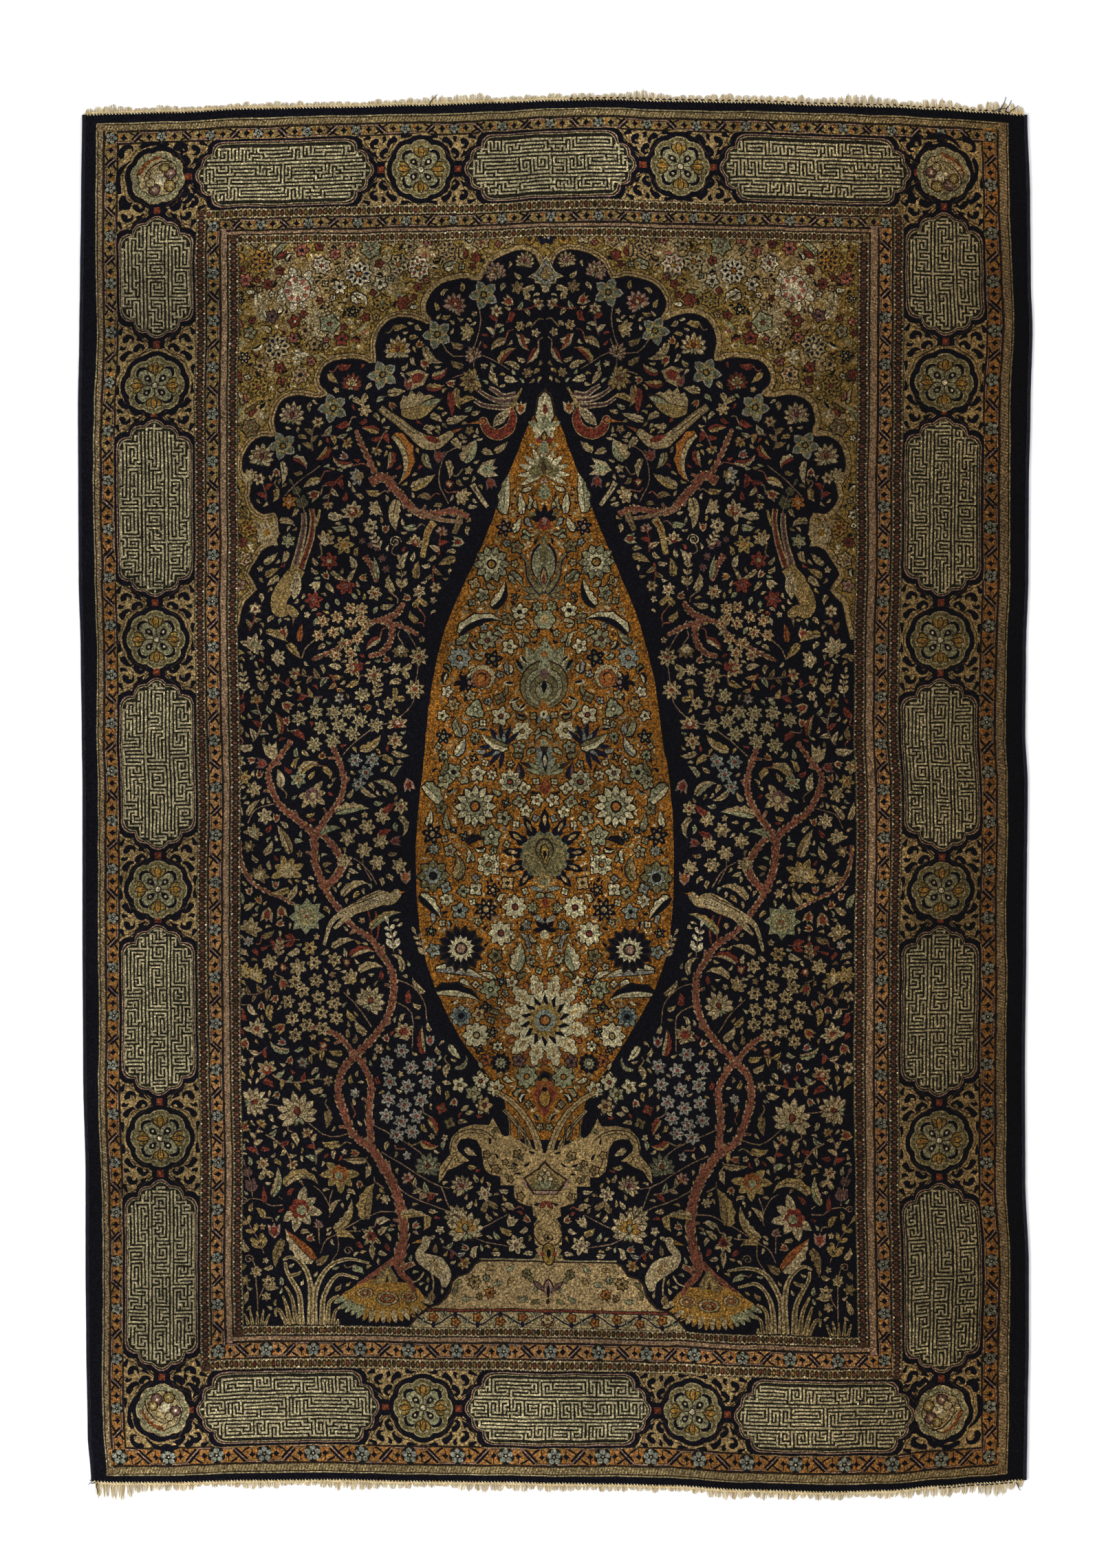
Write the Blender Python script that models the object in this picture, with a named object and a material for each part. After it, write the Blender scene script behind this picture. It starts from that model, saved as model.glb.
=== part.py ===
"""A hand-knotted rug lying flat: the pile cloth, a bound selvedge down each side and a fringe at each end.

Metres, +Z up. The origin is on the floor under the middle of the rug; +Y runs up the pattern.
"""

import random

import bmesh
import bpy

# Driving dimensions
HALF_WIDTH = 0.683
HALF_LENGTH = 1.004
PILE_THICKNESS = 0.006
PILE_ROUNDING = 0.0018
FIT_GAP = 0.0003

SELVEDGE_WIDTH = 0.005
SELVEDGE_HEIGHT = 0.0056

WEB_DEPTH = 0.004
WEB_THICKNESS = 0.002
LOCKS_PER_END = 120
LOCK_GAP = 0.0014
LOCK_TIP_SHARE = 0.45
LOCK_TIP_THICKNESS = 0.0011
LOCK_SHORTEST = 0.003
LOCK_RAGGEDNESS = 0.0022
LOCK_LEAN = 0.25
LOCK_LEAN_MOST = 0.0015

# Quads of the pile cloth across its width and along its length
CLOTH_COLUMNS = 18
CLOTH_ROWS = 22

# How far the side edges stray outwards from the straight line, in millimetres.
# Columns: height up the rug (mm), left edge, right edge.
SIDE_EDGES = (
    (-1004, -13.0, -2.0),
    (-930, -8.0, -1.0),
    (-800, -6.0, 1.0),
    (-690, -5.0, 1.0),
    (-560, -5.0, -4.0),
    (-400, -1.5, -4.5),
    (-200, -0.5, -2.5),
    (20, -0.5, -0.5),
    (95, 0.5, -4.0),
    (210, 2.0, -3.0),
    (330, 5.0, 0.5),
    (450, 5.5, 1.0),
    (570, 6.0, 3.5),
    (690, 4.0, 6.5),
    (760, 3.0, 4.0),
    (880, 1.5, 3.0),
    (1004, 0.0, -1.0),
)

# How far the end edges stray outwards from the straight line, in millimetres.
# Columns: place across the rug (mm), top edge, bottom edge.
END_EDGES = (
    (-683, -13.5, -8.0),
    (-640, -12.0, -6.0),
    (-560, -10.0, -6.0),
    (-440, -4.5, -9.0),
    (-320, -2.5, -10.0),
    (-200, 0.5, -7.5),
    (-80, 4.5, -6.5),
    (0, 7.5, -4.5),
    (80, 9.0, -3.5),
    (160, 6.5, -1.5),
    (280, 4.5, 5.0),
    (400, 0.5, 8.0),
    (480, -1.5, 6.0),
    (560, -5.5, -0.5),
    (620, -9.5, -5.0),
    (683, -13.5, -9.5),
)

# How far the locks of the fringe reach past the woven web, in millimetres.
# Columns: place across the rug (mm), top fringe, bottom fringe.
FRINGE_REACH = (
    (-683, 6.0, 20.0),
    (-645, 9.0, 23.0),
    (-605, 5.0, 10.0),
    (-560, 7.0, 9.0),
    (-520, 3.5, 5.0),
    (-445, 6.0, 9.0),
    (-365, 5.0, 5.0),
    (-320, 3.5, 12.0),
    (-240, 6.0, 7.0),
    (-160, 10.0, 5.0),
    (-120, 12.0, 12.0),
    (-80, 4.0, 9.0),
    (0, 6.0, 8.0),
    (80, 5.0, 7.0),
    (118, 11.0, 6.0),
    (200, 4.0, 6.0),
    (240, 8.0, 12.0),
    (320, 9.0, 9.0),
    (400, 8.0, 9.0),
    (440, 14.0, 7.0),
    (520, 5.5, 9.0),
    (560, 12.0, 13.0),
    (600, 5.0, 10.0),
    (640, 14.0, 19.0),
    (683, 10.0, 8.0),
)

# Colours as seen in the photograph, linear
NAVY = (0.006, 0.007, 0.016, 1.0)
GOLD_PILE = (0.14, 0.085, 0.03, 1.0)
UNDYED = (0.42, 0.36, 0.24, 1.0)


def clear_scene():
    for obj in list(bpy.data.objects):
        bpy.data.objects.remove(obj)


def fabric(name, colour, roughness):
    material = bpy.data.materials.new(name)
    material.use_nodes = True
    shader = material.node_tree.nodes["Principled BSDF"]
    shader.inputs["Base Color"].default_value = colour
    shader.inputs["Roughness"].default_value = roughness
    shader.inputs["Metallic"].default_value = 0.0
    return material


def read_table(table, column, at_mm):
    """The table's value at that place, eased from each row to the next."""
    if at_mm <= table[0][0]:
        return table[0][column]
    for low, high in zip(table, table[1:]):
        if at_mm <= high[0]:
            share = (at_mm - low[0]) / (high[0] - low[0])
            eased = share * share * (3 - 2 * share)
            return low[column] + (high[column] - low[column]) * eased
    return table[-1][column]


def side_x(side, y):
    """X of the cloth's edge on side -1 (left) or +1 (right)."""
    column = 1 if side < 0 else 2
    return side * (HALF_WIDTH + read_table(SIDE_EDGES, column, y * 1000) / 1000)


def end_y(end, x):
    """Y of the cloth's edge at end +1 (top) or -1 (bottom)."""
    column = 1 if end > 0 else 2
    return end * (HALF_LENGTH + read_table(END_EDGES, column, x * 1000) / 1000)


def on_cloth(across, along):
    """The point of the uneven cloth for a point of a square from -1 to 1."""
    straight_y = along * HALF_LENGTH
    right_share = (across + 1) / 2
    x = side_x(-1, straight_y) * (1 - right_share) + side_x(1, straight_y) * right_share
    top_share = (along + 1) / 2
    y = end_y(-1, x) * (1 - top_share) + end_y(1, x) * top_share
    return x, y


def on_end(across, end):
    """The point of the cloth's end edge, on the straight stretches between the cloth's columns."""
    place = (across + 1) / 2 * CLOTH_COLUMNS
    column = min(int(place), CLOTH_COLUMNS - 1)
    share = place - column
    low = on_cloth(-1 + 2 * column / CLOTH_COLUMNS, end)
    high = on_cloth(-1 + 2 * (column + 1) / CLOTH_COLUMNS, end)
    return low[0] + (high[0] - low[0]) * share, low[1] + (high[1] - low[1]) * share


def add_object(name, mesh_builder, material, collection):
    mesh = bpy.data.meshes.new(name)
    mesh_builder.normal_update()
    mesh_builder.to_mesh(mesh)
    mesh_builder.free()
    mesh.materials.append(material)
    obj = bpy.data.objects.new(name, mesh)
    collection.objects.link(obj)
    return obj


def pile_cloth(material, collection):
    """The knotted cloth: a flat sheet with the uneven outline and a rounded upper rim."""
    cloth = bmesh.new()
    bmesh.ops.create_grid(cloth, x_segments=CLOTH_COLUMNS, y_segments=CLOTH_ROWS, size=1.0)
    for vertex in cloth.verts:
        vertex.co.x, vertex.co.y = on_cloth(vertex.co.x, vertex.co.y)
    bmesh.ops.reverse_faces(cloth, faces=cloth.faces[:])
    raised = bmesh.ops.extrude_face_region(cloth, geom=cloth.faces[:])["geom"]
    top = [item for item in raised if isinstance(item, bmesh.types.BMVert)]
    bmesh.ops.translate(cloth, verts=top, vec=(0, 0, PILE_THICKNESS))
    bmesh.ops.recalc_face_normals(cloth, faces=cloth.faces[:])
    rim = [
        edge
        for edge in cloth.edges
        if all(vertex.co.z > PILE_THICKNESS / 2 for vertex in edge.verts)
        and any(abs(face.normal.z) < 0.5 for face in edge.link_faces)
    ]
    bmesh.ops.bevel(
        cloth,
        geom=rim,
        offset=PILE_ROUNDING,
        offset_type="OFFSET",
        segments=2,
        profile=0.5,
        affect="EDGES",
    )
    return add_object("pile_cloth", cloth, material, collection)


def selvedge(side, material, collection):
    """The side cord bound in yarn: a low half-round running the length of the cloth."""
    # Profile from the cloth outwards: share of the width, share of the height
    profile = ((0, 0), (0, 0.72), (0.3, 1.0), (0.72, 0.85), (1.0, 0.4), (0.85, 0))
    cord = bmesh.new()
    rings = []
    for row in range(CLOTH_ROWS + 1):
        x, y = on_cloth(side, -1 + 2 * row / CLOTH_ROWS)
        inner = x + side * FIT_GAP
        rings.append(
            [
                cord.verts.new((inner + side * u * SELVEDGE_WIDTH, y, v * SELVEDGE_HEIGHT))
                for u, v in profile
            ]
        )
    for low, high in zip(rings, rings[1:]):
        for corner in range(len(profile)):
            following = (corner + 1) % len(profile)
            cord.faces.new((low[corner], low[following], high[following], high[corner]))
    cord.faces.new(rings[0])
    cord.faces.new(rings[-1])
    bmesh.ops.recalc_face_normals(cord, faces=cord.faces[:])
    return add_object(f"selvedge_{'left' if side < 0 else 'right'}", cord, material, collection)


def lock_slots():
    """(left, right) of each slot along an end, locks and the gaps between them, in turn."""
    pitch = 2 / LOCKS_PER_END
    half_gap = LOCK_GAP / (2 * HALF_WIDTH)
    cuts = [-1.0]
    for lock in range(LOCKS_PER_END):
        cuts.append(-1 + lock * pitch + half_gap)
        cuts.append(-1 + (lock + 1) * pitch - half_gap)
    cuts.append(1.0)
    return cuts


def woven_web(end, cuts):
    """The strip past the cloth's end edge, with one cell for each slot between the cuts."""
    web = bmesh.new()
    cells = len(cuts) - 1
    bmesh.ops.create_grid(web, x_segments=cells, y_segments=1, size=1.0)
    for vertex in web.verts:
        cut = cuts[round((vertex.co.x + 1) / 2 * cells)]
        depth = WEB_DEPTH if vertex.co.y > 0 else 0.0
        x, y = on_end(cut, end)
        vertex.co = (x, y + end * (FIT_GAP + depth), 0.0)
    raised = bmesh.ops.extrude_face_region(web, geom=web.faces[:])["geom"]
    top = [item for item in raised if isinstance(item, bmesh.types.BMVert)]
    bmesh.ops.translate(web, verts=top, vec=(0, 0, WEB_THICKNESS))
    bmesh.ops.recalc_face_normals(web, faces=web.faces[:])
    return web


def fringe(end, material, collection):
    """The flat woven web at one end, with its locks drawn out of the web's outer face."""
    chance = random.Random(11 if end > 0 else 23)
    web = woven_web(end, lock_slots())
    outer = [face for face in web.faces if face.normal.y * end > 0.5]
    outer.sort(key=lambda face: face.calc_center_median().x)
    roots = outer[1::2]
    column = 1 if end > 0 else 2
    for root in roots:
        middle = root.calc_center_median()
        reach = read_table(FRINGE_REACH, column, middle.x * 1000) / 1000
        reach = max(LOCK_SHORTEST, reach + chance.uniform(-1, 1) * LOCK_RAGGEDNESS)
        lean = chance.uniform(-1, 1) * min(LOCK_LEAN * reach, LOCK_LEAN_MOST)
        tip = bmesh.ops.extrude_discrete_faces(web, faces=[root])["faces"][0]
        for vertex in tip.verts:
            vertex.co.x = middle.x + lean + (vertex.co.x - middle.x) * LOCK_TIP_SHARE
            vertex.co.y += end * reach
            vertex.co.z = LOCK_TIP_THICKNESS if vertex.co.z > 0 else 0.0
    bmesh.ops.recalc_face_normals(web, faces=web.faces[:])
    return add_object(f"fringe_{'top' if end > 0 else 'bottom'}", web, material, collection)


def main():
    clear_scene()
    collection = bpy.data.collections.new("persian_rug")
    bpy.context.scene.collection.children.link(collection)
    pile = fabric("pile", GOLD_PILE, 0.75)
    binding = fabric("selvedge_yarn", NAVY, 0.8)
    undyed = fabric("fringe_yarn", UNDYED, 0.9)
    pile_cloth(pile, collection)
    for side in (-1, 1):
        selvedge(side, binding, collection)
    for end in (1, -1):
        fringe(end, undyed, collection)


main()
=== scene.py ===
"""The looks of a hand-knotted rug: its drawing, pile, back, bound sides and fringes, on a pale floor.

The drawing is made in millimetres on a straight rectangle, as points of the complex plane: shapes are
laid over each other, cut into triangles once, and moved onto the uneven cloth. Blender gets metres.
"""

import cmath
import math
import random

import bpy
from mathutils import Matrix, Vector, noise
from mathutils.geometry import delaunay_2d_cdt


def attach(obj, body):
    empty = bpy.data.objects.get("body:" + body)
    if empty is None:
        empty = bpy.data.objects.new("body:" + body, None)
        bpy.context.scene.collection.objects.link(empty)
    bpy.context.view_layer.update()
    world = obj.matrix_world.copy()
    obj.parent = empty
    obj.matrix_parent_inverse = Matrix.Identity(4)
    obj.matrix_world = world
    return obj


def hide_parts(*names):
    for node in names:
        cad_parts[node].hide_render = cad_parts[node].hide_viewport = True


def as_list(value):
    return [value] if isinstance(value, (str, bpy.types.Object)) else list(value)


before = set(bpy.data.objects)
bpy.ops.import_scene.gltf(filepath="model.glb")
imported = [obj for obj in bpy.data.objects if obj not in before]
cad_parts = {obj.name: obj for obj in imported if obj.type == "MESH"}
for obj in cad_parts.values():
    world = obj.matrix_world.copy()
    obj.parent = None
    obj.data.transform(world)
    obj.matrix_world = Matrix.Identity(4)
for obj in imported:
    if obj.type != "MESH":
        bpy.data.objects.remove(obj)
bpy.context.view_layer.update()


# ---------------------------------------------------------------- the dyes, in sRGB
DYES = {
    "night": (12, 12, 22),
    "navy": (20, 22, 42),
    "ink": (28, 24, 20),
    "umber": (48, 36, 26),
    "bark": (38, 35, 25),
    "brown": (78, 54, 36),
    "rust": (128, 58, 40),
    "copper": (146, 84, 40),
    "amber": (166, 104, 44),
    "ochre": (156, 126, 58),
    "mustard": (160, 112, 58),
    "apricot": (180, 132, 80),
    "gold": (170, 126, 56),
    "olive": (128, 102, 46),
    "khaki": (124, 112, 72),
    "moss": (86, 84, 56),
    "bronze": (128, 106, 68),
    "fawn": (138, 110, 80),
    "tan": (158, 130, 78),
    "sand": (180, 150, 98),
    "ivory": (186, 164, 116),
    "cream": (224, 208, 168),
    "parchment": (166, 150, 108),
    "stone": (156, 149, 110),
    "sage": (152, 149, 110),
    "blue": (134, 137, 120),
    "slate": (76, 90, 90),
    "rose": (158, 124, 102),
    "mauve": (108, 78, 70),
    "marigold": (168, 108, 36),
    "lichen": (106, 106, 80),
    "fawn sand": (188, 158, 108),
    "copper rose": (160, 96, 76),
    "honey": (160, 128, 62),
    "flax": (178, 154, 108),
    "straw": (192, 170, 126),
    "oat": (168, 140, 84),
    "silver": (152, 146, 128),
    "chalk": (196, 181, 138),
    "clay": (132, 78, 56),
    "steel": (140, 141, 124),
    "pearl": (200, 186, 142),
}


# ---------------------------------------------------------------- drawing with points as complex numbers
class Pen:
    """Draws flat shapes in its own turned and mirrored places on the cloth."""

    def __init__(self, shapes, maps=((0j, 1 + 0j, False),)):
        self.shapes = shapes
        self.maps = maps

    def at(self, place, heading=0.0):
        """A pen whose origin is at place, with its x axis turned to that heading in degrees."""
        turn = cmath.rect(1, math.radians(heading))
        maps = []
        for origin, factor, flipped in self.maps:
            if flipped:
                maps.append((origin + factor * place.conjugate(), factor * turn.conjugate(), True))
            else:
                maps.append((origin + factor * place, factor * turn, False))
        return Pen(self.shapes, maps)

    def ahead(self, distance, heading=0.0):
        """A pen further along this one's x axis."""
        return self.at(complex(distance, 0), heading)

    def twice(self):
        """A pen that draws everything again, mirrored in its own x axis."""
        mirrored = [(origin, factor, not flipped) for origin, factor, flipped in self.maps]
        return Pen(self.shapes, list(self.maps) + mirrored)

    def fill(self, ring, colour):
        for origin, factor, flipped in self.maps:
            if flipped:
                points = [origin + factor * point.conjugate() for point in ring]
            else:
                points = [origin + factor * point for point in ring]
            self.shapes.append((points, colour))

    def line(self, points, width, colour, steps=4):
        """A stem or stroke along a smooth curve through the points; width may be (start, end)."""
        start, end = width if isinstance(width, tuple) else (width, width)
        curve = smooth(points, steps) if steps > 1 else list(points)
        self.fill(ribbon(curve, lambda share: start + (end - start) * share), colour)


def smooth(points, steps=4, closed=False):
    """A curve through the points."""
    count = len(points)
    curve = []
    for i in range(count if closed else count - 1):
        p1, p2 = points[i], points[(i + 1) % count]
        p0 = points[i - 1] if closed or i > 0 else 2 * p1 - p2
        p3 = points[(i + 2) % count] if closed or i + 2 < count else 2 * p2 - p1
        for step in range(steps):
            t = step / steps
            curve.append(
                0.5
                * (
                    2 * p1
                    + (p2 - p0) * t
                    + (2 * p0 - 5 * p1 + 4 * p2 - p3) * t**2
                    + (3 * p1 - p0 - 3 * p2 + p3) * t**3
                )
            )
    if not closed:
        curve.append(points[-1])
    return curve


def ribbon(line, width):
    """The ring round a line; width is a function of the share along it."""
    left, right = [], []
    last = len(line) - 1
    for i, point in enumerate(line):
        ahead = line[min(i + 1, last)] - line[max(i - 1, 0)]
        side = 1j * ahead / (abs(ahead) or 1.0)
        half = width(i / last) / 2
        left.append(point + side * half)
        right.append(point - side * half)
    return left + right[::-1]


def bow(length, bend, steps=6):
    """A line from the origin along +x that turns by bend degrees over its length."""
    line = [0j]
    for step in range(steps):
        heading = math.radians(bend) * (step + 0.5) / steps
        line.append(line[-1] + cmath.rect(length / steps, heading))
    return line


def disc(radius, sides=10, squash=1.0):
    ring = []
    for k in range(sides):
        angle = 2 * math.pi * k / sides
        ring.append(complex(radius * math.cos(angle), radius * squash * math.sin(angle)))
    return ring


def scallop(radius, lobes, depth=0.18, steps=4, turn=0.0):
    """A ring of round lobes with cusps between them."""
    ring = []
    for k in range(lobes * steps):
        share = k / steps
        swell = math.sin(math.pi * (share % 1.0)) ** 0.7
        ring.append(cmath.rect(radius * (1 - depth + depth * swell), 2 * math.pi * share / lobes + turn))
    return ring


def star(radius, points, depth=0.35, turn=0.0):
    """A ring of sharp points."""
    ring = []
    for k in range(points * 2):
        reach = radius if k % 2 == 0 else radius * (1 - depth)
        ring.append(cmath.rect(reach, math.pi * k / points + turn))
    return ring


def pointed(radius, petals, valley=0.5):
    """A ring of pointed petals with square shoulders, as the knots draw them."""
    ring = []
    for k in range(petals):
        for share, reach in ((-0.5, valley), (-0.25, 0.86), (0.0, 1.06), (0.25, 0.86)):
            ring.append(cmath.rect(radius * reach, 2 * math.pi * (k + share) / petals))
    return ring


def drop(length, width, sides=8):
    """A teardrop with its point at the origin and its round end at +x."""
    ring = [0j]
    for k in range(1, sides):
        t = k / sides
        angle = math.pi * (2 * t - 1)
        ring.append(complex(length * (0.62 + 0.38 * math.cos(angle)), width / 2 * math.sin(angle)))
    return ring


def arcs(cusps, bulge, steps=4):
    """Round arcs from cusp to cusp, each swelling to its right by that share of its chord."""
    ring = []
    for a, b in zip(cusps, cusps[1:]):
        for step in range(steps):
            t = step / steps
            ring.append(a + (b - a) * t - 1j * (b - a) * bulge * 4 * t * (1 - t))
    ring.append(cusps[-1])
    return ring


def mirrored(lower, from_axis=False):
    """A ring from its half on one side of the x axis, which ends on the axis and may start on it too."""
    upper = lower[-2:0:-1] if from_axis else lower[-2::-1]
    return lower + [point.conjugate() for point in upper]


def needle(start, end, half):
    """A thin triangle along the x axis, pointed at its end."""
    return [complex(start, -half), complex(end, 0), complex(start, half)]


# ---------------------------------------------------------------- small motifs
def leaf(pen, length, width, bend=40, colour="ivory", vein="ink", teeth=0, edge=None):
    """A curled leaf from the pen's origin along its x axis."""
    steps = max(5, teeth * 2)
    line = bow(length, bend, steps)

    def profile(share, grow=0.0):
        body = math.sin(math.pi * min(1.0, 0.06 + share * 0.94) ** 0.75)
        return max(0.0, body) * width + grow

    if edge:
        pen.fill(ribbon(line, lambda share: profile(share, 2.2)), edge)
    ring = ribbon(line, profile)
    if teeth:
        count = len(line)
        for i in range(1, count - 1, 2):
            ring[i] = ring[i] + (ring[i] - line[i]) * 0.35
            ring[i + 1] = ring[i + 1] - (ring[i + 1] - line[i + 1]) * 0.25
    pen.fill(ring, colour)
    if vein:
        inner = line[: -1]
        pen.fill(ribbon(inner, lambda share: width * (0.16 - 0.1 * share) + 0.4), vein)


def curl(pen, radius, turns, width, colour):
    """A little spiral tendril."""
    steps = int(turns * 9)
    line = []
    for k in range(steps + 1):
        share = k / steps
        line.append(cmath.rect(radius * (1 - 0.78 * share), 2 * math.pi * turns * share) - radius)
    pen.fill(ribbon(line, lambda s: width), colour)


def sprig(pen, length, pairs, colour, bend, leaf_size, stem):
    """A fern-like spray of paired small leaves."""
    line = bow(length, bend, 8)
    pen.fill(ribbon(line, lambda s: 1.4 - 0.6 * s), stem)
    for k in range(pairs):
        i = 1 + int(k * 7 / pairs)
        heading = math.degrees(cmath.phase(line[i + 1] - line[i]))
        for side in (1, -1):
            base = pen.at(line[i], heading + side * 42)
            base.fill(drop(leaf_size * (1.05 - 0.1 * k), leaf_size * 0.42, 6), colour)
    tip = math.degrees(cmath.phase(line[-1] - line[-2]))
    root = line[-1] - cmath.rect(1, math.radians(tip))
    pen.at(root, tip).fill(drop(leaf_size, leaf_size * 0.42, 6), colour)


# ---------------------------------------------------------------- the bands
HALF_WIDTH = 683.0
HALF_LENGTH = 1004.0

# Where each band starts, in millimetres in from the cloth's edge.
# Columns: band, left, right, bottom, top.
BANDS = (
    ("edge", 0, 0, 0, 0),
    ("outer stripe", 20, 25, 13, 15),
    ("outer guard", 29, 39, 26, 26),
    ("main border", 49, 62, 53, 44),
    ("outer beading", 162, 179, 163, 145),
    ("inner guard", 178, 195, 179, 160),
    ("inner stripe", 199, 216, 203, 178),
    ("inner beading", 210, 229, 212, 185),
    ("field", 226, 246, 226, 199),
)

# The main border's panels. Columns: side, middle along that side, half the panel's length.
PANELS = (
    ("top", -394, 131), ("top", -7, 126), ("top", 377, 140),
    ("bottom", -394, 135), ("bottom", 1, 137), ("bottom", 391, 133),
    ("left", 763, 90), ("left", 424, 130), ("left", 49, 126), ("left", -312, 125), ("left", -700, 139),
    ("right", 763, 90), ("right", 424, 130), ("right", 49, 126), ("right", -312, 125), ("right", -700, 139),
)
# The rosettes between them. Columns: side, middle along that side.
ROSETTES = (
    ("top", -196), ("top", 181), ("bottom", -196), ("bottom", 198),
    ("left", 605), ("left", 231), ("left", -135), ("left", -500),
    ("right", 605), ("right", 231), ("right", -135), ("right", -500),
)


def band_box(name):
    """(left, right, bottom, top) of the rectangle inside which a band starts."""
    _, left, right, bottom, top = next(row for row in BANDS if row[0] == name)
    return -HALF_WIDTH + left, HALF_WIDTH - right, -HALF_LENGTH + bottom, HALF_LENGTH - top


def box_ring(box):
    left, right, bottom, top = box
    return [complex(left, bottom), complex(right, bottom), complex(right, top), complex(left, top)]


def frame_band(pen, box, colour):
    """Everything between a rectangle and the field, as four mitred pieces."""
    outer, inner = box_ring(box), box_ring(band_box("field"))
    for k in range(4):
        after = (k + 1) % 4
        pen.fill([outer[k], outer[after], inner[after], inner[k]], colour)


def band_sides(outer, inner):
    """The middle line of a band on each side: side, start, heading, length, half width."""
    a, b = band_box(outer), band_box(inner)
    left, right, bottom, top = [(p + q) / 2 for p, q in zip(a, b)]
    half = [abs(p - q) / 2 for p, q in zip(a, b)]
    return (
        ("bottom", complex(left, bottom), 0, right - left, half[2]),
        ("right", complex(right, bottom), 90, top - bottom, half[1]),
        ("top", complex(right, top), 180, right - left, half[3]),
        ("left", complex(left, top), 270, top - bottom, half[0]),
    )


def strip(pen, start_x, end_x, low, high, colour):
    pen.fill(box_ring((start_x, end_x, low, high)), colour)


def beading(pen, outer, inner):
    """A narrow band: a chain of dark ovals with coloured hearts between two rows of pale beads."""
    pitch = 6.8
    for side, start, heading, length, half in band_sides(outer, inner):
        upright = side in ("left", "right")
        count = round(length / pitch)
        step = length / count
        row = pen.at(start, heading)
        strip(row, -half, length + half, -half + 1, half - 1, "brown" if upright else "bronze")
        hearts = ("clay", "brown", "clay", "mauve") if upright else ("brown", "bronze", "rust", "olive")
        beads = ("sage", "cream", "sand") if upright else ("cream", "sand", "ivory")
        for k in range(count):
            bead = row.ahead(k * step)
            bead.ahead(step / 2).fill(disc(3.0, 8, 1.8 * half / 8), "ink")
            bead.ahead(step / 2).fill(disc(1.8, 7, 1.8 * half / 8), hearts[k * 7 % 4])
            for way in (1, -1):
                bead.at(complex(0, way * (half - 2.6))).fill([-2, -1.9j, 2, 1.9j], beads[(k * 5 + way) % 3])
                bead.at(complex(step / 2, way * (half - 1.4))).fill([-1.3, -1.1j, 1.3, 1.1j], beads[0])


def plain_stripe(pen, outer, inner, colours, hatch):
    """A stripe with short slanting strokes."""
    pitch = 4.4
    for side, start, heading, length, half in band_sides(outer, inner):
        count = round(length / pitch)
        step = length / count
        row = pen.at(start, heading)
        strip(row, -half, length + half, -half + 1.6, half - 1.6, colours[side in ("left", "right")])
        for k in range(count):
            x = (k + 0.5) * step
            row.fill([complex(x - 2.6, -half + 1.8), complex(x - 0.9, -half + 1.8),
                      complex(x + 2.6, half - 1.8), complex(x + 0.9, half - 1.8)], hatch)


# The upper share of the left guards whose orange has faded to tan, as along the top.
FADED_SHARE = 0.24


def guard(pen, outer, inner, pitch, ground):
    """A guard band: a pale vine that changes sides across dark wedges, pale flowers and dark buds."""
    for side, start, heading, length, half in band_sides(outer, inner):
        count = round(length / pitch)
        step = length / count
        row = pen.at(start, heading)
        reach = half - 0.6
        strip(row, -half, length + half, -reach, reach, "ink")
        strip(row, -half, length + half, 1.1 - reach, reach - 1.1, "tan" if side == "top" else ground)
        if side == "left":
            strip(row, -half, length * FADED_SHARE, 1.1 - reach, reach - 1.1, "tan")
        for k in range(count):
            guard_cell(row.ahead(k * step), step, reach - 2.2, 1 if k % 2 else -1)
    for side, start, heading, length, half in band_sides(outer, inner):
        count = round(length / pitch)
        for k in range(count):
            place = pen.at(start, heading).ahead(k * length / count)
            guard_flower(place, half - 0.9)


def guard_cell(pen, step, half, lean):
    """Between two flowers: a bud, the vine's crossing over dark wedges, and another bud."""
    for share in (0.17, 0.83):
        pen.at(complex(step * share, -lean * half * 0.35)).fill(disc(half * 0.42, 6), "amber")
    for share in (0.25, 0.75):
        side = lean if share < 0.5 else -lean
        strip(pen, step * share - 0.8, step * share + 0.8, min(0, side * half), max(0, side * half), "umber")
        pen.ahead(step * share).fill(star(5.2, 4, 0.42), "night")
        pen.ahead(step * share).fill(disc(3.1, 8), "night")
    middle = step / 2
    crossing = [
        complex(0, -lean * half),
        complex(middle - half - 3, -lean * half),
        complex(middle - half * 0.8, -lean * half * 0.8),
        complex(middle + half * 0.8, lean * half * 0.8),
        complex(middle + half + 3, lean * half),
        complex(step, lean * half),
    ]
    for way in (1, -1):
        tip = complex(middle - way * half * 1.05, way * lean * half * 0.95)
        pen.fill(
            [complex(middle + way, 0), tip + complex(-way * 5.2, way * lean * 0.6),
             tip + complex(-way * 1.2, way * lean * 1.6), tip + complex(way * 4.6, -way * lean * 1.6)],
            "night",
        )
    pen.line(crossing, 3.6, "ink", 2)
    pen.line(crossing[2:4], 8.6, "night", 1)
    pen.line(crossing, 1.7, "rose", 2)


def guard_flower(pen, radius):
    pen.fill(scallop(radius * 1.04, 5, 0.16, 4, 0.32), "ink")
    for k in range(5):
        pen.at(cmath.rect(radius * 0.58, math.radians(90 + 72 * k))).fill(disc(radius * 0.33, 7), "steel")
    pen.fill(disc(radius * 0.2, 6), "ink")
    pen.fill(disc(radius * 0.13, 5), "cream")


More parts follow.
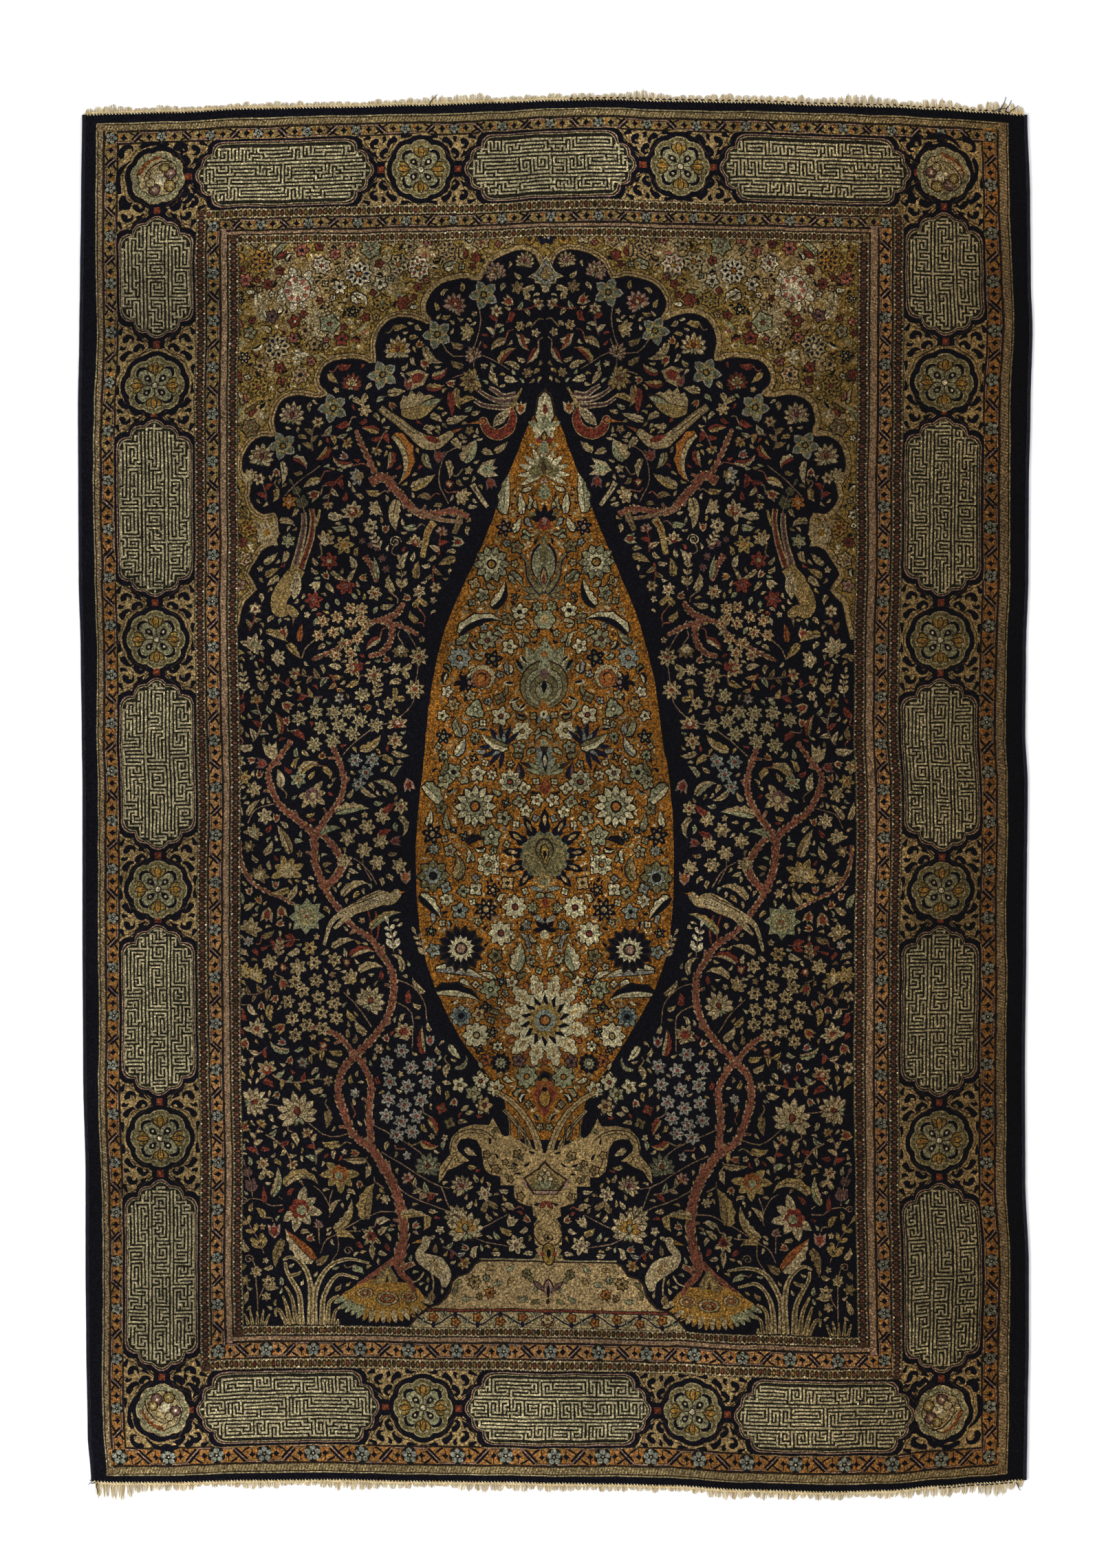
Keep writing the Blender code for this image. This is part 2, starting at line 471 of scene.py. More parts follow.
# ---------------------------------------------------------------- panels and rosettes of the main border
def panel_ring(half_length, half_height, inset=0.0):
    """A long panel whose slanting ends have two small lobes and a rounded point."""
    a, b = half_length - inset, half_height - inset
    corner = [
        complex(a - 40, b),
        complex(a - 25, b * 0.64),
        complex(a - 9, b * 0.28),
        complex(a - 9, -b * 0.28),
        complex(a - 25, -b * 0.64),
        complex(a - 40, -b),
    ]
    right = []
    for p, q, bulge in zip(corner, corner[1:], (-0.24, -0.26, -0.3, -0.26, -0.24)):
        right += arcs([p, q], bulge, 5)[:-1]
    right.append(corner[-1])
    left = [-point.conjugate() for point in right]
    return right + left[::-1]


def inside(point, ring):
    """Whether the point lies in the ring."""
    within = False
    for a, b in zip(ring, ring[1:] + ring[:1]):
        if (a.imag > point.imag) != (b.imag > point.imag):
            if point.real < a.real + (point.imag - a.imag) * (b.real - a.real) / (b.imag - a.imag):
                within = not within
    return within


def fret(pen, ring, half_length, half_height, chance, pitch=5.3, stroke=2.6):
    """A plain fret: pale lines turning at right angles, all one tree, so that none closes on itself."""
    columns = int(half_length * 2 / pitch) | 1
    rows = int(half_height * 2 / pitch) | 1
    offset = complex(-(columns - 1) * pitch / 2, -(rows - 1) * pitch / 2)
    cells = {
        (i, j)
        for i in range(columns)
        for j in range(rows)
        if inside(offset + complex(i, j) * pitch, ring)
    }
    links = {}

    def link(a, b):
        links.setdefault(a, set()).add(b)
        links.setdefault(b, set()).add(a)

    # two long lines and an upright between them come first, and the rest grows off them
    low, high = rows // 3, rows - 1 - rows // 3
    for j in (low, high):
        line = [(i, j) for i in range(columns) if (i, j) in cells]
        for a, b in zip(line, line[1:]):
            link(a, b)
    for j in range(low, high):
        link((columns // 2, j), (columns // 2, j + 1))
    growing = list(links)
    chance.shuffle(growing)
    while growing:
        trail = [(growing.pop(), None)]
        while trail:
            cell, heading = trail[-1]
            ways = []
            for way in ((1, 0), (-1, 0), (0, 1), (0, -1)):
                after = (cell[0] + way[0], cell[1] + way[1])
                if after in cells and after not in links:
                    ways.append(way)
            if not ways:
                trail.pop()
                continue
            upright = (cell[0] // 8 + cell[1] // 6) % 2 == 0
            likely = [way for way in ways if (way[0] == 0) == upright]
            if heading in ways and chance.random() < 0.6:
                way = heading
            elif likely and chance.random() < 0.7:
                way = chance.choice(likely)
            else:
                way = chance.choice(ways)
            after = (cell[0] + way[0], cell[1] + way[1])
            link(cell, after)
            trail.append((after, way))
            if len(trail) > 26:
                growing += [step[0] for step in trail]
                break
    start = (columns // 2, low)
    pen.fill(tree_outline(start, links, offset, pitch, stroke / 2), "chalk")


def tree_outline(start, links, offset, pitch, half):
    """The ring round a tree of cells, walked with one hand on its wall."""
    ways = ((1, 0), (0, 1), (-1, 0), (0, -1))

    def open_way(cell, turn):
        return (cell[0] + ways[turn][0], cell[1] + ways[turn][1]) in links[cell]

    def corner(cell, turn):
        a, b = ways[turn], ways[(turn + 1) % 4]
        return offset + complex(*cell) * pitch + complex(a[0] + b[0], a[1] + b[1]) * half

    first = next(turn for turn in range(4) if open_way(start, turn))
    cell, heading = start, first
    ring = []
    while True:
        cell = (cell[0] + ways[heading][0], cell[1] + ways[heading][1])
        turn = (heading + 3) % 4
        if open_way(cell, turn):
            ring.append(corner(cell, (turn + 3) % 4))
        while not open_way(cell, turn):
            if turn != (heading + 3) % 4 or not open_way(cell, heading):
                ring.append(corner(cell, turn))
            turn = (turn + 1) % 4
        heading = turn
        if cell == start and heading == first:
            return ring


def panel(pen, half_length, half_height, chance):
    for inset, colour in ((0, "rose"), (1.5, "night"), (2.9, "parchment"), (4.3, "bark")):
        pen.fill(panel_ring(half_length, half_height, inset), colour)
    fret(pen, panel_ring(half_length, half_height, 5.8), half_length, half_height, chance)


def border_rosette(pen, radius):
    for inset, depth, colour in (
        (0, 0.1, "parchment"), (2.0, 0.1, "khaki"), (7, 0.12, "parchment"), (8.6, 0.14, "stone"),
    ):
        pen.fill(scallop(radius - inset, 8, depth, 5, 0.39), colour)
    for k in range(4):
        arm = pen.at(0j, 90 * k)
        for lean in (-34, 34):
            arm.ahead(radius * 0.36, lean).fill(drop(radius * 0.44, radius * 0.24, 8), "umber")
            arm.ahead(radius * 0.39, lean).fill(drop(radius * 0.38, radius * 0.17, 8), "ochre")
        arm.ahead(radius * 0.26).fill(drop(radius * 0.56, radius * 0.24, 8), "umber")
        arm.ahead(radius * 0.31).fill(drop(radius * 0.47, radius * 0.16, 8), "gold")
        arm.fill(needle(radius * 0.34, radius * 0.66, 0.7), "umber")
        strip(arm, radius * 0.1, radius * 0.3, -0.7, 0.7, "umber")
        corner = pen.at(0j, 45 + 90 * k)
        corner.ahead(radius * 0.14).fill(drop(radius * 0.36, radius * 0.24, 7), "umber")
        corner.ahead(radius * 0.2).fill(drop(radius * 0.26, radius * 0.17, 7), "night")
        corner.ahead(radius * 0.36).fill(disc(radius * 0.05, 5), "cream")
        moon = [cmath.rect(radius * reach, math.radians(angle)) for reach, angle in
                ((0.6, -21), (0.74, -16), (0.82, -4), (0.82, 6), (0.74, 17), (0.6, 20), (0.68, 11), (0.71, 2),
                 (0.67, -9))]
        corner.fill(moon, "night")
        corner.ahead(radius * 0.6).fill(disc(radius * 0.07, 6), "sage")
    pen.fill(star(radius * 0.17, 12, 0.35), "umber")
    pen.fill(disc(radius * 0.09, 8), "cream")


def corner_rosette(pen, radius):
    """The corner medallion, with round fruit and a few leaves."""
    for inset, colour in ((0, "ivory"), (2.2, "stone"), (9.6, "umber"), (11, "ivory")):
        pen.fill(scallop(radius - inset, 8, 0.08, 5, 0.2), colour)
    pen.line([19 + 23j, 4 + 22j, -10 + 14j, -18 + 2j, -17 - 9j], (2.4, 1), "umber")
    pen.line([17 + 19j, 3 + 17j, -8 + 10j, -13 + 0j], (1.4, 0.8), "brown")
    for place, heading in ((-31 + 4j, 50), (-28 + 11j, 44), (-23 + 17j, 40), (-16 + 23j, 36), (-8 + 27j, 30)):
        leaf(pen.at(place, heading - 30), 16, 4.6, 40, "copper", "umber")
    pen.at(-1 + 4j, -60).fill(petal(20, 13), "cream")
    for place, size, colour in ((17 + 5j, 9.6, "mauve"), (17 - 13j, 9.4, "ochre"), (-4 - 18j, 9.2, "mauve"),
                                (-10 - 8j, 7.6, "ivory"), (9 + 13j, 8, "ochre")):
        fruit = pen.at(place)
        fruit.fill(scallop(size, 8, 0.12, 3), "umber")
        fruit.fill(disc(size * 0.78, 9), colour)
        fruit.fill(disc(size * 0.44, 7), "parchment" if colour != "mauve" else "rose")
        fruit.fill(disc(size * 0.2, 5), "cream")


# The dark commas between a panel's end and a rosette. u runs from the panel's point to the rosette and
# v from the border's middle to its edge. Columns: points (u, v), width.
COMMAS = (
    (((5, 40), (1, 41), (-4, 38), (-2, 32), (5, 31)), 8.5),
    (((19, 27), (14, 27), (9, 22), (12, 17), (17, 18)), 7.5),
    (((31, 46), (27, 43), (22, 40), (19, 35), (21, 31)), 8.5),
    (((-2, 26), (0, 21), (5, 17)), 5.5),
    (((-6, 49), (-12, 47), (-18, 44)), 6.0),
    (((12, 48), (14, 44), (11, 39)), 6.0),
    (((38, 49), (46, 48), (54, 49)), 5.0),
    (((-24, 49.5), (-32, 48.5), (-40, 49.5)), 4.0),
)
# The dark arcs and commas of the outer corner quadrant, about the corner medallion. Columns: points, width.
CORNER_COMMAS = (
    ((-53 - 22j, -56 - 6j, -54 + 10j, -46 + 20j, -38 + 26j), 7.0),
    ((-50 + 30j, -52 + 38j, -46 + 46j, -37 + 45j, -36 + 38j), 8.0),
    ((-26 + 44j, -14 + 49j, 2 + 48j, 14 + 44j), 6.5),
    ((-52 - 30j, -48 - 40j, -40 - 42j, -37 - 35j), 8.0),
    ((24 + 50j, 34 + 46j, 40 + 38j, 34 + 34j), 7.5),
)


def comma(pen, points, width):
    """A fat dark curl that tapers from its round head."""
    curve = smooth(points, 3)
    pen.fill(ribbon(curve, lambda s: 1.22 * width * (1 - s) ** 0.7 * min(1.0, 0.45 + s * 4) + 0.9), "night")


def arabesque(pen, reach):
    """Dark commas and a dark line on tan, on both sides of the border's middle line."""
    both = pen.twice()
    scale = reach / 50
    for places, width, colour in (
        (((-19, 40), (-8, 24), (4, 12), (9, 9), (16, 13), (25, 24), (33, 36)), 1.5, "umber"),
        (((-15, 43), (-6, 28), (4, 16), (8, 13), (13, 16), (22, 28), (27, 38)), 1.1, "brown"),
    ):
        both.line([complex(u, v * scale) for u, v in places], width, colour, 2)
    for points, width in COMMAS:
        comma(both, [complex(u, v * scale) for u, v in points], width)


def main_border(pen):
    chance = random.Random(5)
    left, right, bottom, top = band_box("main border")
    frame_band(pen, (left + 1.2, right - 1.2, bottom + 1.2, top - 1.2), "sand")
    sides = {row[0]: row for row in band_sides("main border", "outer beading")}

    def place_on(side, middle):
        _, start, heading, _, half = sides[side]
        if side in ("top", "bottom"):
            return pen.at(complex(middle, start.imag), heading), half
        return pen.at(complex(start.real, middle), heading), half

    corners = [(sides[name][1], 90 * turn) for turn, name in enumerate(("bottom", "right", "top", "left"))]
    panels = [(*place_on(side, middle), half_length) for side, middle, half_length in PANELS]
    rosettes = [place_on(side, middle) for side, middle in ROSETTES]
    for colour, grow in (("umber", 4.2), ("sand", 3.2), ("night", 0)):
        for place, half, half_length in panels:
            place.fill(panel_ring(half_length + 7.5 + grow, half + 1 + grow * 0.3), colour)
        for place, _ in rosettes:
            place.fill(scallop(50 + grow, 8, 0.05, 5, 0.39), colour)
        for corner, heading in corners:
            pen.at(corner, heading).fill(scallop(47 + grow, 8, 0.06, 5, 0.2), colour)
    for place, half, half_length in panels:
        for way in (1, -1):
            tip = place.ahead(way * half_length, 0 if way > 0 else 180)
            arabesque(tip, half - 1)
    for place, half, half_length in panels:
        for way in (1, -1):
            knot = place.ahead(way * (half_length + 8.5))
            strip(knot, -6, 6, -12, 12, "night")
            strip(knot, -5, 5, -4.6, 4.6, "rust")
            strip(knot, -2, 2, -2, 2, "copper")
        panel(place, half_length, half - 2.6, chance)
    for place, _ in rosettes:
        border_rosette(place, 43)
    for corner, heading in corners:
        quadrant = pen.at(corner, heading + 90)
        for points, width in CORNER_COMMAS:
            comma(quadrant, list(points), width)
    for (corner, _), heading in zip(corners[::-1], (0, -80, -170, 100)):
        corner_rosette(pen.at(corner, heading), 39)


def draw_borders(pen):
    frame_band(pen, band_box("edge"), "night")
    left, right, bottom, top = band_box("outer stripe")
    frame_band(pen, (left - 1.8, right + 1.8, bottom - 1.8, top + 1.8), "parchment")
    frame_band(pen, (left, right, bottom, top), "umber")
    plain_stripe(pen, "outer stripe", "outer guard", ("bronze", "fawn"), "parchment")
    guard(pen, "outer guard", "main border", 71, "mustard")
    frame_band(pen, band_box("main border"), "umber")
    main_border(pen)
    frame_band(pen, band_box("outer beading"), "umber")
    beading(pen, "outer beading", "inner guard")
    frame_band(pen, band_box("inner guard"), "umber")
    guard(pen, "inner guard", "inner stripe", 68, "apricot")
    frame_band(pen, band_box("inner stripe"), "umber")
    plain_stripe(pen, "inner stripe", "inner beading", ("rose", "rose"), "sand")
    frame_band(pen, band_box("inner beading"), "umber")
    beading(pen, "inner beading", "field")


# ---------------------------------------------------------------- larger motifs
def petal(length, width, belly=0.58):
    """A pointed petal from the origin along +x."""
    half = width / 2
    lower = [0j, complex(length * belly * 0.5, -half * 0.72), complex(length * belly, -half),
             complex(length * 0.84, -half * 0.62), complex(length, 0)]
    return mirrored(lower, True)


def fan(pen, radius, count, spread, colour, edge="umber", width=0.5, fall=0.2, grow=1.5):
    """Petals spread about the pen's x axis; the outer ones are shorter by the share fall."""
    for k in range(count):
        share = 2 * k / (count - 1) - 1 if count > 1 else 0
        one = pen.at(0j, share * spread / 2)
        length = radius * (1 - fall * abs(share))
        if edge:
            one.ahead(-0.4).fill(petal(length + grow + 0.4, radius * width + grow * 1.5), edge)
        one.fill(petal(length, radius * width), colour)


def daisy(pen, radius, petals, colour, heart, edge, second):
    """A full flower of pointed petals all round, in one or two rows."""
    width = 2.3 / petals
    pen.fill(star(radius * 1.08, petals, 0.2), edge)
    for k in range(petals):
        pen.at(0j, 360 * k / petals).fill(petal(radius, radius * width * 2), colour)
    if second:
        pen.fill(star(radius * 0.68, petals, 0.3, math.pi / petals), edge)
        pen.fill(star(radius * 0.6, petals, 0.3, math.pi / petals), second)
    pen.fill(disc(radius * 0.3, 8), edge)
    pen.fill(disc(radius * 0.2, 6), heart)


def lotus(pen, radius, outer, inner, heart):
    """A lotus opening along the x axis, with two rows of petals and a calyx."""
    spread = 230
    fan(pen, radius, 9, spread, outer, "umber", 0.34, 0.25)
    fan(pen, radius * 0.68, 5, spread * 0.62, inner, "umber", 0.34, 0.2, 1.2)
    pen.ahead(-radius * 0.08).fill(petal(radius * 0.46, radius * 0.34), "umber")
    pen.fill(petal(radius * 0.34, radius * 0.22), heart)
    both = pen.twice()
    both.ahead(-radius * 0.1, 150).fill(petal(radius * 0.42, radius * 0.24), "umber")
    both.ahead(-radius * 0.1, 150).fill(petal(radius * 0.34, radius * 0.15), "sage")


def vine_palmette(pen, radius):
    """A grey-green leaf of five lobes with a pale rim, golden dots and a small dark core."""
    pen.fill(pointed(radius + 1, 5, 0.62), "silver")
    pen.fill(pointed(radius - 2, 5, 0.6), "lichen")
    pen.fill(scallop(radius * 0.6, 5, 0.3, 3), "sage")
    for k in range(5):
        lobe = pen.at(0j, 72 * k + 36)
        lobe.fill(needle(radius * 0.2, radius * 0.7, 0.6), "umber")
        lobe.ahead(radius * 0.52).fill(disc(radius * 0.13, 5), "gold")
    pen.fill(star(radius * 0.34, 5, 0.3), "umber")
    pen.fill(disc(radius * 0.16, 6), "ochre")


def blade(pen, length, width, bend=60, colour="tan", other=None, teeth=4, edge=None):
    """A thick curved leaf centred on the pen's origin, toothed, its halves of one colour or two."""
    if edge:
        blade(pen, length + 4, width + 3.8, bend, edge, None, teeth)
    half_turn = math.radians(bend) / 2
    chord = length * math.sin(half_turn) / half_turn if half_turn else length
    start = pen.at(complex(-chord / 2, length * half_turn / 6), -bend / 2)
    line = bow(length, bend, 2 * teeth + 1)
    ring = ribbon(line, lambda share: width * math.sin(math.pi * min(1.0, 0.1 + share * 0.9) ** 0.75))
    for i in range(1, len(line) - 1, 2):
        ring[i] += (ring[i] - line[i]) * 0.4
    start.fill(ring, colour)
    if other:
        start.fill(line + ring[len(line):], other)
    if width > 6 and colour != edge:
        start.fill(ribbon(line[:-2], lambda share: 1.4 - share), "umber")


def bloom(pen, radius, colour="tan", heart="rust", petals=6, dots="umber"):
    """A ragged flower as the knots draw it: notched petals, dots round the middle and a heart."""
    pen.fill(pointed(radius, petals, 0.58), colour)
    for k in range(petals):
        pen.at(cmath.rect(radius * 0.54, 2 * math.pi * k / petals)).fill(disc(radius * 0.12, 4), dots)
    pen.fill(disc(radius * 0.26, 6), heart)


def lily(pen, radius, colour="sand", heart="sage", base="rust", petals=6, spread=220):
    """A flower of thick pointed petals with dark midribs, opening along the x axis from a round base."""
    for k in range(petals):
        share = 2 * k / (petals - 1) - 1
        one = pen.at(0j, share * spread / 2)
        reach = radius * (1.0 if k % 2 else 0.84)
        one.fill(petal(reach, radius * 0.42), colour)
        one.fill(needle(reach * 0.4, reach * 0.85, 0.7), "umber")
    pen.fill(scallop(radius * 0.44, 6, 0.2, 3), base)
    pen.ahead(radius * 0.12).fill(disc(radius * 0.22, 7), heart)


def tulip(pen, length, colour="rust", rim="tan"):
    """A half-open bud along the x axis: three pointed petals with a pale rim."""
    outer = [length * point for point in (0j, 0.35 + 0.36j, 1 + 0.42j, 0.78 + 0.12j, 1.05 + 0j)]
    pen.fill(mirrored(outer, True), rim)
    inner = [length * point for point in (0j, 0.26 + 0.22j, 0.62 + 0.2j)]
    pen.ahead(length * 0.16).fill(inner + [point.conjugate() for point in inner[:0:-1]], colour)


def blossom(pen, radius, colour="ivory", heart="rust", petals=6, edge="umber"):
    """A round flower with notched petals, dark-edged."""
    pen.fill(pointed(radius + 2.3, petals, 0.7), edge)
    pen.fill(pointed(radius, petals, 0.6), colour)
    for k in range(petals):
        pen.at(0j, 360 * (k + 0.5) / petals).fill(needle(radius * 0.24, radius * 0.66, 0.5), edge)
    pen.fill(disc(radius * 0.34, 6), edge)
    pen.fill(disc(radius * 0.22, 5), heart)


def bird(pen, spine, girths, body, rim="sand"):
    """A bird's body along its spine, from the rump to the beak's root; girths are its widths there."""
    line = smooth(spine, 4)

    def girth(share, extra=0.0):
        place = share * (len(girths) - 1)
        low = min(int(place), len(girths) - 2)
        return girths[low] + (girths[low + 1] - girths[low]) * (place - low) + extra

    pen.fill(ribbon(line, lambda share: girth(share, 2.2)), rim)
    pen.fill(ribbon(line, girth), body)
    head = pen.at(line[-1])
    head.fill(disc(girths[-1] * 0.55 + 1.1, 8), rim)
    head.fill(disc(girths[-1] * 0.55, 8), body)
    head.fill(disc(2.0, 6), "cream")
    head.fill(disc(1.0, 5), "night")


def feather(pen, places, width, edge, core):
    """A long tail feather with a dark line down its core."""
    line = smooth(places, 4)
    pen.fill(ribbon(line, lambda share: width * (1 - 0.35 * share)), edge)
    pen.fill(ribbon(line, lambda share: width * 0.56 * (1 - 0.35 * share)), core)
    pen.fill(ribbon(line[:-2], lambda share: 0.8), "umber")


def wing(pen, length, width, colour, flecks):
    """A folded wing along the x axis with rows of dark flecks."""
    pen.fill(petal(length, width, 0.42), colour)
    for k in range(flecks):
        x = length * (0.16 + 0.62 * k / flecks)
        for side in (-0.26, 0.0, 0.26):
            pen.at(complex(x, side * width * (1 - 0.5 * k / flecks)), -20).fill(
                [-1.4 - 0.5j, 1.4 - 0.5j, 1.4 + 0.5j, -1.4 + 0.5j], "umber")


def branch(pen, places, widths, stubs=True):
    """A gnarled trunk or branch: a ragged pale rim, a rust core and short broken twigs."""
    line = smooth(places, 4)
    start, end = widths
    chance = random.Random(len(places))
    knots = [chance.uniform(0.78, 1.2) for _ in line]

    def girth(share):
        return (start + (end - start) * share) * knots[int(share * (len(line) - 1))]

    if stubs:
        for i in range(5, len(line) - 3, 7):
            heading = math.degrees(cmath.phase(line[i + 1] - line[i]))
            twig = pen.at(line[i], heading + (50 if i % 2 else -50))
            reach = girth(i / len(line)) * 0.6 + 8
            twig.fill(ribbon(bow(reach + 1.5, 30, 4), lambda s: 5.4 - 1.6 * s), "fawn")
            twig.fill(ribbon(bow(reach, 30, 4), lambda s: 3.6 - 1.0 * s), "clay")
    pen.fill(ribbon(line, lambda s: girth(s) + 0.6), "clay")
    for i, (a, b) in enumerate(zip(line, line[1:])):
        ahead = (b - a) / abs(b - a)
        heading = math.degrees(cmath.phase(ahead))
        half = girth(i / len(line)) / 2
        for side in (1, -1):
            rim = pen.at(a + 1j * ahead * side * half, heading + side * 8)
            pale = ("flax", "fawn", "straw", "rose", "oat")[(i * 2 + side) % 5]
            rim.fill(drop(abs(b - a) * chance.uniform(0.5, 1.05), chance.uniform(1.8, 3.2), 6), pale)
        if i % 2:
            core = pen.at(a + 1j * ahead * chance.uniform(-0.4, 0.4) * half, heading)
            dark = ("mauve", "copper rose", "brown")[i % 3]
            core.fill(drop(abs(b - a), chance.uniform(1.2, 2.4), 6), dark)


# ---------------------------------------------------------------- the field's frame of reference
# Field places are millimetres right and down from a point outside the cloth's top left corner, as
# (x, y) pairs on the left half; the middle line is at 793 and everything is drawn again mirrored.
SHEET_MIDDLE = (807, 1157)
FIELD_AXIS = 793
AXIS_SHIFT = SHEET_MIDDLE[0] - FIELD_AXIS


def spot(x, y):
    return complex(x - FIELD_AXIS, SHEET_MIDDLE[1] - y)


def spots(*places):
    return [spot(x, y) for x, y in places]


def placer(pen):
    """A function that puts the pen at a field place, turned to a heading."""
    return lambda x, y, heading=0.0: pen.at(spot(x, y), heading)


def both_halves(left):
    """A ring from its left half, whose two ends lie on the middle line."""
    return left + [-point.conjugate() for point in left[-2:0:-1]]


# The arch's edge from the middle line to the field's left side.
ARCH = (
    (793, 402), (788, 391), (779, 375), (760, 366), (732, 372), (708, 388), (698, 409), (680, 405),
    (659, 406), (639, 412), (624, 425), (616, 443), (618, 460), (627, 470), (613, 464), (599, 459),
    (579, 457), (559, 465), (546, 482), (542, 503), (545, 526), (533, 520), (510, 518), (486, 521),
    (470, 532), (463, 552), (468, 567), (477, 573), (461, 575), (443, 570), (419, 574), (404, 588),
    (398, 612), (404, 630), (393, 628), (375, 632), (360, 646), (352, 668), (355, 688), (366, 702),
    (363, 718), (370, 738), (386, 750), (402, 747), (405, 762), (405, 780), (396, 789), (383, 795),
    (372, 812), (361, 835), (374, 856), (356, 872), (349, 900), (343, 926),
)
# Half widths of the medallion. Columns: y, half width.
MEDALLION = (
    (570, 0), (600, 11), (629, 25), (664, 38), (698, 52), (733, 65), (767, 77), (802, 92), (836, 108),
    (870, 123), (905, 138), (940, 149), (974, 157), (1010, 164), (1043, 169), (1100, 176), (1140, 181),
    (1183, 185), (1235, 188), (1287, 188), (1322, 186), (1356, 182), (1392, 176), (1425, 166), (1460, 152),
    (1494, 134), (1530, 112), (1563, 88), (1582, 73), (1597, 62), (1625, 56), (1660, 50),
)


def medallion_edge():
    """The left half of the medallion's edge, from its tip down."""
    return [complex(-half, SHEET_MIDDLE[1] - y) for y, half in MEDALLION]


def field_ground(pen, middle):
    """The dark field, the arch's corners and the medallion."""
    middle.fill([spot(330, 350), spot(1260, 350), spot(1260, 1950), spot(330, 1950)], "night")
    arch = spots(*ARCH)
    corner = smooth(arch, 2)
    pen.fill([spot(793, 340), *corner, spot(330, 926), spot(330, 340)], "honey")
    pen.fill(ribbon(corner, lambda s: 9.5), "umber")
    pen.fill(ribbon(corner, lambda s: 7.2), "sand")
    pen.fill(ribbon(corner, lambda s: 1.3), "brown")
    left = smooth(medallion_edge(), 2)
    middle.fill(left + [-point.conjugate() for point in left[::-1]][:-1], "marigold")


# ---------------------------------------------------------------- the vase on its plinth
def vase(pen, middle):
    cloth = spots(
        (793, 1680), (770, 1672), (742, 1655), (736, 1657), (730, 1654), (722, 1640), (716, 1630),
        (711, 1641), (690, 1640), (670, 1645), (657, 1658), (653, 1672), (655, 1682), (640, 1700),
        (638, 1712), (637, 1724), (643, 1718), (650, 1706), (664, 1700), (674, 1694), (682, 1692),
        (674, 1686), (666, 1678), (664, 1670), (670, 1661), (682, 1660), (693, 1663), (700, 1675),
        (702, 1690), (705, 1706), (713, 1714), (727, 1716), (727, 1729), (747, 1729), (747, 1745),
        (753, 1754), (764, 1758), (773, 1760), (773, 1773), (780, 1776), (774, 1785), (772, 1800),
        (774, 1814), (780, 1818), (774, 1822), (778, 1829), (770, 1836), (793, 1838),
    )
    middle.fill(both_halves(cloth), "sand")
    rim = spots((655, 1680), (659, 1660), (672, 1649), (690, 1647), (706, 1650), (722, 1662))
    pen.line(rim, 1.5, "umber", 3)
    pen.line([point + complex(2.5, -5) for point in rim[1:-1]], 1.2, "umber", 3)
    pen.line(spots((642, 1714), (652, 1697), (662, 1684), (667, 1694), (676, 1693)), 1.2, "umber", 3)
    pen.line(spots((707, 1676), (709, 1692), (714, 1704)), 1.2, "umber", 3)
    for x, y, radius, colour in (
        (754, 1683, 6.5, "copper"), (708, 1683, 5, "ochre"), (720, 1705, 6, "rust"),
        (742, 1720, 4, "copper"), (756, 1745, 5.5, "ochre"), (735, 1695, 4, "khaki"),
    ):
        blossom(pen.at(spot(x, y)), radius, "tan", colour, 5)
    for x, y, heading in (
        (770, 1678, -30), (757, 1712, 160), (712, 1668, 80), (724, 1690, 100), (745, 1696, -35),
        (775, 1757, 0), (762, 1700, 20),
    ):
        leaf(pen.at(spot(x, y), heading), 11, 4, 40, "night", None)
    for x, y, heading in ((738, 1703, 20), (733, 1712, -40), (716, 1652, 60), (762, 1692, 150)):
        leaf(pen.at(spot(x, y), heading), 13, 4.5, -50, "khaki", None, edge="umber")
    # the basket in its middle
    basket = middle.at(spot(793, 1740), 90)
    basket.fill([complex(3, -22), complex(3, 22), complex(22, 34), complex(30, 22), complex(38, 10),
                 complex(50, 0), complex(38, -10), complex(30, -22), complex(22, -34)], "umber")
    basket.fill([complex(5, -19), complex(5, 19), complex(21, 29), complex(28, 20), complex(36, 8),
                 complex(44, 0), complex(36, -8), complex(28, -20), complex(21, -29)], "tan")
    fan(basket.ahead(6), 26, 7, 150, "khaki", "umber", 0.34, 0.1, 1.2)
    fan(basket.ahead(6), 17, 3, 60, "sage", "umber", 0.36, 0.1, 1.0)
    for x, y in ((24, 0), (22, 8), (22, -8), (30, 5), (30, -5), (36, 0)):
        basket.at(complex(x, y)).fill(disc(4.3, 7), "umber")
        basket.at(complex(x, y)).fill(disc(3.3, 7), "ivory")
    basket.fill([complex(-2, -18), complex(-2, 18), complex(5, 21), complex(5, -21)], "night")
    basket.fill([complex(-0.6, -16), complex(-0.6, 16), complex(3.6, 18.5), complex(3.6, -18.5)], "rose")
    basket.twice().at(22 + 34j, 200).fill(petal(16, 7), "rose")
    # the knot, the foot and the base
    knot = middle.at(spot(793, 1751), -90)
    fan(knot, 13, 2, 80, "rust", "umber", 0.5, 0)
    both = knot.twice()
    both.at(complex(4, 10), 70).fill(petal(7, 5), "night")
    foot = middle.at(spot(793, 1764), -90)
    foot.fill(drop(54, 44, 14), "umber")
    foot.ahead(1.5).fill(drop(51, 40.5, 14), "sand")
    foot.ahead(30).fill(drop(17, 15, 10), "umber")
    foot.ahead(31.6).fill(drop(14, 12, 10), "tan")
    foot.ahead(36).fill(petal(8, 5), "night")
    base = middle.at(spot(793, 1828), 90)
    base.fill(disc(17, 12, 0.62), "umber")
    base.fill(disc(15, 12, 0.58), "ochre")
    base.ahead(-7).fill(petal(15, 7), "night")
    base.twice().at(complex(0, 9)).fill(disc(3.4, 6), "rust")
    base.twice().at(complex(-4, 17)).fill(disc(3.6, 6), "khaki")


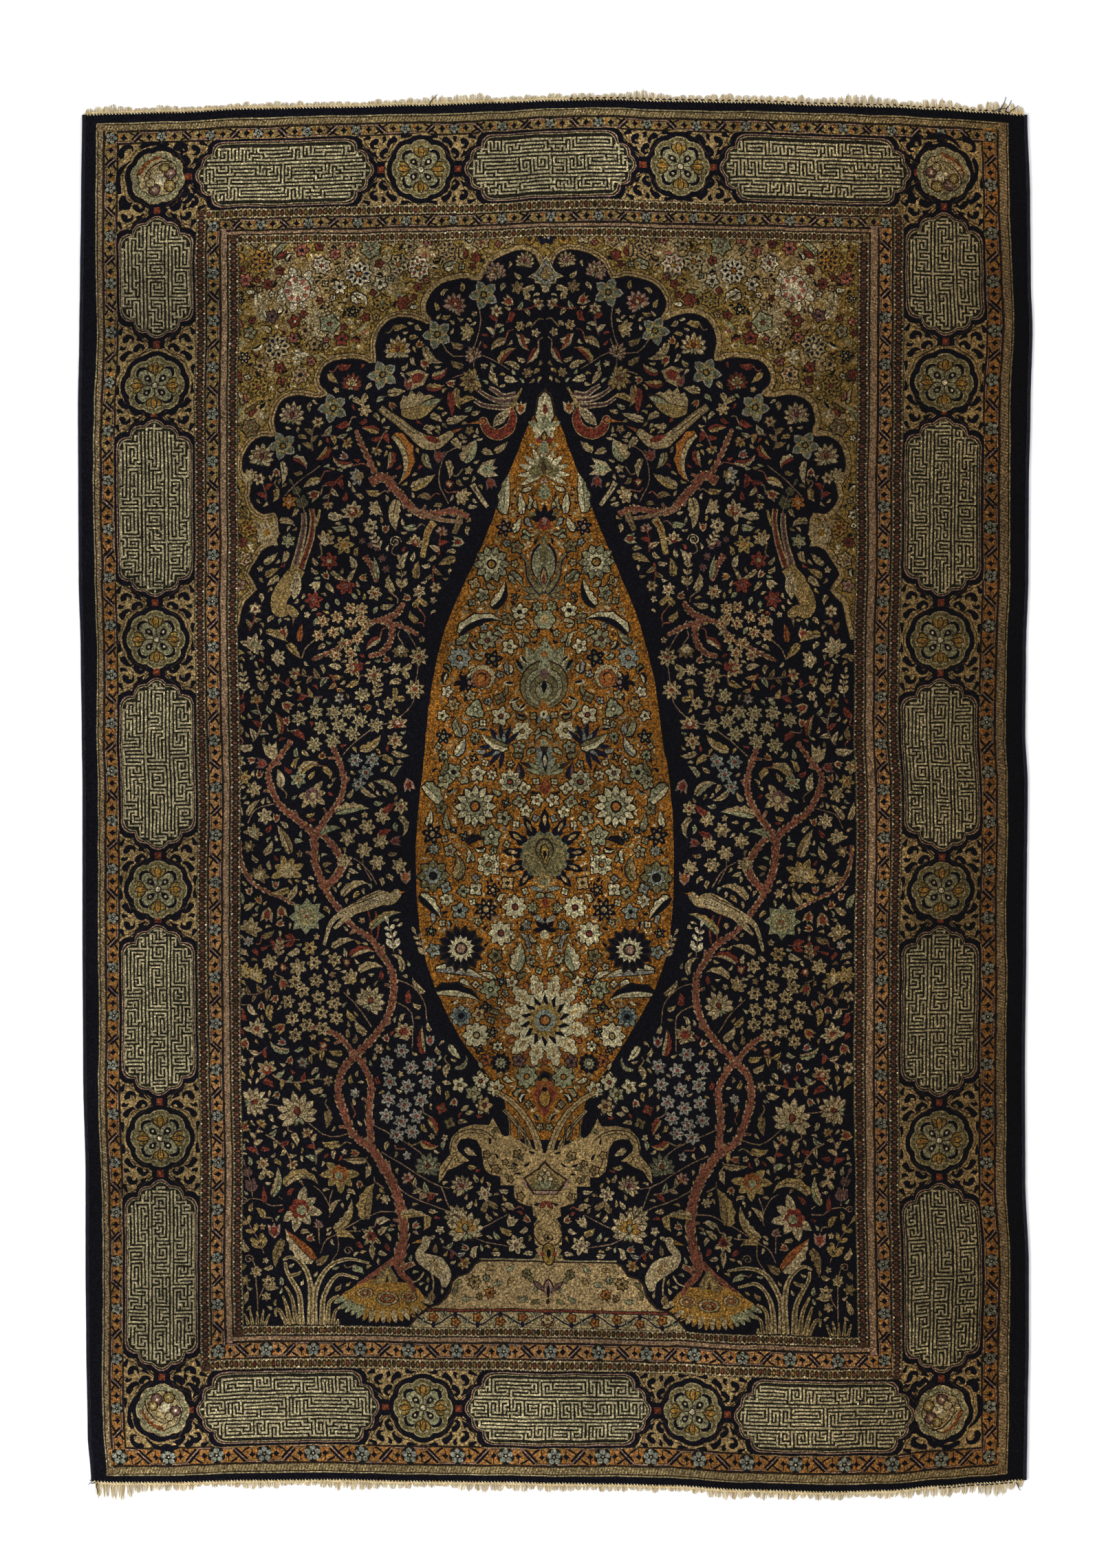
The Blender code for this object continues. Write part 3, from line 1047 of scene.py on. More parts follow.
def plinth(pen, middle):
    outline = spots((793, 1838), (694, 1838), (686, 1843), (681, 1850), (676, 1857), (662, 1861), (652, 1870),
                    (649, 1882), (642, 1893), (632, 1903), (612, 1909), (600, 1920), (588, 1937), (793, 1937))
    middle.fill(both_halves(outline), "umber")
    middle.fill([spot(693, 1838), *spots((893, 1838), (893, 1836.2), (693, 1836.2))], "parchment")
    top = spots((793, 1840.5), (696, 1840.5), (688, 1845), (683, 1852), (678, 1859), (664, 1863), (655, 1871),
                (652, 1884), (645, 1895), (634, 1905), (622, 1908), (793, 1908))
    middle.fill(both_halves(top), "fawn sand")
    middle.fill(spots((619, 1909.5), (967, 1909.5), (969, 1912), (617, 1912)), "rust")
    lower = spots((793, 1913.5), (614, 1913.5), (604, 1921), (592, 1935), (793, 1935))
    middle.fill(both_halves(lower), "ivory")
    for x, y, radius, colour in (
        (686, 1870, 8.5, "tan"), (709, 1886, 7, "amber"), (762, 1857, 6, "khaki"), (694, 1891, 4, "tan"),
        (704, 1865, 5, "sage"),
    ):
        blossom(pen.at(spot(x, y)), radius, colour, "umber", 7)
    for x, y, heading, colour in (
        (733, 1854, 20, "sage"), (716, 1850, 170, "tan"), (727, 1872, 170, "sage"),
        (668, 1894, -20, "sage"), (772, 1882, 30, "sage"), (770, 1871, 100, "khaki"),
        (752, 1897, 10, "sage"), (668, 1868, 200, "khaki"), (660, 1878, 230, "khaki"),
        (745, 1864, 200, "tan"), (782, 1897, 170, "khaki"),
    ):
        leaf(pen.at(spot(x, y), heading), 15, 6, 50, colour, None, edge="umber")
    crest = middle.at(spot(793, 1892), 90)
    crest.fill(petal(30, 16), "umber")
    crest.fill(petal(27, 12), "rose")
    crest.fill(petal(20, 5), "night")
    crest.twice().at(complex(8, 3), 48).fill(petal(26, 9), "umber")
    crest.twice().at(complex(9, 3.6), 48).fill(petal(22, 6), "mauve")
    crest.ahead(1, 180).fill(petal(10, 6), "umber")
    # the lower panel's waving vine
    vine = [complex(x - 200, 1157 - 1924 + 8 * math.cos(math.pi * x / 33)) for x in range(0, 201, 8)]
    pen.fill(ribbon(vine, lambda s: 2.2), "navy")
    for k in range(6):
        x = -200 + 33 * k + 16.5
        side = 1 if k % 2 else -1
        pen.at(complex(x + 16, -767 + side * 2), 90 * side).fill(petal(10, 7), "navy")
        blossom(pen.at(complex(x + 16, -767 - side * 3)), 6.2, "amber", "rust", 5)
        for lean in (-30, 30):
            leaf(pen.at(complex(x, -767 + side * 5), 90 + lean * side), 9, 3, 30, "sage", None, edge="navy")
    blossom(middle.at(spot(793, 1923)), 8, "ivory", "amber", 6)


# ---------------------------------------------------------------- the medallion's motifs
def medallion_middle(middle):
    """The palmettes that stand on the middle line, from the finial down to the vase."""
    up = 90

    def at(y, heading=up):
        return middle.at(spot(FIELD_AXIS, y), heading)

    # finial
    tip = at(633)
    tip.fill(petal(62, 34, 0.38), "umber")
    tip.fill(scallop(17, 7, 0.2, 3), "pearl")
    tip.ahead(6).fill(petal(50, 27, 0.3), "pearl")
    tip.twice().at(4 + 6j, 62).fill(petal(20, 9), "sage")
    tip.ahead(-2).fill(petal(24, 16, 0.5), "sage")
    tip.ahead(24).fill(petal(15, 8, 0.4), "rust")
    tip.twice().at(-14 + 7j).fill(disc(5, 7), "rust")
    tip.ahead(-18).fill(petal(17, 11), "umber")
    tip.ahead(-16).fill(petal(12, 6), "ochre")
    # first palmette
    head = at(696)
    fan(head, 40, 11, 230, "pearl", "umber", 0.22, 0.06, 1.4)
    fan(head, 26, 3, 150, "khaki", "khaki", 0.75, 0.1, 0)
    head.ahead(26).fill(petal(22, 18, 0.4), "sage")
    head.ahead(-2).fill(petal(20, 9), "brown")
    head.ahead(-12, 180).fill(disc(5.5, 7), "rose")
    head.ahead(-14, 180).fill(drop(24, 20, 10), "sage")
    # bud on a rust wedge
    bud_pen = at(764)
    bud_pen.twice().at(0j, 62).fill(petal(26, 10), "khaki")
    fan(bud_pen, 23, 5, 150, "night", None, 0.4, 0.15)
    bud_pen.ahead(-13).fill([0j, 2 - 11j, 15 - 7j, 19 + 0j, 15 + 7j, 2 + 11j], "rust")
    bud_pen.ahead(-8).fill(petal(14, 7), "rose")
    # the tall tulip
    tulip = at(868)
    fan(tulip, 36, 8, 205, "khaki", "navy", 0.24, 0.12, 1.6)
    sepals = tulip.twice()
    sepals.line([0 + 3j, 22 + 20j, 46 + 25j, 60 + 35j], (11, 4), "navy")
    sepals.line([2 + 3j, 22 + 19j, 46 + 24j, 58 + 33j], (8, 2), "khaki")
    tulip.fill(drop(74, 40, 14), "navy")
    tulip.fill(petal(84, 18, 0.6), "navy")
    tulip.ahead(2).fill(drop(68, 34, 14), "stone")
    tulip.ahead(40).fill(petal(48, 13, 0.4), "khaki")
    tulip.ahead(8).fill(petal(32, 13), "umber")
    tulip.ahead(9.5).fill(petal(27, 9), "sand")
    tulip.ahead(12).fill(petal(18, 5), "rust")
    # sage knot above the round palmette
    knot = at(907)
    knot.fill(scallop(17, 6, 0.16, 3), "umber")
    knot.fill(scallop(15, 6, 0.16, 3), "sage")
    knot.fill(disc(7, 7), "sand")
    knot.twice().at(-12 + 8j, 160).fill(petal(9, 6), "night")
    # the round palmette
    ring = at(1002)
    fan(ring.ahead(8), 62, 5, 120, "stone", "umber", 0.3, 0.2, 1.2)
    ring.twice().at(20 + 30j, 30).fill(petal(22, 6), "night")
    for place, heading in ((2 + 42j, 80), (-18 + 34j, 110), (-26 + 24j, 130), (30 + 24j, 40)):
        ring.twice().at(place, heading).fill(petal(18, 7), "pearl")
        ring.twice().at(place + 1, heading).fill(petal(15, 4), "night")
    for radius, colour in ((36, "umber"), (34, "khaki"), (28, "umber"), (26.8, "stone"), (21, "umber"),
                           (19.8, "khaki"), (13, "umber"), (11.8, "stone")):
        ring.ahead(-(36 - radius) * 0.35).fill(disc(radius, 18), colour)
    ring.ahead(14).fill(petal(26, 18, 0.4), "sage")
    ring.ahead(6).fill(petal(18, 13), "mauve")
    ring.ahead(-14).fill(petal(20, 9), "night")
    ring.ahead(46).fill(scallop(14, 7, 0.2, 3), "sage")
    ring.ahead(44).fill(disc(5, 7), "amber")
    ring.ahead(-22, 180).fill(petal(22, 17), "amber")
    ring.twice().ahead(-38, 150).fill(petal(22, 10), "night")
    ring.twice().ahead(-38, 152).fill(petal(19, 7), "blue")
    ring.ahead(-42).fill(disc(6, 8), "pearl")
    ring.ahead(-42).fill(disc(2.4, 6), "night")
    # the blue tulip
    cup = at(1132)
    cup.ahead(2, 0).twice().at(0j, 66).fill(petal(40, 8), "umber")
    fan(cup, 32, 8, 150, "sage", "umber", 0.22, 0.1, 1.4)
    cup.ahead(4).fill(petal(42, 22), "umber")
    cup.twice().at(6 + 4j, 8).fill(petal(38, 10), "blue")
    cup.ahead(8).fill(petal(27, 10), "night")
    cup.ahead(11).fill(petal(18, 5), "pearl")
    cup.ahead(46).fill(disc(6, 8), "stone")
    cup.ahead(-4, 180).fill(petal(26, 15), "rust")
    cup.ahead(-6, 180).fill(petal(16, 7), "copper")
    # the dark star palmette
    sun = at(1250)
    for k in range(11):
        angle = -140 + 28 * k
        ray = sun.at(0j, angle)
        length = 70 if k == 5 else 66 - 1.2 * abs(k - 5)
        ray.fill(star_leaf(length, 17), "night")
        ray.ahead(length * 0.62).fill(petal(length * 0.24, 5.4), "sand")
    sun.fill(scallop(36, 14, 0.1, 3), "lichen")
    sun.fill(scallop(33, 14, 0.12, 3), "khaki")
    sun.ahead(-20).fill(drop(46, 28, 12), "umber")
    sun.ahead(-18).fill(drop(41, 23, 12), "khaki")
    sun.ahead(-14).fill(drop(32, 15, 10), "umber")
    sun.ahead(-12).fill(drop(27, 10, 10), "ochre")
    sun.ahead(-6).fill(petal(14, 6), "night")
    sun.ahead(-38).fill(scallop(13, 7, 0.2, 3), "tan")
    sun.ahead(-38).fill(disc(5, 7), "lichen")
    sun.twice().at(-50 + 2j, 80).fill(petal(22, 9), "umber")
    sun.twice().at(-50 + 2j, 80).fill(petal(20, 6.4), "blue")
    sun.ahead(-58, 180).fill(petal(18, 9), "rust")
    # the small winged bud
    small = at(1358)
    fan(small, 19, 5, 190, "night", None, 0.4, 0.05)
    small.twice().ahead(10, 55).fill(petal(20, 8), "blue")
    small.ahead(-8).fill(disc(7, 8), "pearl")
    small.twice().at(-46 + 2j, 24).fill(petal(28, 9), "umber")
    small.twice().at(-45 + 2.5j, 24).fill(petal(25, 6.5), "pearl")
    # the big ivory palmette
    big = at(1489)
    for k in range(12):
        lobe = big.at(0j, 15 + 30 * k)
        reach = 68 if k not in (2, 3) else 62
        lobe.fill(serrated(reach + 1.6, 31), "umber")
        lobe.fill(serrated(reach, 28), "pearl")
        lobe.ahead(reach * 0.5).fill(petal(reach * 0.32, 6), "sand")
    for k in range(12):
        gap = big.at(0j, 30 * k)
        gap.ahead(48).fill(drop(17, 10, 8), "umber")
        gap.ahead(49.4).fill(drop(14, 7, 8), "copper")
    big.fill(disc(40, 16), "pearl")
    big.fill(star(39, 14, 0.36), "night")
    big.fill(star(30, 14, 0.28, 0.1), "sand")
    big.fill(scallop(23, 9, 0.16, 3), "ochre")
    big.fill(scallop(17, 8, 0.16, 3), "blue")
    big.fill(disc(9, 9), "umber")
    big.fill(disc(6.5, 8), "amber")
    big.fill(petal(5, 3), "sand")
    # the bud and the rust cone below it
    low = at(1560)
    low.ahead(-12).fill(disc(11, 10), "umber")
    low.ahead(-10).fill(disc(7, 8), "night")
    low.ahead(-16).fill(disc(5, 7), "ochre")
    cone = at(1592, -90)
    cone.fill([-16 - 10j, -16 + 10j, 6 + 19j, 38 + 0j, 6 - 19j], "copper")
    cone.fill([-10 - 5j, 2 - 17j, 34 + 0j, 2 + 17j, -10 + 5j, 2 + 7j, 12 + 0j, 2 - 7j], "rust")
    cone.ahead(-12).fill(drop(34, 20, 10), "umber")
    cone.ahead(-10).fill(drop(30, 16, 10), "gold")
    cone.ahead(-4).fill(disc(3.6, 7), "night")


def star_leaf(length, width):
    """A lance-shaped leaf with two small barbs."""
    half = width / 2
    lower = ((0.4, 0.45), (0.62, 1), (0.72, 0.62), (0.84, 0.7), (1, 0))
    return mirrored([complex(length * x, -half * y) for x, y in lower])


def serrated(length, width):
    """A broad lobe with three teeth on each side."""
    half = width / 2
    lower = ((0.3, 0.4), (0.56, 1), (0.66, 0.6), (0.78, 0.82), (0.84, 0.42), (0.94, 0.42), (1, 0))
    return mirrored([complex(length * x, -half * y) for x, y in lower])


def medallion_sides(pen):
    """The motifs left of the middle line, drawn again mirrored."""
    at = placer(pen)
    # leaves and sickles, by their middles. Columns: x, y, heading, length, width, bend, colour, other half
    for x, y, heading, length, width, bend, colour, other in (
        (738, 722, 82, 60, 15, -16, "stone", "pearl"), (761, 737, 96, 32, 9, 10, "pearl", None),
        (755, 769, 60, 22, 9, 30, "pearl", None), (730, 869, 66, 44, 14, 60, "pearl", "night"),
        (701, 908, 14, 72, 15, -84, "pearl", "night"), (677, 932, 40, 26, 9, 40, "stone", None),
        (736, 1010, 60, 24, 6, 120, "khaki", None), (754, 1034, -40, 24, 6, 110, "stone", None),
        (671, 1091, 62, 30, 11, 40, "pearl", "silver"), (757, 1126, 100, 22, 9, 20, "mauve", "navy"),
        (632, 1163, -52, 47, 17, -26, "sage", "pearl"), (625, 1194, 80, 24, 8, 30, "pearl", None),
        (650, 1199, 100, 24, 8, -30, "stone", None), (692, 1227, 12, 26, 8, -80, "night", None),
        (668, 1266, 88, 38, 14, 76, "sand", "khaki"), (628, 1324, -48, 47, 14, -24, "pearl", "night"),
        (754, 1397, 76, 42, 19, 26, "pearl", "sage"), (671, 1420, -12, 74, 12, -30, "pearl", "silver"),
        (668, 1450, -12, 66, 16, -56, "night", "pearl"), (675, 1553, 50, 30, 6, 130, "stone", None),
        (662, 1536, -50, 26, 9, 30, "pearl", None), (742, 1068, 20, 20, 6, 60, "khaki", None),
        (708, 1424, 160, 26, 7, 60, "pearl", None), (686, 1040, 130, 20, 6, 40, "stone", None),
        (646, 1120, 70, 24, 7, 50, "khaki", None), (724, 1262, 84, 30, 6, -50, "pearl", None),
    ):
        blade(at(x, y, heading), length, width, bend, colour, other, 3, "ink")
    # full flowers. Columns: x, y, radius, petals, colour, heart, second row
    for x, y, radius, petals, colour, heart, second in (
        (717, 824, 26, 10, "stone", "gold", "pearl"), (692, 1179, 31, 12, "pearl", "amber", "stone"),
        (630, 1279, 24, 8, "khaki", "ink", "blue"), (670, 1387, 33, 14, "night", "rose", "pearl"),
        (749, 1325, 18, 8, "pearl", "rust", None), (728, 1364, 19, 8, "pearl", "rust", None),
        (728, 1551, 15, 10, "night", "pearl", "sage"), (766, 1570, 17.5, 8, "sage", "amber", None),
        (671, 961, 17, 8, "blue", "amber", None), (671, 1483, 16, 8, "blue", "night", "slate"),
        (743, 1143, 18, 8, "pearl", "rust", "stone"), (711, 1263, 17, 7, "pearl", "amber", "stone"),
        (693, 1511, 20, 8, "pearl", "sand", None), (762, 1068, 15, 6, "pearl", "ochre", None),
    ):
        daisy(at(x, y), radius, petals, colour, heart, "ink" if colour != "night" else "umber", second)
    # dark flowers with pale dots. Columns: x, y, radius, petals, dots
    for x, y, radius, petals, dots in (
        (736, 773, 13, 6, "rose"), (646, 1075, 12, 5, "sage"), (629, 1218, 16, 6, "sand"),
        (707, 1329, 18, 8, "sand"), (719, 963, 14, 5, "khaki"), (684, 997, 13, 5, "rose"),
        (717, 1300, 11, 5, "sand"), (676, 1222, 8, 4, "sage"), (627, 1361, 9, 5, "sage"),
        (728, 1433, 8, 4, "blue"), (706, 1470, 9, 4, "khaki"), (715, 1506, 9, 5, "sage"),
        (697, 1531, 8, 4, "sand"), (660, 1212, 7, 4, "blue"), (738, 1174, 8, 4, "sage"),
        (690, 1108, 8, 4, "sand"),
    ):
        bloom(at(x, y, radius * 31 % 90), radius, "night", dots, petals, dots)
    # smaller flowers. Columns: x, y, radius, petals, colour, heart
    for x, y, radius, petals, colour, heart in (
        (711, 935, 14, 6, "stone", "rust"), (693, 1036, 14, 3, "sage", "pearl"),
        (730, 1046, 14, 5, "pearl", "rust"), (661, 1028, 9, 6, "sand", "khaki"),
        (652, 1009, 8, 5, "cream", "rose"), (659, 1128, 13, 5, "sage", "night"),
        (695, 1131, 12, 5, "pearl", "mauve"), (646, 1141, 11, 5, "stone", "tan"),
        (716, 1222, 15, 5, "sage", "pearl"), (650, 1314, 10, 6, "pearl", "tan"),
        (669, 1331, 12, 5, "blue", "night"), (712, 1445, 14, 6, "sage", "stone"),
        (696, 1481, 10, 5, "sand", "rust"), (707, 1547, 9, 6, "copper", "umber"),
        (754, 1548, 9, 5, "mauve", "umber"), (669, 1583, 11, 5, "pearl", "ochre"),
        (699, 1577, 12, 5, "pearl", "rust"), (688, 1595, 11, 5, "stone", "ochre"),
        (721, 1587, 12, 6, "pearl", "amber"), (705, 1612, 11, 5, "sand", "rust"),
        (642, 1616, 8, 4, "rust", "sand"), (654, 1637, 8, 4, "khaki", "rust"),
        (757, 894, 12, 5, "pearl", "night"), (742, 946, 11, 5, "pearl", "tan"),
        (704, 868, 10, 5, "stone", "khaki"), (692, 852, 8, 4, "sand", "tan"),
        (754, 800, 9, 5, "khaki", "rust"), (757, 1172, 9, 4, "sage", "rust"),
        (734, 1196, 11, 5, "stone", "umber"), (764, 1152, 9, 4, "pearl", "tan"),
        (738, 1290, 10, 4, "sand", "umber"), (674, 1302, 9, 4, "sage", "umber"),
        (692, 1299, 10, 4, "pearl", "sage"), (649, 1296, 8, 4, "blue", "mauve"),
        (631, 1389, 10, 5, "blue", "khaki"), (720, 1396, 10, 5, "khaki", "umber"),
        (743, 1434, 9, 5, "pearl", "rust"), (655, 1242, 9, 5, "stone", "rust"),
        (641, 1180, 9, 5, "khaki", "umber"), (690, 986, 9, 4, "pearl", "rose"),
        (729, 1020, 8, 4, "khaki", "rust"), (645, 1044, 8, 5, "pearl", "umber"),
        (757, 1092, 9, 5, "sage", "rust"), (740, 905, 9, 5, "khaki", "rust"),
        (766, 1186, 9, 5, "pearl", "ochre"),
    ):
        blossom(at(x, y, radius * 31 % 90), radius, colour, heart, petals, "ink")
    # winged palmettes that open outwards
    winged = at(734, 1092, 152)
    fan(winged, 38, 9, 215, "navy", None, 0.2, 0.08)
    fan(winged, 22, 5, 130, "blue", "umber", 0.26, 0.05, 1.0)
    blade(winged.ahead(16), 44, 13, -40, "pearl", "khaki", 3, "ink")
    # shells
    shell = at(704, 989, 200)
    shell.fill(star(20, 16, 0.12), "umber")
    shell.fill(star(18.6, 16, 0.12), "ivory")
    shell.at(3 + 2j).fill(disc(14, 12), "umber")
    shell.at(3 + 2j).fill(disc(12.8, 12), "copper")
    shell.ahead(2).fill(disc(7.5, 9), "umber")
    shell.at(3 + 1j).fill(disc(6, 9), "amber")
    fan(at(679, 997, 180), 17, 3, 110, "night", None, 0.5, 0.1)
    # the tan ribbons that rise from the vase
    for places, width in (
        (((786, 1680), (782, 1664), (772, 1640), (756, 1618), (738, 1602), (720, 1592)), 13),
        (((774, 1680), (768, 1664), (756, 1644), (744, 1630), (732, 1618)), 9),
        (((757, 1678), (755, 1660), (753, 1636)), 5),
        (((745, 1676), (742, 1656), (741, 1632)), 5),
        (((767, 1676), (764, 1660), (763, 1642)), 5),
    ):
        line = smooth(spots(*places), 3)
        pen.fill(ribbon(line, lambda s: width * (1 - 0.3 * s)), "night")
        pen.fill(ribbon(line, lambda s: (width - 3) * (1 - 0.3 * s)), "sand" if width > 8 else "ivory")
        pen.fill(ribbon(line[1:], lambda s: 0.9), "umber")


# ---------------------------------------------------------------- the field beside the medallion
def field_left(pen):
    """Trees, birds, lotuses and clusters of the dark field's left half."""
    at = placer(pen)
    # thin stems. Rows of places.
    for places in (
        ((498, 1102), (520, 1080), (548, 1060), (575, 1052), (600, 1030), (606, 1006), (612, 958), (600, 930),
         (584, 905)),
        ((360, 1200), (372, 1180), (400, 1172)), ((440, 960), (450, 940), (480, 920), (499, 913)),
        ((430, 1319), (405, 1305), (368, 1290), (350, 1262), (346, 1230)),
        ((548, 1290), (538, 1272), (524, 1258), (514, 1252)), ((540, 1284), (528, 1262), (528, 1246)),
        ((575, 1430), (600, 1440), (618, 1462), (622, 1490)), ((570, 1460), (600, 1480), (600, 1530)),
        ((540, 1500), (520, 1470), (500, 1450)), ((540, 1640), (580, 1660), (612, 1680), (620, 1700)),
        ((555, 1680), (590, 1700), (640, 1730), (672, 1729)),
        ((563, 1720), (600, 1745), (650, 1765), (660, 1772)),
        ((640, 1730), (660, 1780), (675, 1794), (700, 1790), (737, 1771)),
        ((675, 1800), (700, 1812), (737, 1819)),
        ((520, 1650), (480, 1660), (450, 1640), (432, 1621), (400, 1612), (365, 1608)),
        ((573, 1767), (552, 1767), (532, 1776), (520, 1780), (504, 1790), (488, 1802), (487, 1824),
         (476, 1842)),
        ((488, 1802), (470, 1810), (460, 1830)), ((459, 1788), (460, 1816)),
        ((520, 1797), (500, 1798), (488, 1800)), ((475, 1778), (477, 1765), (466, 1742), (454, 1732)),
        ((476, 1765), (477, 1752), (482, 1738)), ((408, 1750), (402, 1746)),
        ((408, 1758), (390, 1758), (378, 1750), (362, 1748), (354, 1752)),
        ((655, 735), (640, 700), (652, 660), (690, 650)), ((420, 720), (440, 700), (470, 678)),
        ((579, 789), (572, 806), (590, 812)), ((700, 500), (690, 530), (694, 552)),
        ((660, 552), (680, 545)), ((636, 488), (660, 520), (700, 520), (741, 543)),
        ((690, 430), (700, 470), (690, 510)), ((370, 1912), (369, 1860), (366, 1840), (358, 1834)),
        ((372, 1895), (382, 1874)),
    ):
        pen.line(spots(*places), (1.7, 1.3), "fawn", 3)
    # the trees
    for places, widths, stubs in (
        (((573, 1846), (584, 1796), (577, 1746), (563, 1710), (542, 1678), (526, 1665)), (14, 11), True),
        (((528, 1668), (512, 1654), (497, 1618), (491, 1588), (497, 1562), (515, 1542), (545, 1512),
          (565, 1482), (573, 1452), (572, 1422), (558, 1396), (542, 1373), (515, 1353), (490, 1322),
          (472, 1296)), (10, 7), True),
        (((472, 1296), (459, 1258), (456, 1218), (433, 1195), (409, 1175), (395, 1148), (391, 1125),
          (406, 1105), (425, 1079)), (10, 6), True),
        (((472, 1296), (494, 1272), (495, 1250), (480, 1228), (459, 1206)), (9, 7), False),
        (((540, 1668), (537, 1621), (540, 1585), (529, 1558), (512, 1538), (492, 1515), (472, 1505),
          (440, 1495)), (9, 6), True),
        (((459, 1222), (472, 1198), (492, 1171), (499, 1145), (496, 1122), (489, 1102), (480, 1080)),
         (9, 6), True),
        (((541, 703), (560, 694), (575, 712), (589, 726), (602, 742), (617, 749), (640, 748),
          (666, 745), (685, 755)), (13, 7), True),
    ):
        branch(pen, spots(*places), widths, stubs)
    # the band that hangs from the upper branch and the leaves about it
    for places, width, colour, core in (
        (((634, 760), (626, 772), (621, 790), (617, 812)), 12, "oat", "copper"),
        (((673, 752), (670, 762), (663, 778)), 10, "bronze", "umber"),
        (((600, 744), (616, 748), (640, 756), (676, 762)), 8, "fawn", "clay"),
        (((690, 708), (698, 722), (712, 742)), 8, "straw", "umber"),
    ):
        line = smooth(spots(*places), 3)
        pen.fill(ribbon(line, lambda s: width * (1 - 0.35 * s)), colour)
        pen.fill(ribbon(line[1:-1], lambda s: width * 0.3 * (1 - s)), core)
    # twigs
    for places, widths in (
        (((556, 904), (540, 908), (520, 930), (490, 945), (455, 962)), (6, 4)),
        (((556, 904), (571, 912), (570, 934), (557, 952), (538, 956)), (8, 6)),
        (((556, 904), (578, 895), (590, 878)), (9, 6)),
        (((556, 904), (590, 915), (612, 926)), (6, 5)),
        (((548, 690), (530, 650), (520, 625)), (7, 4)),
        (((348, 1225), (352, 1262), (372, 1290), (405, 1306), (430, 1320)), (4, 3)),
        (((533, 809), (545, 828), (551, 848)), (8, 5)),
    ):
        branch(pen, spots(*places), widths, False)
    root_mound(pen)
    grasses(pen)
    # the arch's vine leaves. Columns: x, y, radius
    for x, y, radius in ((704, 433, 20), (636, 488, 20), (559, 546, 20), (488, 594, 20), (416, 647, 19)):
        vine_palmette(at(x, y, 40), radius)
    # lotuses. Columns: x, y, heading, radius, outer, inner, heart
    for x, y, heading, radius, outer, inner, heart in (
        (432, 1627, 100, 36, "straw", "flax", "rust"), (365, 1608, 10, 27, "straw", "flax", "rust"),
        (663, 1775, 150, 22, "ivory", "straw", "rust"), (674, 1796, 100, 33, "straw", "gold", "sage"),
        (672, 1731, 120, 20, "ivory", "rose", "rust"), (537, 1465, 60, 27, "straw", "flax", "rust"),
        (622, 1703, 80, 23, "lichen", "stone", "rust"), (690, 556, 200, 22, "oat", "bronze", "rust"),
        (579, 512, 90, 24, "straw", "gold", "rust"), (514, 560, 80, 18, "rust", "ivory", "gold"),
        (428, 606, 80, 23, "straw", "rose", "rust"), (660, 449, 60, 21, "rose", "rust", "ivory"),
        (763, 388, 80, 16, "flax", "rose", "rust"), (722, 404, 110, 19, "rose", "ivory", "rust"),
        (384, 665, 80, 23, "straw", "fawn", "rust"), (690, 522, 120, 16, "rose", "flax", "rust"),
    ):
        lotus(at(x, y, heading), radius, outer, inner, heart)
    # lilies. Columns: x, y, heading, radius, petals, heart, base
    for x, y, heading, radius, colour, heart, base in (
        (432, 1764, -35, 34, "straw", "sage", "rust"), (492, 1714, 250, 30, "oat", "sage", "copper"),
        (454, 1159, 300, 24, "flax", "ivory", "mauve"), (419, 1270, 90, 26, "oat", "ivory", "flax"),
        (376, 1276, 60, 17, "bronze", "straw", "flax"), (579, 1057, 90, 16, "flax", "cream", "rust"),
        (389, 774, 20, 27, "flax", "gold", "straw"), (364, 1353, 60, 18, "flax", "straw", "bronze"),
        (368, 1215, 60, 15, "flax", "sage", "straw"), (550, 740, 200, 14, "straw", "flax", "flax"),
        (536, 1804, 210, 17, "flax", "umber", "rust"), (370, 940, 50, 19, "straw", "sage", "flax"),
        (371, 1420, 60, 18, "oat", "straw", "flax"), (372, 1500, 60, 19, "straw", "rust", "flax"),
        (606, 790, 70, 13, "ivory", "straw", "rust"), (388, 1560, 120, 17, "flax", "straw", "rust"),
    ):
        lily(at(x, y, heading), radius, colour, heart, base)
    # ragged flowers. Columns: x, y, radius, colour, heart
    for x, y, radius, colour, heart in (
        (346, 1112, 11, "flax", "copper"), (354, 1134, 11, "oat", "copper"), (369, 1151, 12, "flax", "flax"),
        (434, 1137, 12, "sage", "copper"), (575, 1081, 12, "flax", "rust"), (386, 1190, 12, "straw", "flax"),
        (362, 1234, 9, "bronze", "flax"), (452, 1384, 11, "oat", "umber"), (393, 1401, 12, "flax", "flax"),
        (353, 1413, 13, "oat", "flax"), (435, 1411, 13, "flax", "straw"), (582, 1178, 11, "flax", "rust"),
        (504, 793, 14, "oat", "amber"), (424, 786, 11, "sage", "oat"), (426, 729, 11, "amber", "straw"),
        (542, 766, 11, "straw", "umber"), (483, 816, 13, "rust", "sage"), (506, 852, 13, "rust", "mauve"),
        (460, 873, 13, "rust", "mauve"), (547, 864, 11, "flax", "rust"), (530, 787, 5, "mauve", "rust"),
        (542, 793, 5, "mauve", "rust"), (551, 798, 5, "mauve", "rust"), (558, 813, 6, "mauve", "rust"),
        (564, 829, 6, "mauve", "rust"), (369, 1855, 9, "flax", "bronze"), (352, 1868, 9, "bronze", "flax"),
        (387, 1871, 10, "flax", "umber"), (383, 1893, 7, "flax", "flax"), (746, 1815, 14, "straw", "mauve"),
    ):
        bloom(at(x, y, x % 50), radius, colour, heart)
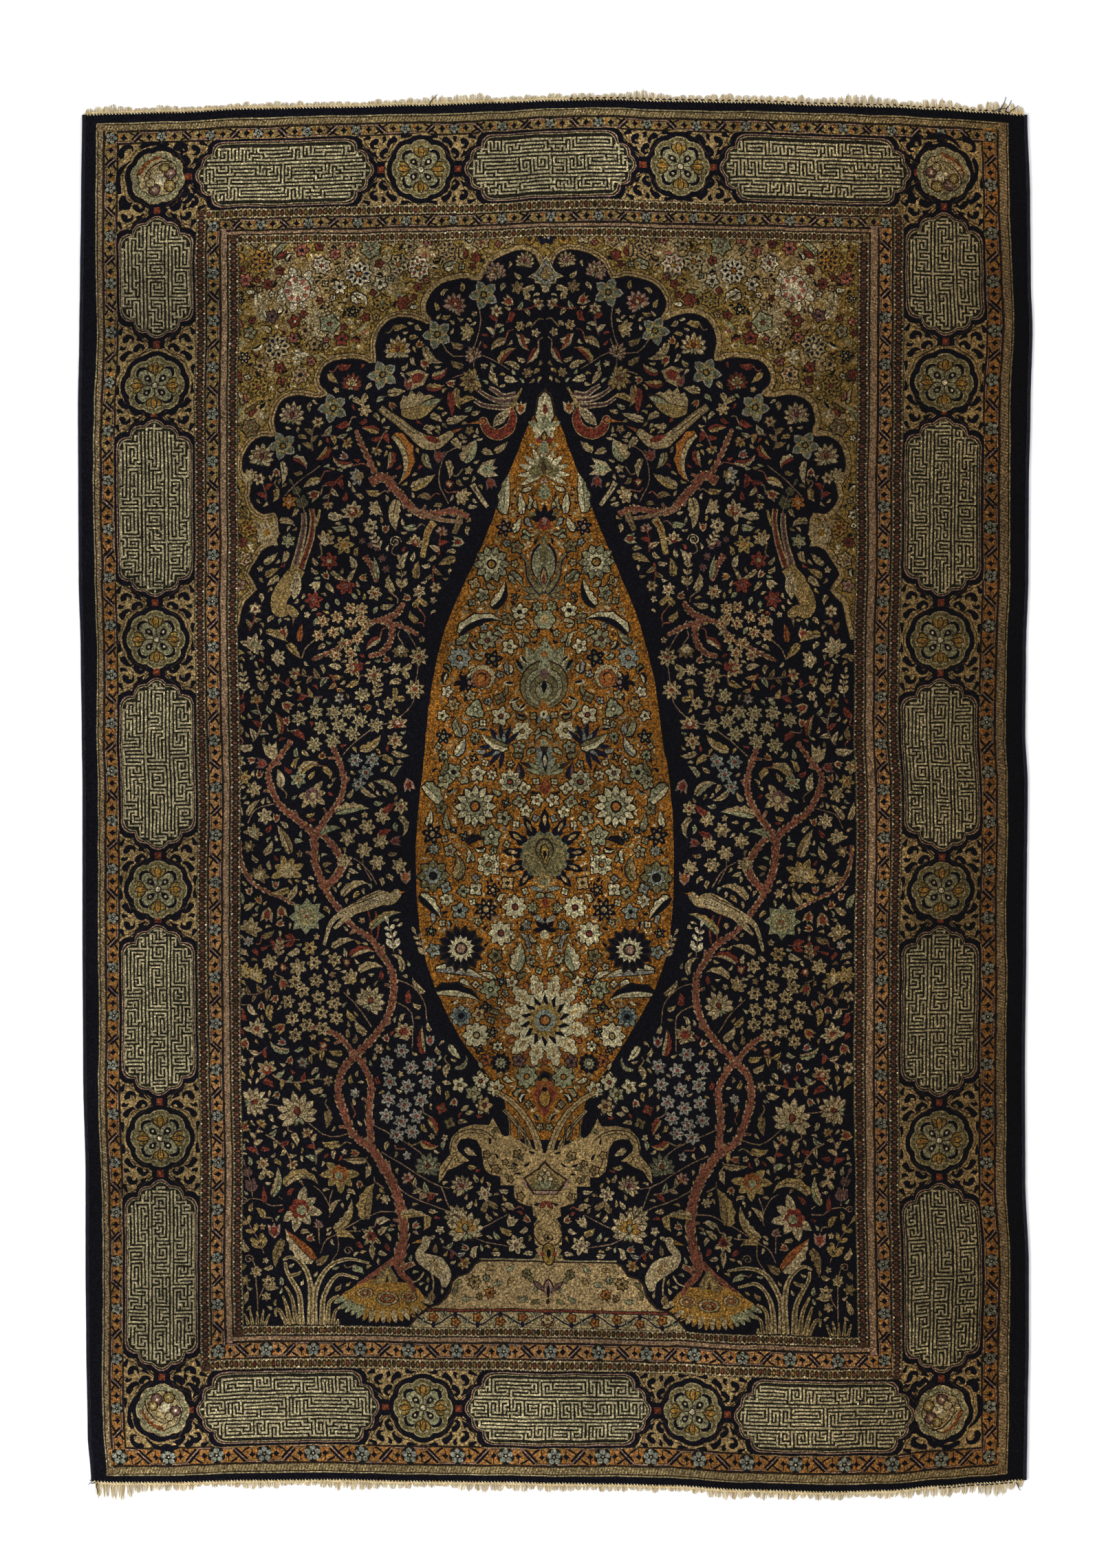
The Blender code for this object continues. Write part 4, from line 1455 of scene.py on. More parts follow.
    # tulips and buds. Columns: x, y, heading, length, colour, rim
    for x, y, heading, length, colour, rim in (
        (390, 1115, 172, 18, "rust", "mauve"), (397, 1108, 100, 26, "flax", "straw"),
        (391, 1322, 260, 22, "rust", "flax"), (590, 1136, 285, 20, "rust", "rose"),
        (566, 1227, 0, 16, "rust", "mauve"), (590, 1290, 95, 20, "copper", "rose"),
        (595, 568, 80, 18, "rust", "mauve"), (757, 610, 85, 20, "copper", "straw"),
        (715, 698, 280, 18, "rust", "mauve"), (696, 690, 10, 30, "sage", "straw"),
        (396, 1806, 92, 22, "rust", "rose"), (466, 1790, 160, 14, "mauve", "rose"),
        (418, 930, 110, 18, "rust", "flax"), (638, 676, 80, 20, "rust", "mauve"),
        (524, 841, 0, 13, "amber", "flax"), (736, 1790, 60, 18, "flax", "straw"),
        (625, 545, 200, 32, "rust", "flax"), (470, 846, 220, 16, "flax", "straw"),
    ):
        tulip(at(x, y, heading), length, colour, rim)
    # clusters of like flowers. Columns: colour, heart, radius, petals, places
    for colour, heart, radius, petals, places in (
        ("fawn sand", "rust", 9.5, 6, (
            (512, 885), (528, 886), (493, 898), (527, 900), (512, 908), (533, 909), (473, 904),
            (487, 921), (466, 925), (522, 930), (502, 937), (490, 954), (512, 951),
        )),
        ("parchment", "bronze", 11.5, 7, (
            (436, 1047), (460, 1038), (486, 1039), (508, 1037), (468, 1061), (494, 1058), (525, 1051),
            (457, 1086), (484, 1080), (529, 1014), (548, 1058), (513, 1070),
        )),
        ("blue", "rust", 10.5, 6, (
            (516, 1110), (541, 1110), (531, 1128), (521, 1145),
        )),
        ("flax", "umber", 10.5, 6, (
            (459, 1406), (488, 1402), (461, 1431), (486, 1441), (488, 1487), (468, 1502), (441, 1446),
            (464, 1456), (419, 1460), (443, 1470), (486, 1465), (467, 1479), (425, 1485), (446, 1496),
            (429, 1510), (431, 1432),
        )),
        ("silver", "rust", 11, 6, (
            (585, 1534), (563, 1552), (626, 1552), (599, 1557), (568, 1578), (622, 1578), (594, 1585),
            (613, 1604), (589, 1612), (566, 1604), (607, 1628), (584, 1636), (563, 1628), (600, 1650),
            (578, 1655),
        )),
        ("straw", "rust", 12, 5, (
            (669, 1583), (698, 1574), (691, 1596), (720, 1588), (703, 1615),
        )),
        ("flax", "rust", 14, 8, (
            (612, 958), (606, 1006), (546, 985),
        )),
        ("flax", "straw", 11.5, 6, (
            (534, 1207), (506, 1222), (553, 1227), (529, 1240), (502, 1256), (548, 1258), (580, 1263),
            (556, 1192),
        )),
    ):
        for k, (x, y) in enumerate(places):
            bloom(at(x, y, 23 * k), radius, colour, heart, petals)
    for x, y in (
        (495, 882), (522, 872), (479, 888), (460, 911), (502, 924), (539, 925), (525, 948), (545, 894),
    ):
        at(x, y, x % 90 + 60).fill(petal(12, 6.5), "sage")
    for x, y, heading in (
        (657, 1581, 165), (700, 1560, 100), (682, 1612, 215), (724, 1572, 70), (690, 1622, 190),
    ):
        at(x, y, heading).fill(petal(14, 7), "ivory")
    at(447, 1337).fill(star(27, 8, 0.32), "sage")
    at(447, 1337, 20).fill(scallop(12, 8, 0.1, 2), "oat")
    at(447, 1337, 20).fill(scallop(9, 8, 0.1, 2), "stone")
    at(447, 1337).fill(disc(3, 6), "copper")
    birds(pen)
    # leaves. Columns: x, y of the middle, heading, length, width, bend, colour, the other half's colour
    for x, y, heading, length, width, bend, colour, other in (
        (347, 1176, 105, 26, 8, -20, "flax", None), (368, 1176, 50, 30, 8, -40, "flax", None),
        (450, 1118, 20, 36, 13, -110, "flax", "oat"), (430, 1112, 60, 20, 7, -70, "oat", None),
        (510, 1159, 60, 16, 7, 40, "flax", None), (536, 1160, -30, 28, 7, 60, "flax", None),
        (541, 1086, 35, 40, 12, 60, "oat", "flax"), (582, 1102, -10, 26, 8, 50, "flax", None),
        (575, 1124, 50, 22, 8, -50, "stone", None), (560, 1146, 150, 38, 11, 80, "stone", "flax"),
        (512, 1181, 5, 50, 14, -30, "flax", "sage"), (481, 1210, 15, 32, 9, -60, "sage", None),
        (566, 1180, 40, 22, 9, 20, "rust", None), (587, 1206, 280, 34, 8, -110, "flax", None),
        (560, 1214, 20, 20, 8, 0, "rust", None), (415, 1222, 115, 46, 13, 20, "flax", "bronze"),
        (392, 1236, 60, 24, 9, 60, "flax", None), (408, 1300, 190, 26, 9, -40, "oat", None),
        (428, 1300, 60, 26, 9, 40, "flax", None), (347, 1304, 120, 26, 10, 60, "sage", None),
        (364, 1320, 30, 20, 9, 0, "flax", None), (515, 1292, 25, 46, 10, -90, "flax", None),
        (500, 1376, 20, 36, 9, -60, "flax", None), (529, 1390, 10, 40, 11, -80, "rust", "flax"),
        (540, 1412, 10, 38, 10, -80, "flax", None), (560, 1340, 30, 52, 11, -60, "oat", "sage"),
        (582, 1404, 120, 34, 8, 120, "flax", None), (608, 1440, 130, 30, 8, -50, "flax", None),
        (424, 758, -20, 26, 9, -80, "flax", None), (495, 752, 0, 25, 11, 10, "straw", None),
        (615, 590, 15, 60, 36, 20, "flax", "oat"), (580, 571, 10, 26, 10, 0, "flax", None),
        (666, 583, 280, 32, 10, 60, "bronze", "oat"), (658, 590, 275, 36, 10, -10, "rust", None),
        (682, 584, 10, 28, 8, -70, "oat", None), (667, 612, 15, 32, 10, 10, "straw", "flax"),
        (744, 558, -10, 20, 10, 0, "straw", None), (719, 557, -60, 22, 9, 20, "flax", None),
        (590, 668, 276, 84, 17, -105, "amber", "ivory"), (666, 649, -50, 20, 10, -40, "flax", None),
        (686, 659, 60, 36, 20, 10, "flax", "sage"), (732, 656, 40, 24, 9, 20, "flax", None),
        (712, 663, -20, 18, 9, 0, "flax", None), (656, 685, 280, 28, 9, -40, "flax", None),
        (618, 703, 30, 40, 14, 20, "flax", "oat"), (576, 751, 270, 46, 15, 40, "flax", None),
        (590, 813, 60, 24, 8, -20, "straw", None), (496, 839, -30, 26, 7, 50, "flax", None),
        (515, 836, 60, 22, 6, -30, "flax", None), (484, 856, -50, 18, 7, 0, "flax", None),
        (550, 827, 100, 34, 7, 10, "sage", None), (406, 925, -25, 34, 10, -40, "oat", "flax"),
        (440, 921, 80, 26, 8, -20, "copper", None), (430, 948, -50, 30, 10, 0, "oat", None),
        (398, 812, 40, 26, 9, 20, "flax", None), (400, 832, 30, 24, 9, -20, "oat", None),
        (400, 845, 220, 22, 9, 0, "flax", None), (566, 884, 10, 22, 8, 40, "flax", None),
        (430, 1817, 130, 62, 22, -20, "straw", "copper"), (464, 1839, 35, 22, 10, 20, "bronze", None),
        (532, 1752, 75, 56, 20, -50, "oat", "bronze"), (500, 1776, 60, 56, 12, 70, "flax", "oat"),
        (484, 1760, 50, 26, 7, -60, "flax", None), (499, 1803, -10, 28, 9, -60, "oat", None),
        (554, 1794, 40, 20, 8, -20, "flax", None), (537, 1829, 275, 22, 8, 0, "flax", None),
        (400, 1828, 255, 44, 12, 40, "bronze", None), (400, 1724, 80, 44, 11, 60, "flax", "sage"),
        (436, 1718, 0, 62, 14, -130, "oat", "flax"), (381, 1742, 95, 24, 7, 0, "rust", None),
        (353, 1893, 70, 22, 8, 0, "flax", None), (392, 1880, 0, 20, 8, 0, "flax", None),
        (600, 1770, 0, 40, 12, -40, "flax", "oat"), (617, 1783, 260, 24, 10, -60, "oat", None),
        (623, 1890, 90, 16, 10, 20, "bronze", None), (380, 447, 250, 40, 13, 80, "ivory", None),
        (745, 535, 160, 26, 8, 60, "flax", None), (760, 498, 150, 24, 8, -60, "straw", None),
        (737, 520, 40, 34, 10, -70, "oat", "rust"), (762, 505, -60, 30, 9, 60, "rust", "flax"),
    ):
        blade(at(x, y, heading), length, width, bend, colour, other, 2 + (length > 24) + (length > 40))
    at(613, 590, 15).fill(petal(34, 13), "umber")
    at(615, 590.5, 15).fill(petal(29, 9), "sage")
    for x, y, heading, length, pairs, colour, size in (
        (448, 745, 100, 44, 5, "moss", 12), (363, 1745, 92, 46, 5, "mauve", 13),
        (381, 1828, 108, 66, 4, "oat", 17), (438, 1371, 178, 48, 4, "rust", 14),
        (573, 1392, 88, 44, 4, "cream", 14), (585, 862, 80, 44, 4, "flax", 12),
        (385, 1012, 90, 40, 4, "flax", 12), (556, 800, 110, 30, 3, "straw", 10),
        (545, 1020, 60, 30, 3, "flax", 11), (356, 1010, 80, 34, 4, "straw", 11),
        (404, 1395, 70, 30, 3, "flax", 11), (620, 1400, 100, 40, 4, "flax", 12),
    ):
        sprig(at(x, y, heading), length, pairs, colour, 24, size, "fawn")
    curl(at(586, 789), 9, 1.6, 1.6, "straw")
    curl(at(356, 1752), 6, 1.3, 1.4, "fawn")
    curl(at(366, 1836), 7, 1.3, 1.4, "fawn")
    curl(at(508, 1826), 7, 1.3, 1.4, "fawn")


def root_mound(pen):
    """The scalloped mound that the tree's roots spread over."""
    at = placer(pen)
    for k in range(17):
        share = k / 16
        x = 502 + 102 * share
        y = 1892 + 16 * math.sin(math.pi * share) ** 0.6
        spike = at(x, y, 205 + 130 * share)
        spike.fill(petal(24, 9, 0.4), "sage" if k < 5 else ("flax", "gold")[k % 2])
    mound = spots(
        (492, 1891), (506, 1882), (519, 1871), (540, 1866), (559, 1871), (592, 1872), (612, 1892),
        (600, 1904), (578, 1911), (556, 1913), (530, 1909), (508, 1900),
    )
    pen.fill(smooth(mound, 2, True), "gold")
    for x, y, radius in ((527, 1887, 13), (559, 1896, 17), (590, 1892, 13)):
        for share, colour in (
            (1.0, "umber"), (0.9, "flax"), (0.66, "umber"), (0.58, "copper"), (0.34, "umber"), (0.26, "flax"),
        ):
            at(x, y).fill(disc(radius * share, 10, 0.62), colour)
    pen.line(spots((568, 1838), (550, 1852), (530, 1866), (516, 1874)), (10, 4), "clay", 3)
    pen.line(spots((570, 1838), (580, 1858), (592, 1870), (598, 1884)), (12, 6), "clay", 3)
    pen.line(spots((578, 1852), (588, 1846), (598, 1842)), (10, 7), "flax", 2)
    pen.line(spots((578, 1852), (587, 1847), (595, 1843)), (7.5, 5), "clay", 2)
    pen.fill(spots((559, 1842), (537, 1871), (548, 1876), (558, 1868), (572, 1874), (574, 1866)), "bronze")
    pen.fill(spots((559, 1850), (547, 1870), (566, 1870)), "oat")
    pen.fill(spots((558, 1858), (556, 1872), (561, 1872)), "umber")


def grasses(pen):
    """Arching blades with dark midlines at the field's lower edge."""
    for places, width in (
        (((452, 1934), (453, 1885), (473, 1849), (502, 1838), (532, 1844)), 7),
        (((463, 1934), (466, 1891), (486, 1862), (516, 1866)), 7),
        (((446, 1934), (446, 1874), (436, 1846), (420, 1834), (408, 1838)), 7),
        (((434, 1934), (430, 1891), (413, 1856), (411, 1841)), 7),
        (((420, 1862), (428, 1860), (434, 1856)), 5), (((426, 1934), (420, 1899), (410, 1877)), 6),
        (((418, 1934), (412, 1910), (406, 1892)), 6),
        (((412, 1934), (402, 1914), (395, 1912), (396, 1922)), 5),
        (((471, 1934), (474, 1902), (488, 1891)), 6), (((479, 1934), (482, 1916), (490, 1907)), 5),
        (((486, 1934), (487, 1926)), 5), (((356, 1934), (351, 1917)), 4), (((362, 1934), (359, 1912)), 4),
        (((369, 1934), (369, 1914)), 4), (((375, 1934), (378, 1912)), 4), (((380, 1934), (387, 1918)), 4),
    ):
        line = smooth(spots(*places), 4)
        rim = "straw" if width > 6 else "flax"
        pen.fill(ribbon(line, lambda share: width * 1.35 * (1 - 0.62 * share)), rim)
        pen.fill(ribbon(line, lambda share: width * 0.6 * (1 - 0.62 * share)), "oat")
        pen.fill(ribbon(line[:-2], lambda share: 0.9), "umber")


def birds(pen):
    """The five birds of the left half."""
    at = placer(pen)
    # the red-breasted bird beside the medallion's tip
    for places in (
        ((751, 579), (733, 581), (722, 573), (713, 568)),
        ((748, 588), (728, 588), (710, 581), (698, 572)),
        ((744, 598), (721, 597), (704, 594), (692, 586)),
    ):
        feather(pen, spots(*places), 9, "straw", "mauve")
    pen.line(spots((742, 604), (750, 588), (760, 570)), (7, 3), "oat", 3)
    bird(pen, spots((742, 600), (747, 614), (741, 630), (724, 637), (710, 630), (704, 617)),
         (7, 10, 14, 15, 12, 10), "rust")
    at(702, 617).fill([2 + 3j, -20 - 3j, 2 - 3j], "amber")
    wing(at(718, 626, 48), 37, 15, "straw", 6)
    # the long-tailed bird below the large leaf
    pen.line(spots((616, 642), (598, 629), (575, 609), (556, 594)), (16, 9), "bronze", 3)
    pen.line(spots((616, 642), (598, 629), (575, 609), (556, 594)), (11, 5), "flax", 3)
    pen.line(spots((610, 637), (590, 622), (565, 600)), 1.2, "umber", 3)
    bird(pen, spots((604, 634), (620, 645), (638, 646), (655, 634)), (13, 17, 15, 9), "flax")
    at(655, 632, 16).fill([6 + 2.5j, 22 + 1j, 6 - 2.5j], "copper")
    at(617, 636, -20).fill(petal(26, 10), "rust")
    # the speckled bird with two long ribbons
    feather(pen, spots((430, 832), (441, 797), (447, 766), (447, 746)), 11, "flax", "mauve")
    feather(pen, spots((442, 826), (455, 789), (460, 758), (458, 740)), 11, "flax", "rust")
    pen.line(spots((463, 765), (468, 752), (470, 742)), (6, 3), "oat", 2)
    bird(pen, spots((440, 826), (424, 848), (410, 872), (412, 888), (424, 887), (432, 893)),
         (18, 24, 22, 20, 12, 10), "tan", "oat")
    at(431, 896).fill([-3 + 2j, -2 - 17j, 3 + 1j], "bronze")
    wing(at(432, 872, 82), 42, 17, "straw", 8)
    # the long bird of the middle, on its twig
    for places in (
        ((520, 1322), (500, 1332), (484, 1346), (473, 1380)),
        ((516, 1328), (500, 1344), (488, 1356)),
    ):
        pen.line(spots(*places), (12, 4), "straw", 3)
        pen.line(spots(*places), (8, 2), "flax", 3)
    bird(pen, spots((512, 1328), (532, 1318), (552, 1310), (568, 1312), (577, 1304)),
         (13, 20, 21, 14, 10), "flax")
    for low, high in ((0, 0), (4, 5)):
        pen.line(spots((508, 1320 + low), (530, 1310 + low), (550, 1301 + high)), 1.4, "umber", 3)
    wing(at(566, 1309, 196), 42, 13, "straw", 7)
    at(578, 1303, 14).fill([3 + 2j, 12 - 1j, 3 - 2j], "amber")
    for x in (536, 546):
        pen.line(spots((x, 1330), (x + 6, 1352), (x + 4, 1372)), 2.6, "rust", 2)
    # the wading bird at the vase's foot
    for places in (((624, 1858), (626, 1870), (625, 1884)), ((612, 1856), (605, 1866), (594, 1871))):
        pen.line(spots(*places), (3.0, 1.8), "flax", 2)
    spine = spots((641, 1878), (643, 1862), (630, 1846), (613, 1838), (605, 1828), (614, 1816), (616, 1808))
    bird(pen, spine, (5, 17, 25, 19, 9, 8, 10), "straw", "ivory")
    at(612, 1808, 196).fill([3 + 3j, 19 + 0j, 3 - 3j], "gold")
    at(620, 1807, 30).fill(petal(11, 6), "straw")
    wing(at(619, 1834, -52), 32, 13, "fawn sand", 5)


def ringed_flower(pen, radius, count, ground, petals, heart):
    """A full flower: pointed outer petals, an inner ring of another colour and a heart."""
    pen.fill(pointed(radius + 2, count, 0.82), "umber")
    pen.fill(pointed(radius, count, 0.76), ground)
    for k in range(count):
        pen.at(0j, 360 * k / count).ahead(radius * 0.36).fill(petal(radius * 0.42, radius * 0.24), petals)
    pen.fill(pointed(radius * 0.34, 6, 0.6), "umber")
    pen.fill(disc(radius * 0.2, 6), heart)


def pale_patches(pen):
    """Broad patches where the ground of the arch's corner turns pale."""
    at = placer(pen)
    # Columns: x, y, radius, colour
    for x, y, radius, colour in (
        (434, 420, 62, "sand"), (500, 376, 40, "sand"), (552, 398, 34, "ivory"), (612, 372, 26, "sand"),
        (470, 474, 32, "ivory"), (690, 354, 18, "ivory"), (404, 522, 24, "sand"), (650, 372, 22, "sand"),
        (400, 372, 24, "ivory"), (735, 350, 14, "sand"), (372, 600, 20, "sand"), (368, 690, 12, "ivory"),
    ):
        at(x, y, x % 50).fill(scallop(radius, 9, 0.3, 3), colour)


def spandrel_left(pen):
    """Flowers of the arch's corner."""
    at = placer(pen)
    # the large pale flower and the wing-like leaf beside it
    great = at(434, 420)
    for k in range(14):
        lobe = great.at(0j, 360 * k / 14 + 9 * (k % 2))
        lobe.ahead(10).fill(drop(25 - 4 * (k % 2), 13, 7), "umber")
        lobe.ahead(10).fill(drop(23.4 - 4 * (k % 2), 11, 7), "cream" if k % 3 else "ivory")
        lobe.fill(needle(18, 29, 0.5), "umber")
    great.fill(disc(21, 12), "umber")
    great.fill(disc(19.6, 12), "cream")
    for k in range(8):
        great.at(0j, 45 * k + 8).ahead(9).fill(drop(10, 8, 7), "copper rose")
    great.fill(disc(8, 8), "cream")
    leaf(at(376, 424, -100), 52, 15, 75, "cream", "khaki", 5, "umber")
    leaf(at(369, 432, -96), 40, 5, 70, "sand", None)
    blossom(at(397, 458), 9, "mauve", "navy", 5)
    for x, y, radius, count, ground, petals, heart in (
        (384, 378, 18, 8, "gold", "navy", "amber"), (522, 397, 19, 9, "cream", "navy", "amber"),
        (608, 390, 17, 8, "cream", "rust", "gold"), (405, 502, 19, 9, "ivory", "navy", "cream"),
        (579, 385, 15, 7, "ivory", "navy", "amber"), (480, 470, 15, 5, "sage", "lichen", "rust"),
        (650, 365, 14, 7, "sand", "navy", "ivory"), (380, 560, 15, 8, "ochre", "umber", "rust"),
        (540, 360, 15, 6, "sage", "lichen", "rose"), (700, 356, 12, 6, "sand", "mauve", "rust"),
        (366, 765, 13, 7, "gold", "umber", "rust"), (358, 812, 11, 6, "ivory", "rust", "gold"),
        (470, 385, 13, 7, "cream", "mauve", "rust"), (555, 440, 13, 6, "ochre", "navy", "sage"),
        (440, 545, 13, 7, "ivory", "rust", "navy"), (368, 620, 13, 6, "khaki", "rust", "ivory"),
    ):
        ringed_flower(at(x, y, x % 40), radius, count, ground, petals, heart)
    for x, y, radius, petals, colour, heart in (
        (790, 354, 9, 5, "navy", "cream"), (497, 493, 10, 5, "rust", "navy"),
        (740, 352, 10, 5, "ivory", "rust"), (352, 850, 9, 5, "rose", "rust"),
        (383, 781, 8, 5, "ivory", "umber"), (365, 480, 9, 5, "sage", "rust"),
        (430, 466, 9, 5, "rust", "cream"), (510, 350, 9, 5, "copper rose", "sage"),
        (459, 500, 9, 5, "sand", "navy"),
    ):
        blossom(at(x, y, x % 40), radius, colour, heart, petals)
    for x, y in ((769, 355), (350, 372)):
        at(x, y).fill(disc(9, 10), "umber")
        at(x, y).fill(disc(7.6, 10), "gold")
        at(x, y).fill(disc(3.6, 7), "umber")


class Room:
    """Which places of the left half are taken, on a coarse grid."""

    CELL = 2.5

    def __init__(self, low, high):
        self.low = low
        self.columns = int((high.real - low.real) / self.CELL) + 1
        self.rows = int((high.imag - low.imag) / self.CELL) + 1
        self.taken = bytearray(self.columns * self.rows)

    def take(self, ring):
        """Mark the ring's cells, row by row."""
        low_y = min(point.imag for point in ring) - self.low.imag
        high_y = max(point.imag for point in ring) - self.low.imag
        for row in range(max(0, int(low_y / self.CELL)), min(self.rows, int(high_y / self.CELL) + 1)):
            y = self.low.imag + (row + 0.5) * self.CELL
            crossings = []
            for a, b in zip(ring, ring[1:] + ring[:1]):
                if (a.imag > y) != (b.imag > y):
                    crossings.append(a.real + (y - a.imag) * (b.real - a.real) / (b.imag - a.imag))
            crossings.sort()
            for start, end in zip(crossings[::2], crossings[1::2]):
                first = max(0, int((start - self.low.real) / self.CELL))
                last = min(self.columns - 1, int((end - self.low.real) / self.CELL))
                for column in range(first, last + 1):
                    self.taken[row * self.columns + column] = 1

    def take_shapes(self, shapes):
        """Mark drawn shapes, whose places on the cloth lie AXIS_SHIFT left of the field's own."""
        for ring, _ in shapes:
            self.take([point + AXIS_SHIFT for point in ring])

    def free(self, place, turn, length, width):
        """Whether a rectangle about the place, turned by the unit number turn, is free."""
        steps_x, steps_y = round(length / self.CELL / 2), round(width / self.CELL / 2)
        for i in range(-steps_x, steps_x + 1):
            for j in range(-steps_y, steps_y + 1):
                at = place - self.low + turn * complex(i, j) * self.CELL
                column, row = int(at.real / self.CELL), int(at.imag / self.CELL)
                if not (0 <= column < self.columns and 0 <= row < self.rows):
                    return False
                if self.taken[row * self.columns + column]:
                    return False
        return True


def ring_inside(ring):
    """A quick test for whether a place lies in the ring."""
    low_x, high_x = min(p.real for p in ring), max(p.real for p in ring)
    low_y, high_y = min(p.imag for p in ring), max(p.imag for p in ring)
    return lambda place: low_x < place.real < high_x and low_y < place.imag < high_y and inside(place, ring)


# What grows between the drawn motifs of each ground.
# Rows: leaves, flowers, the flowers' hearts, the edge round each shape.
FILLERS = {
    "field": (
        ("flax", "straw", "flax", "flax", "straw", "flax", "bronze", "oat", "oat", "sage", "rust"),
        ("straw", "flax", "straw", "flax", "fawn sand", "bronze", "silver"),
        ("rust", "copper", "mauve", "umber", "straw"),
        None,
    ),
    "corner": (
        ("cream", "ivory", "cream", "sand", "ivory", "olive", "sage", "cream"),
        ("cream", "rust", "copper rose", "sage", "ivory", "cream", "sand", "rust"),
        ("navy", "rust", "umber"),
        "umber",
    ),
    "medallion": (
        ("stone", "khaki", "pearl", "stone", "parchment", "silver", "pearl"),
        ("stone", "pearl", "pearl", "silver", "sage", "blue", "parchment"),
        ("amber", "night", "rust", "ochre"),
        "ink",
    ),
}


def filler(pen, length, width, ground, chance):
    """One small motif of that ground, centred on the pen's origin and along its x axis."""
    leaves, flowers, hearts, edge = FILLERS[ground]
    if ground == "field":
        field_filler(pen, length, width, leaves, flowers, hearts, chance)
    else:
        edged_filler(pen, length, width, leaves, flowers, hearts, edge, chance)


def field_filler(pen, length, width, leaves, flowers, hearts, chance):
    """A thick leaf, a ragged flower with leaves, a lily or a tulip of the dark field."""
    colour, petals, heart = chance.choice(leaves), chance.choice(flowers), chance.choice(hearts)
    other = chance.choice((None, None, "oat", "bronze", "rust", "flax"))
    bend = chance.choice((1, -1)) * chance.uniform(30, 100)
    kind = chance.random()
    if width > 19:
        if kind < 0.24:
            base = chance.choice(("rust", "flax", "bronze"))
            lily(pen.ahead(-length * 0.12), length * 0.5, petals, heart, base)
            blade(pen.ahead(-length * 0.36, 80), width * 0.7, 7, bend, colour, None, 2)
        elif kind < 0.5:
            bloom(pen.ahead(length * 0.2), width * 0.46, petals, heart)
            for side in (1, -1):
                place = complex(-length * 0.24, side * width * 0.22)
                blade(pen.at(place, -side * 35), length * 0.5, 8, side * 50, colour, None, 2)
        else:
            blade(pen.at(complex(0, width * 0.2)), length, width * 0.42, -bend, colour, other, 4)
            tulip(pen.at(complex(-length * 0.24, -width * 0.3)), length * 0.4, "rust", petals)
    elif width > 12:
        if kind < 0.72:
            blade(pen, length, width * 0.68, bend, colour, other, 3)
        elif kind < 0.88:
            bloom(pen.ahead(length * 0.16), width * 0.5, petals, heart)
            blade(pen.ahead(-length * 0.3, 30), length * 0.4, width * 0.36, bend, colour, None, 2)
        else:
            lily(pen.ahead(-length * 0.2), length * 0.6, petals, "straw", colour, 5, 150)
    elif width > 8:
        if kind < 0.74:
            blade(pen, length, width * 0.72, bend, colour, None, 2)
        elif kind < 0.88:
            body = "rust" if colour != "rust" else "flax"
            tulip(pen.ahead(-length * 0.5), length * 0.9, body, colour)
        else:
            bloom(pen, width * 0.55, petals, heart, 5)
    else:
        blade(pen, length, width * 0.6, bend, colour, None, 1)


def edged_filler(pen, length, width, leaves, flowers, hearts, edge, chance):
    """A dark-edged flower, a pair of leaves, a sickle or a curl on a bright ground."""
    colour, petals, heart = chance.choice(leaves), chance.choice(flowers), chance.choice(hearts)
    bend = chance.choice((1, -1)) * chance.uniform(40, 110)
    dark = chance.random() < 0.16
    rim = edge if edge == "ink" or chance.random() < 0.5 else None
    kind = chance.random()
    if width > 12 and kind < 0.55:
        if dark:
            bloom(pen, width * 0.5, "night", "sand", chance.choice((5, 6, 8)), petals)
        else:
            blossom(pen, width * 0.5, petals, heart, chance.choice((5, 6, 6, 8)), edge)
        if length > width * 1.3:
            blade(pen.ahead(-length * 0.4, 70), width * 0.7, 4.5, bend, "ink", None, 1)
    elif width > 12:
        blade(pen.at(complex(0, width * 0.16)), length, width * 0.36, -bend, colour, None, 2, rim)
        second = pen.at(complex(-length * 0.14, -width * 0.24))
        blade(second, length * 0.6, width * 0.3, bend, petals, None, 1, rim)
    elif width > 7 and kind < 0.5:
        if dark:
            blade(pen, length, width * 0.6, bend, "night", petals, 1)
        else:
            blade(pen, length, width * 0.6, bend, colour, chance.choice((None, "night", None)), 2, rim)
    elif width > 7:
        blossom(pen, width * 0.5, petals, heart, chance.choice((4, 5)), edge)
    elif kind < 0.5:
        blade(pen, length, width * 0.6, bend, "night" if dark else colour, None, 1)
    else:
        blade(pen, length * 1.2, 1.7, bend, "ink", None, 0)


def side_flower(pen, radius, colour, heart):
    """A flower seen from its side, opening along the x axis, on a small calyx."""
    fan(pen, radius, 5, 170, colour, "umber", 0.46, 0.14, 1.2)
    pen.ahead(-radius * 0.1).fill(petal(radius * 0.72, radius * 0.42), "umber")
    pen.fill(petal(radius * 0.56, radius * 0.26), heart)
    pen.ahead(radius * 0.1, 180).fill(drop(radius * 0.5, radius * 0.42, 7), "copper")


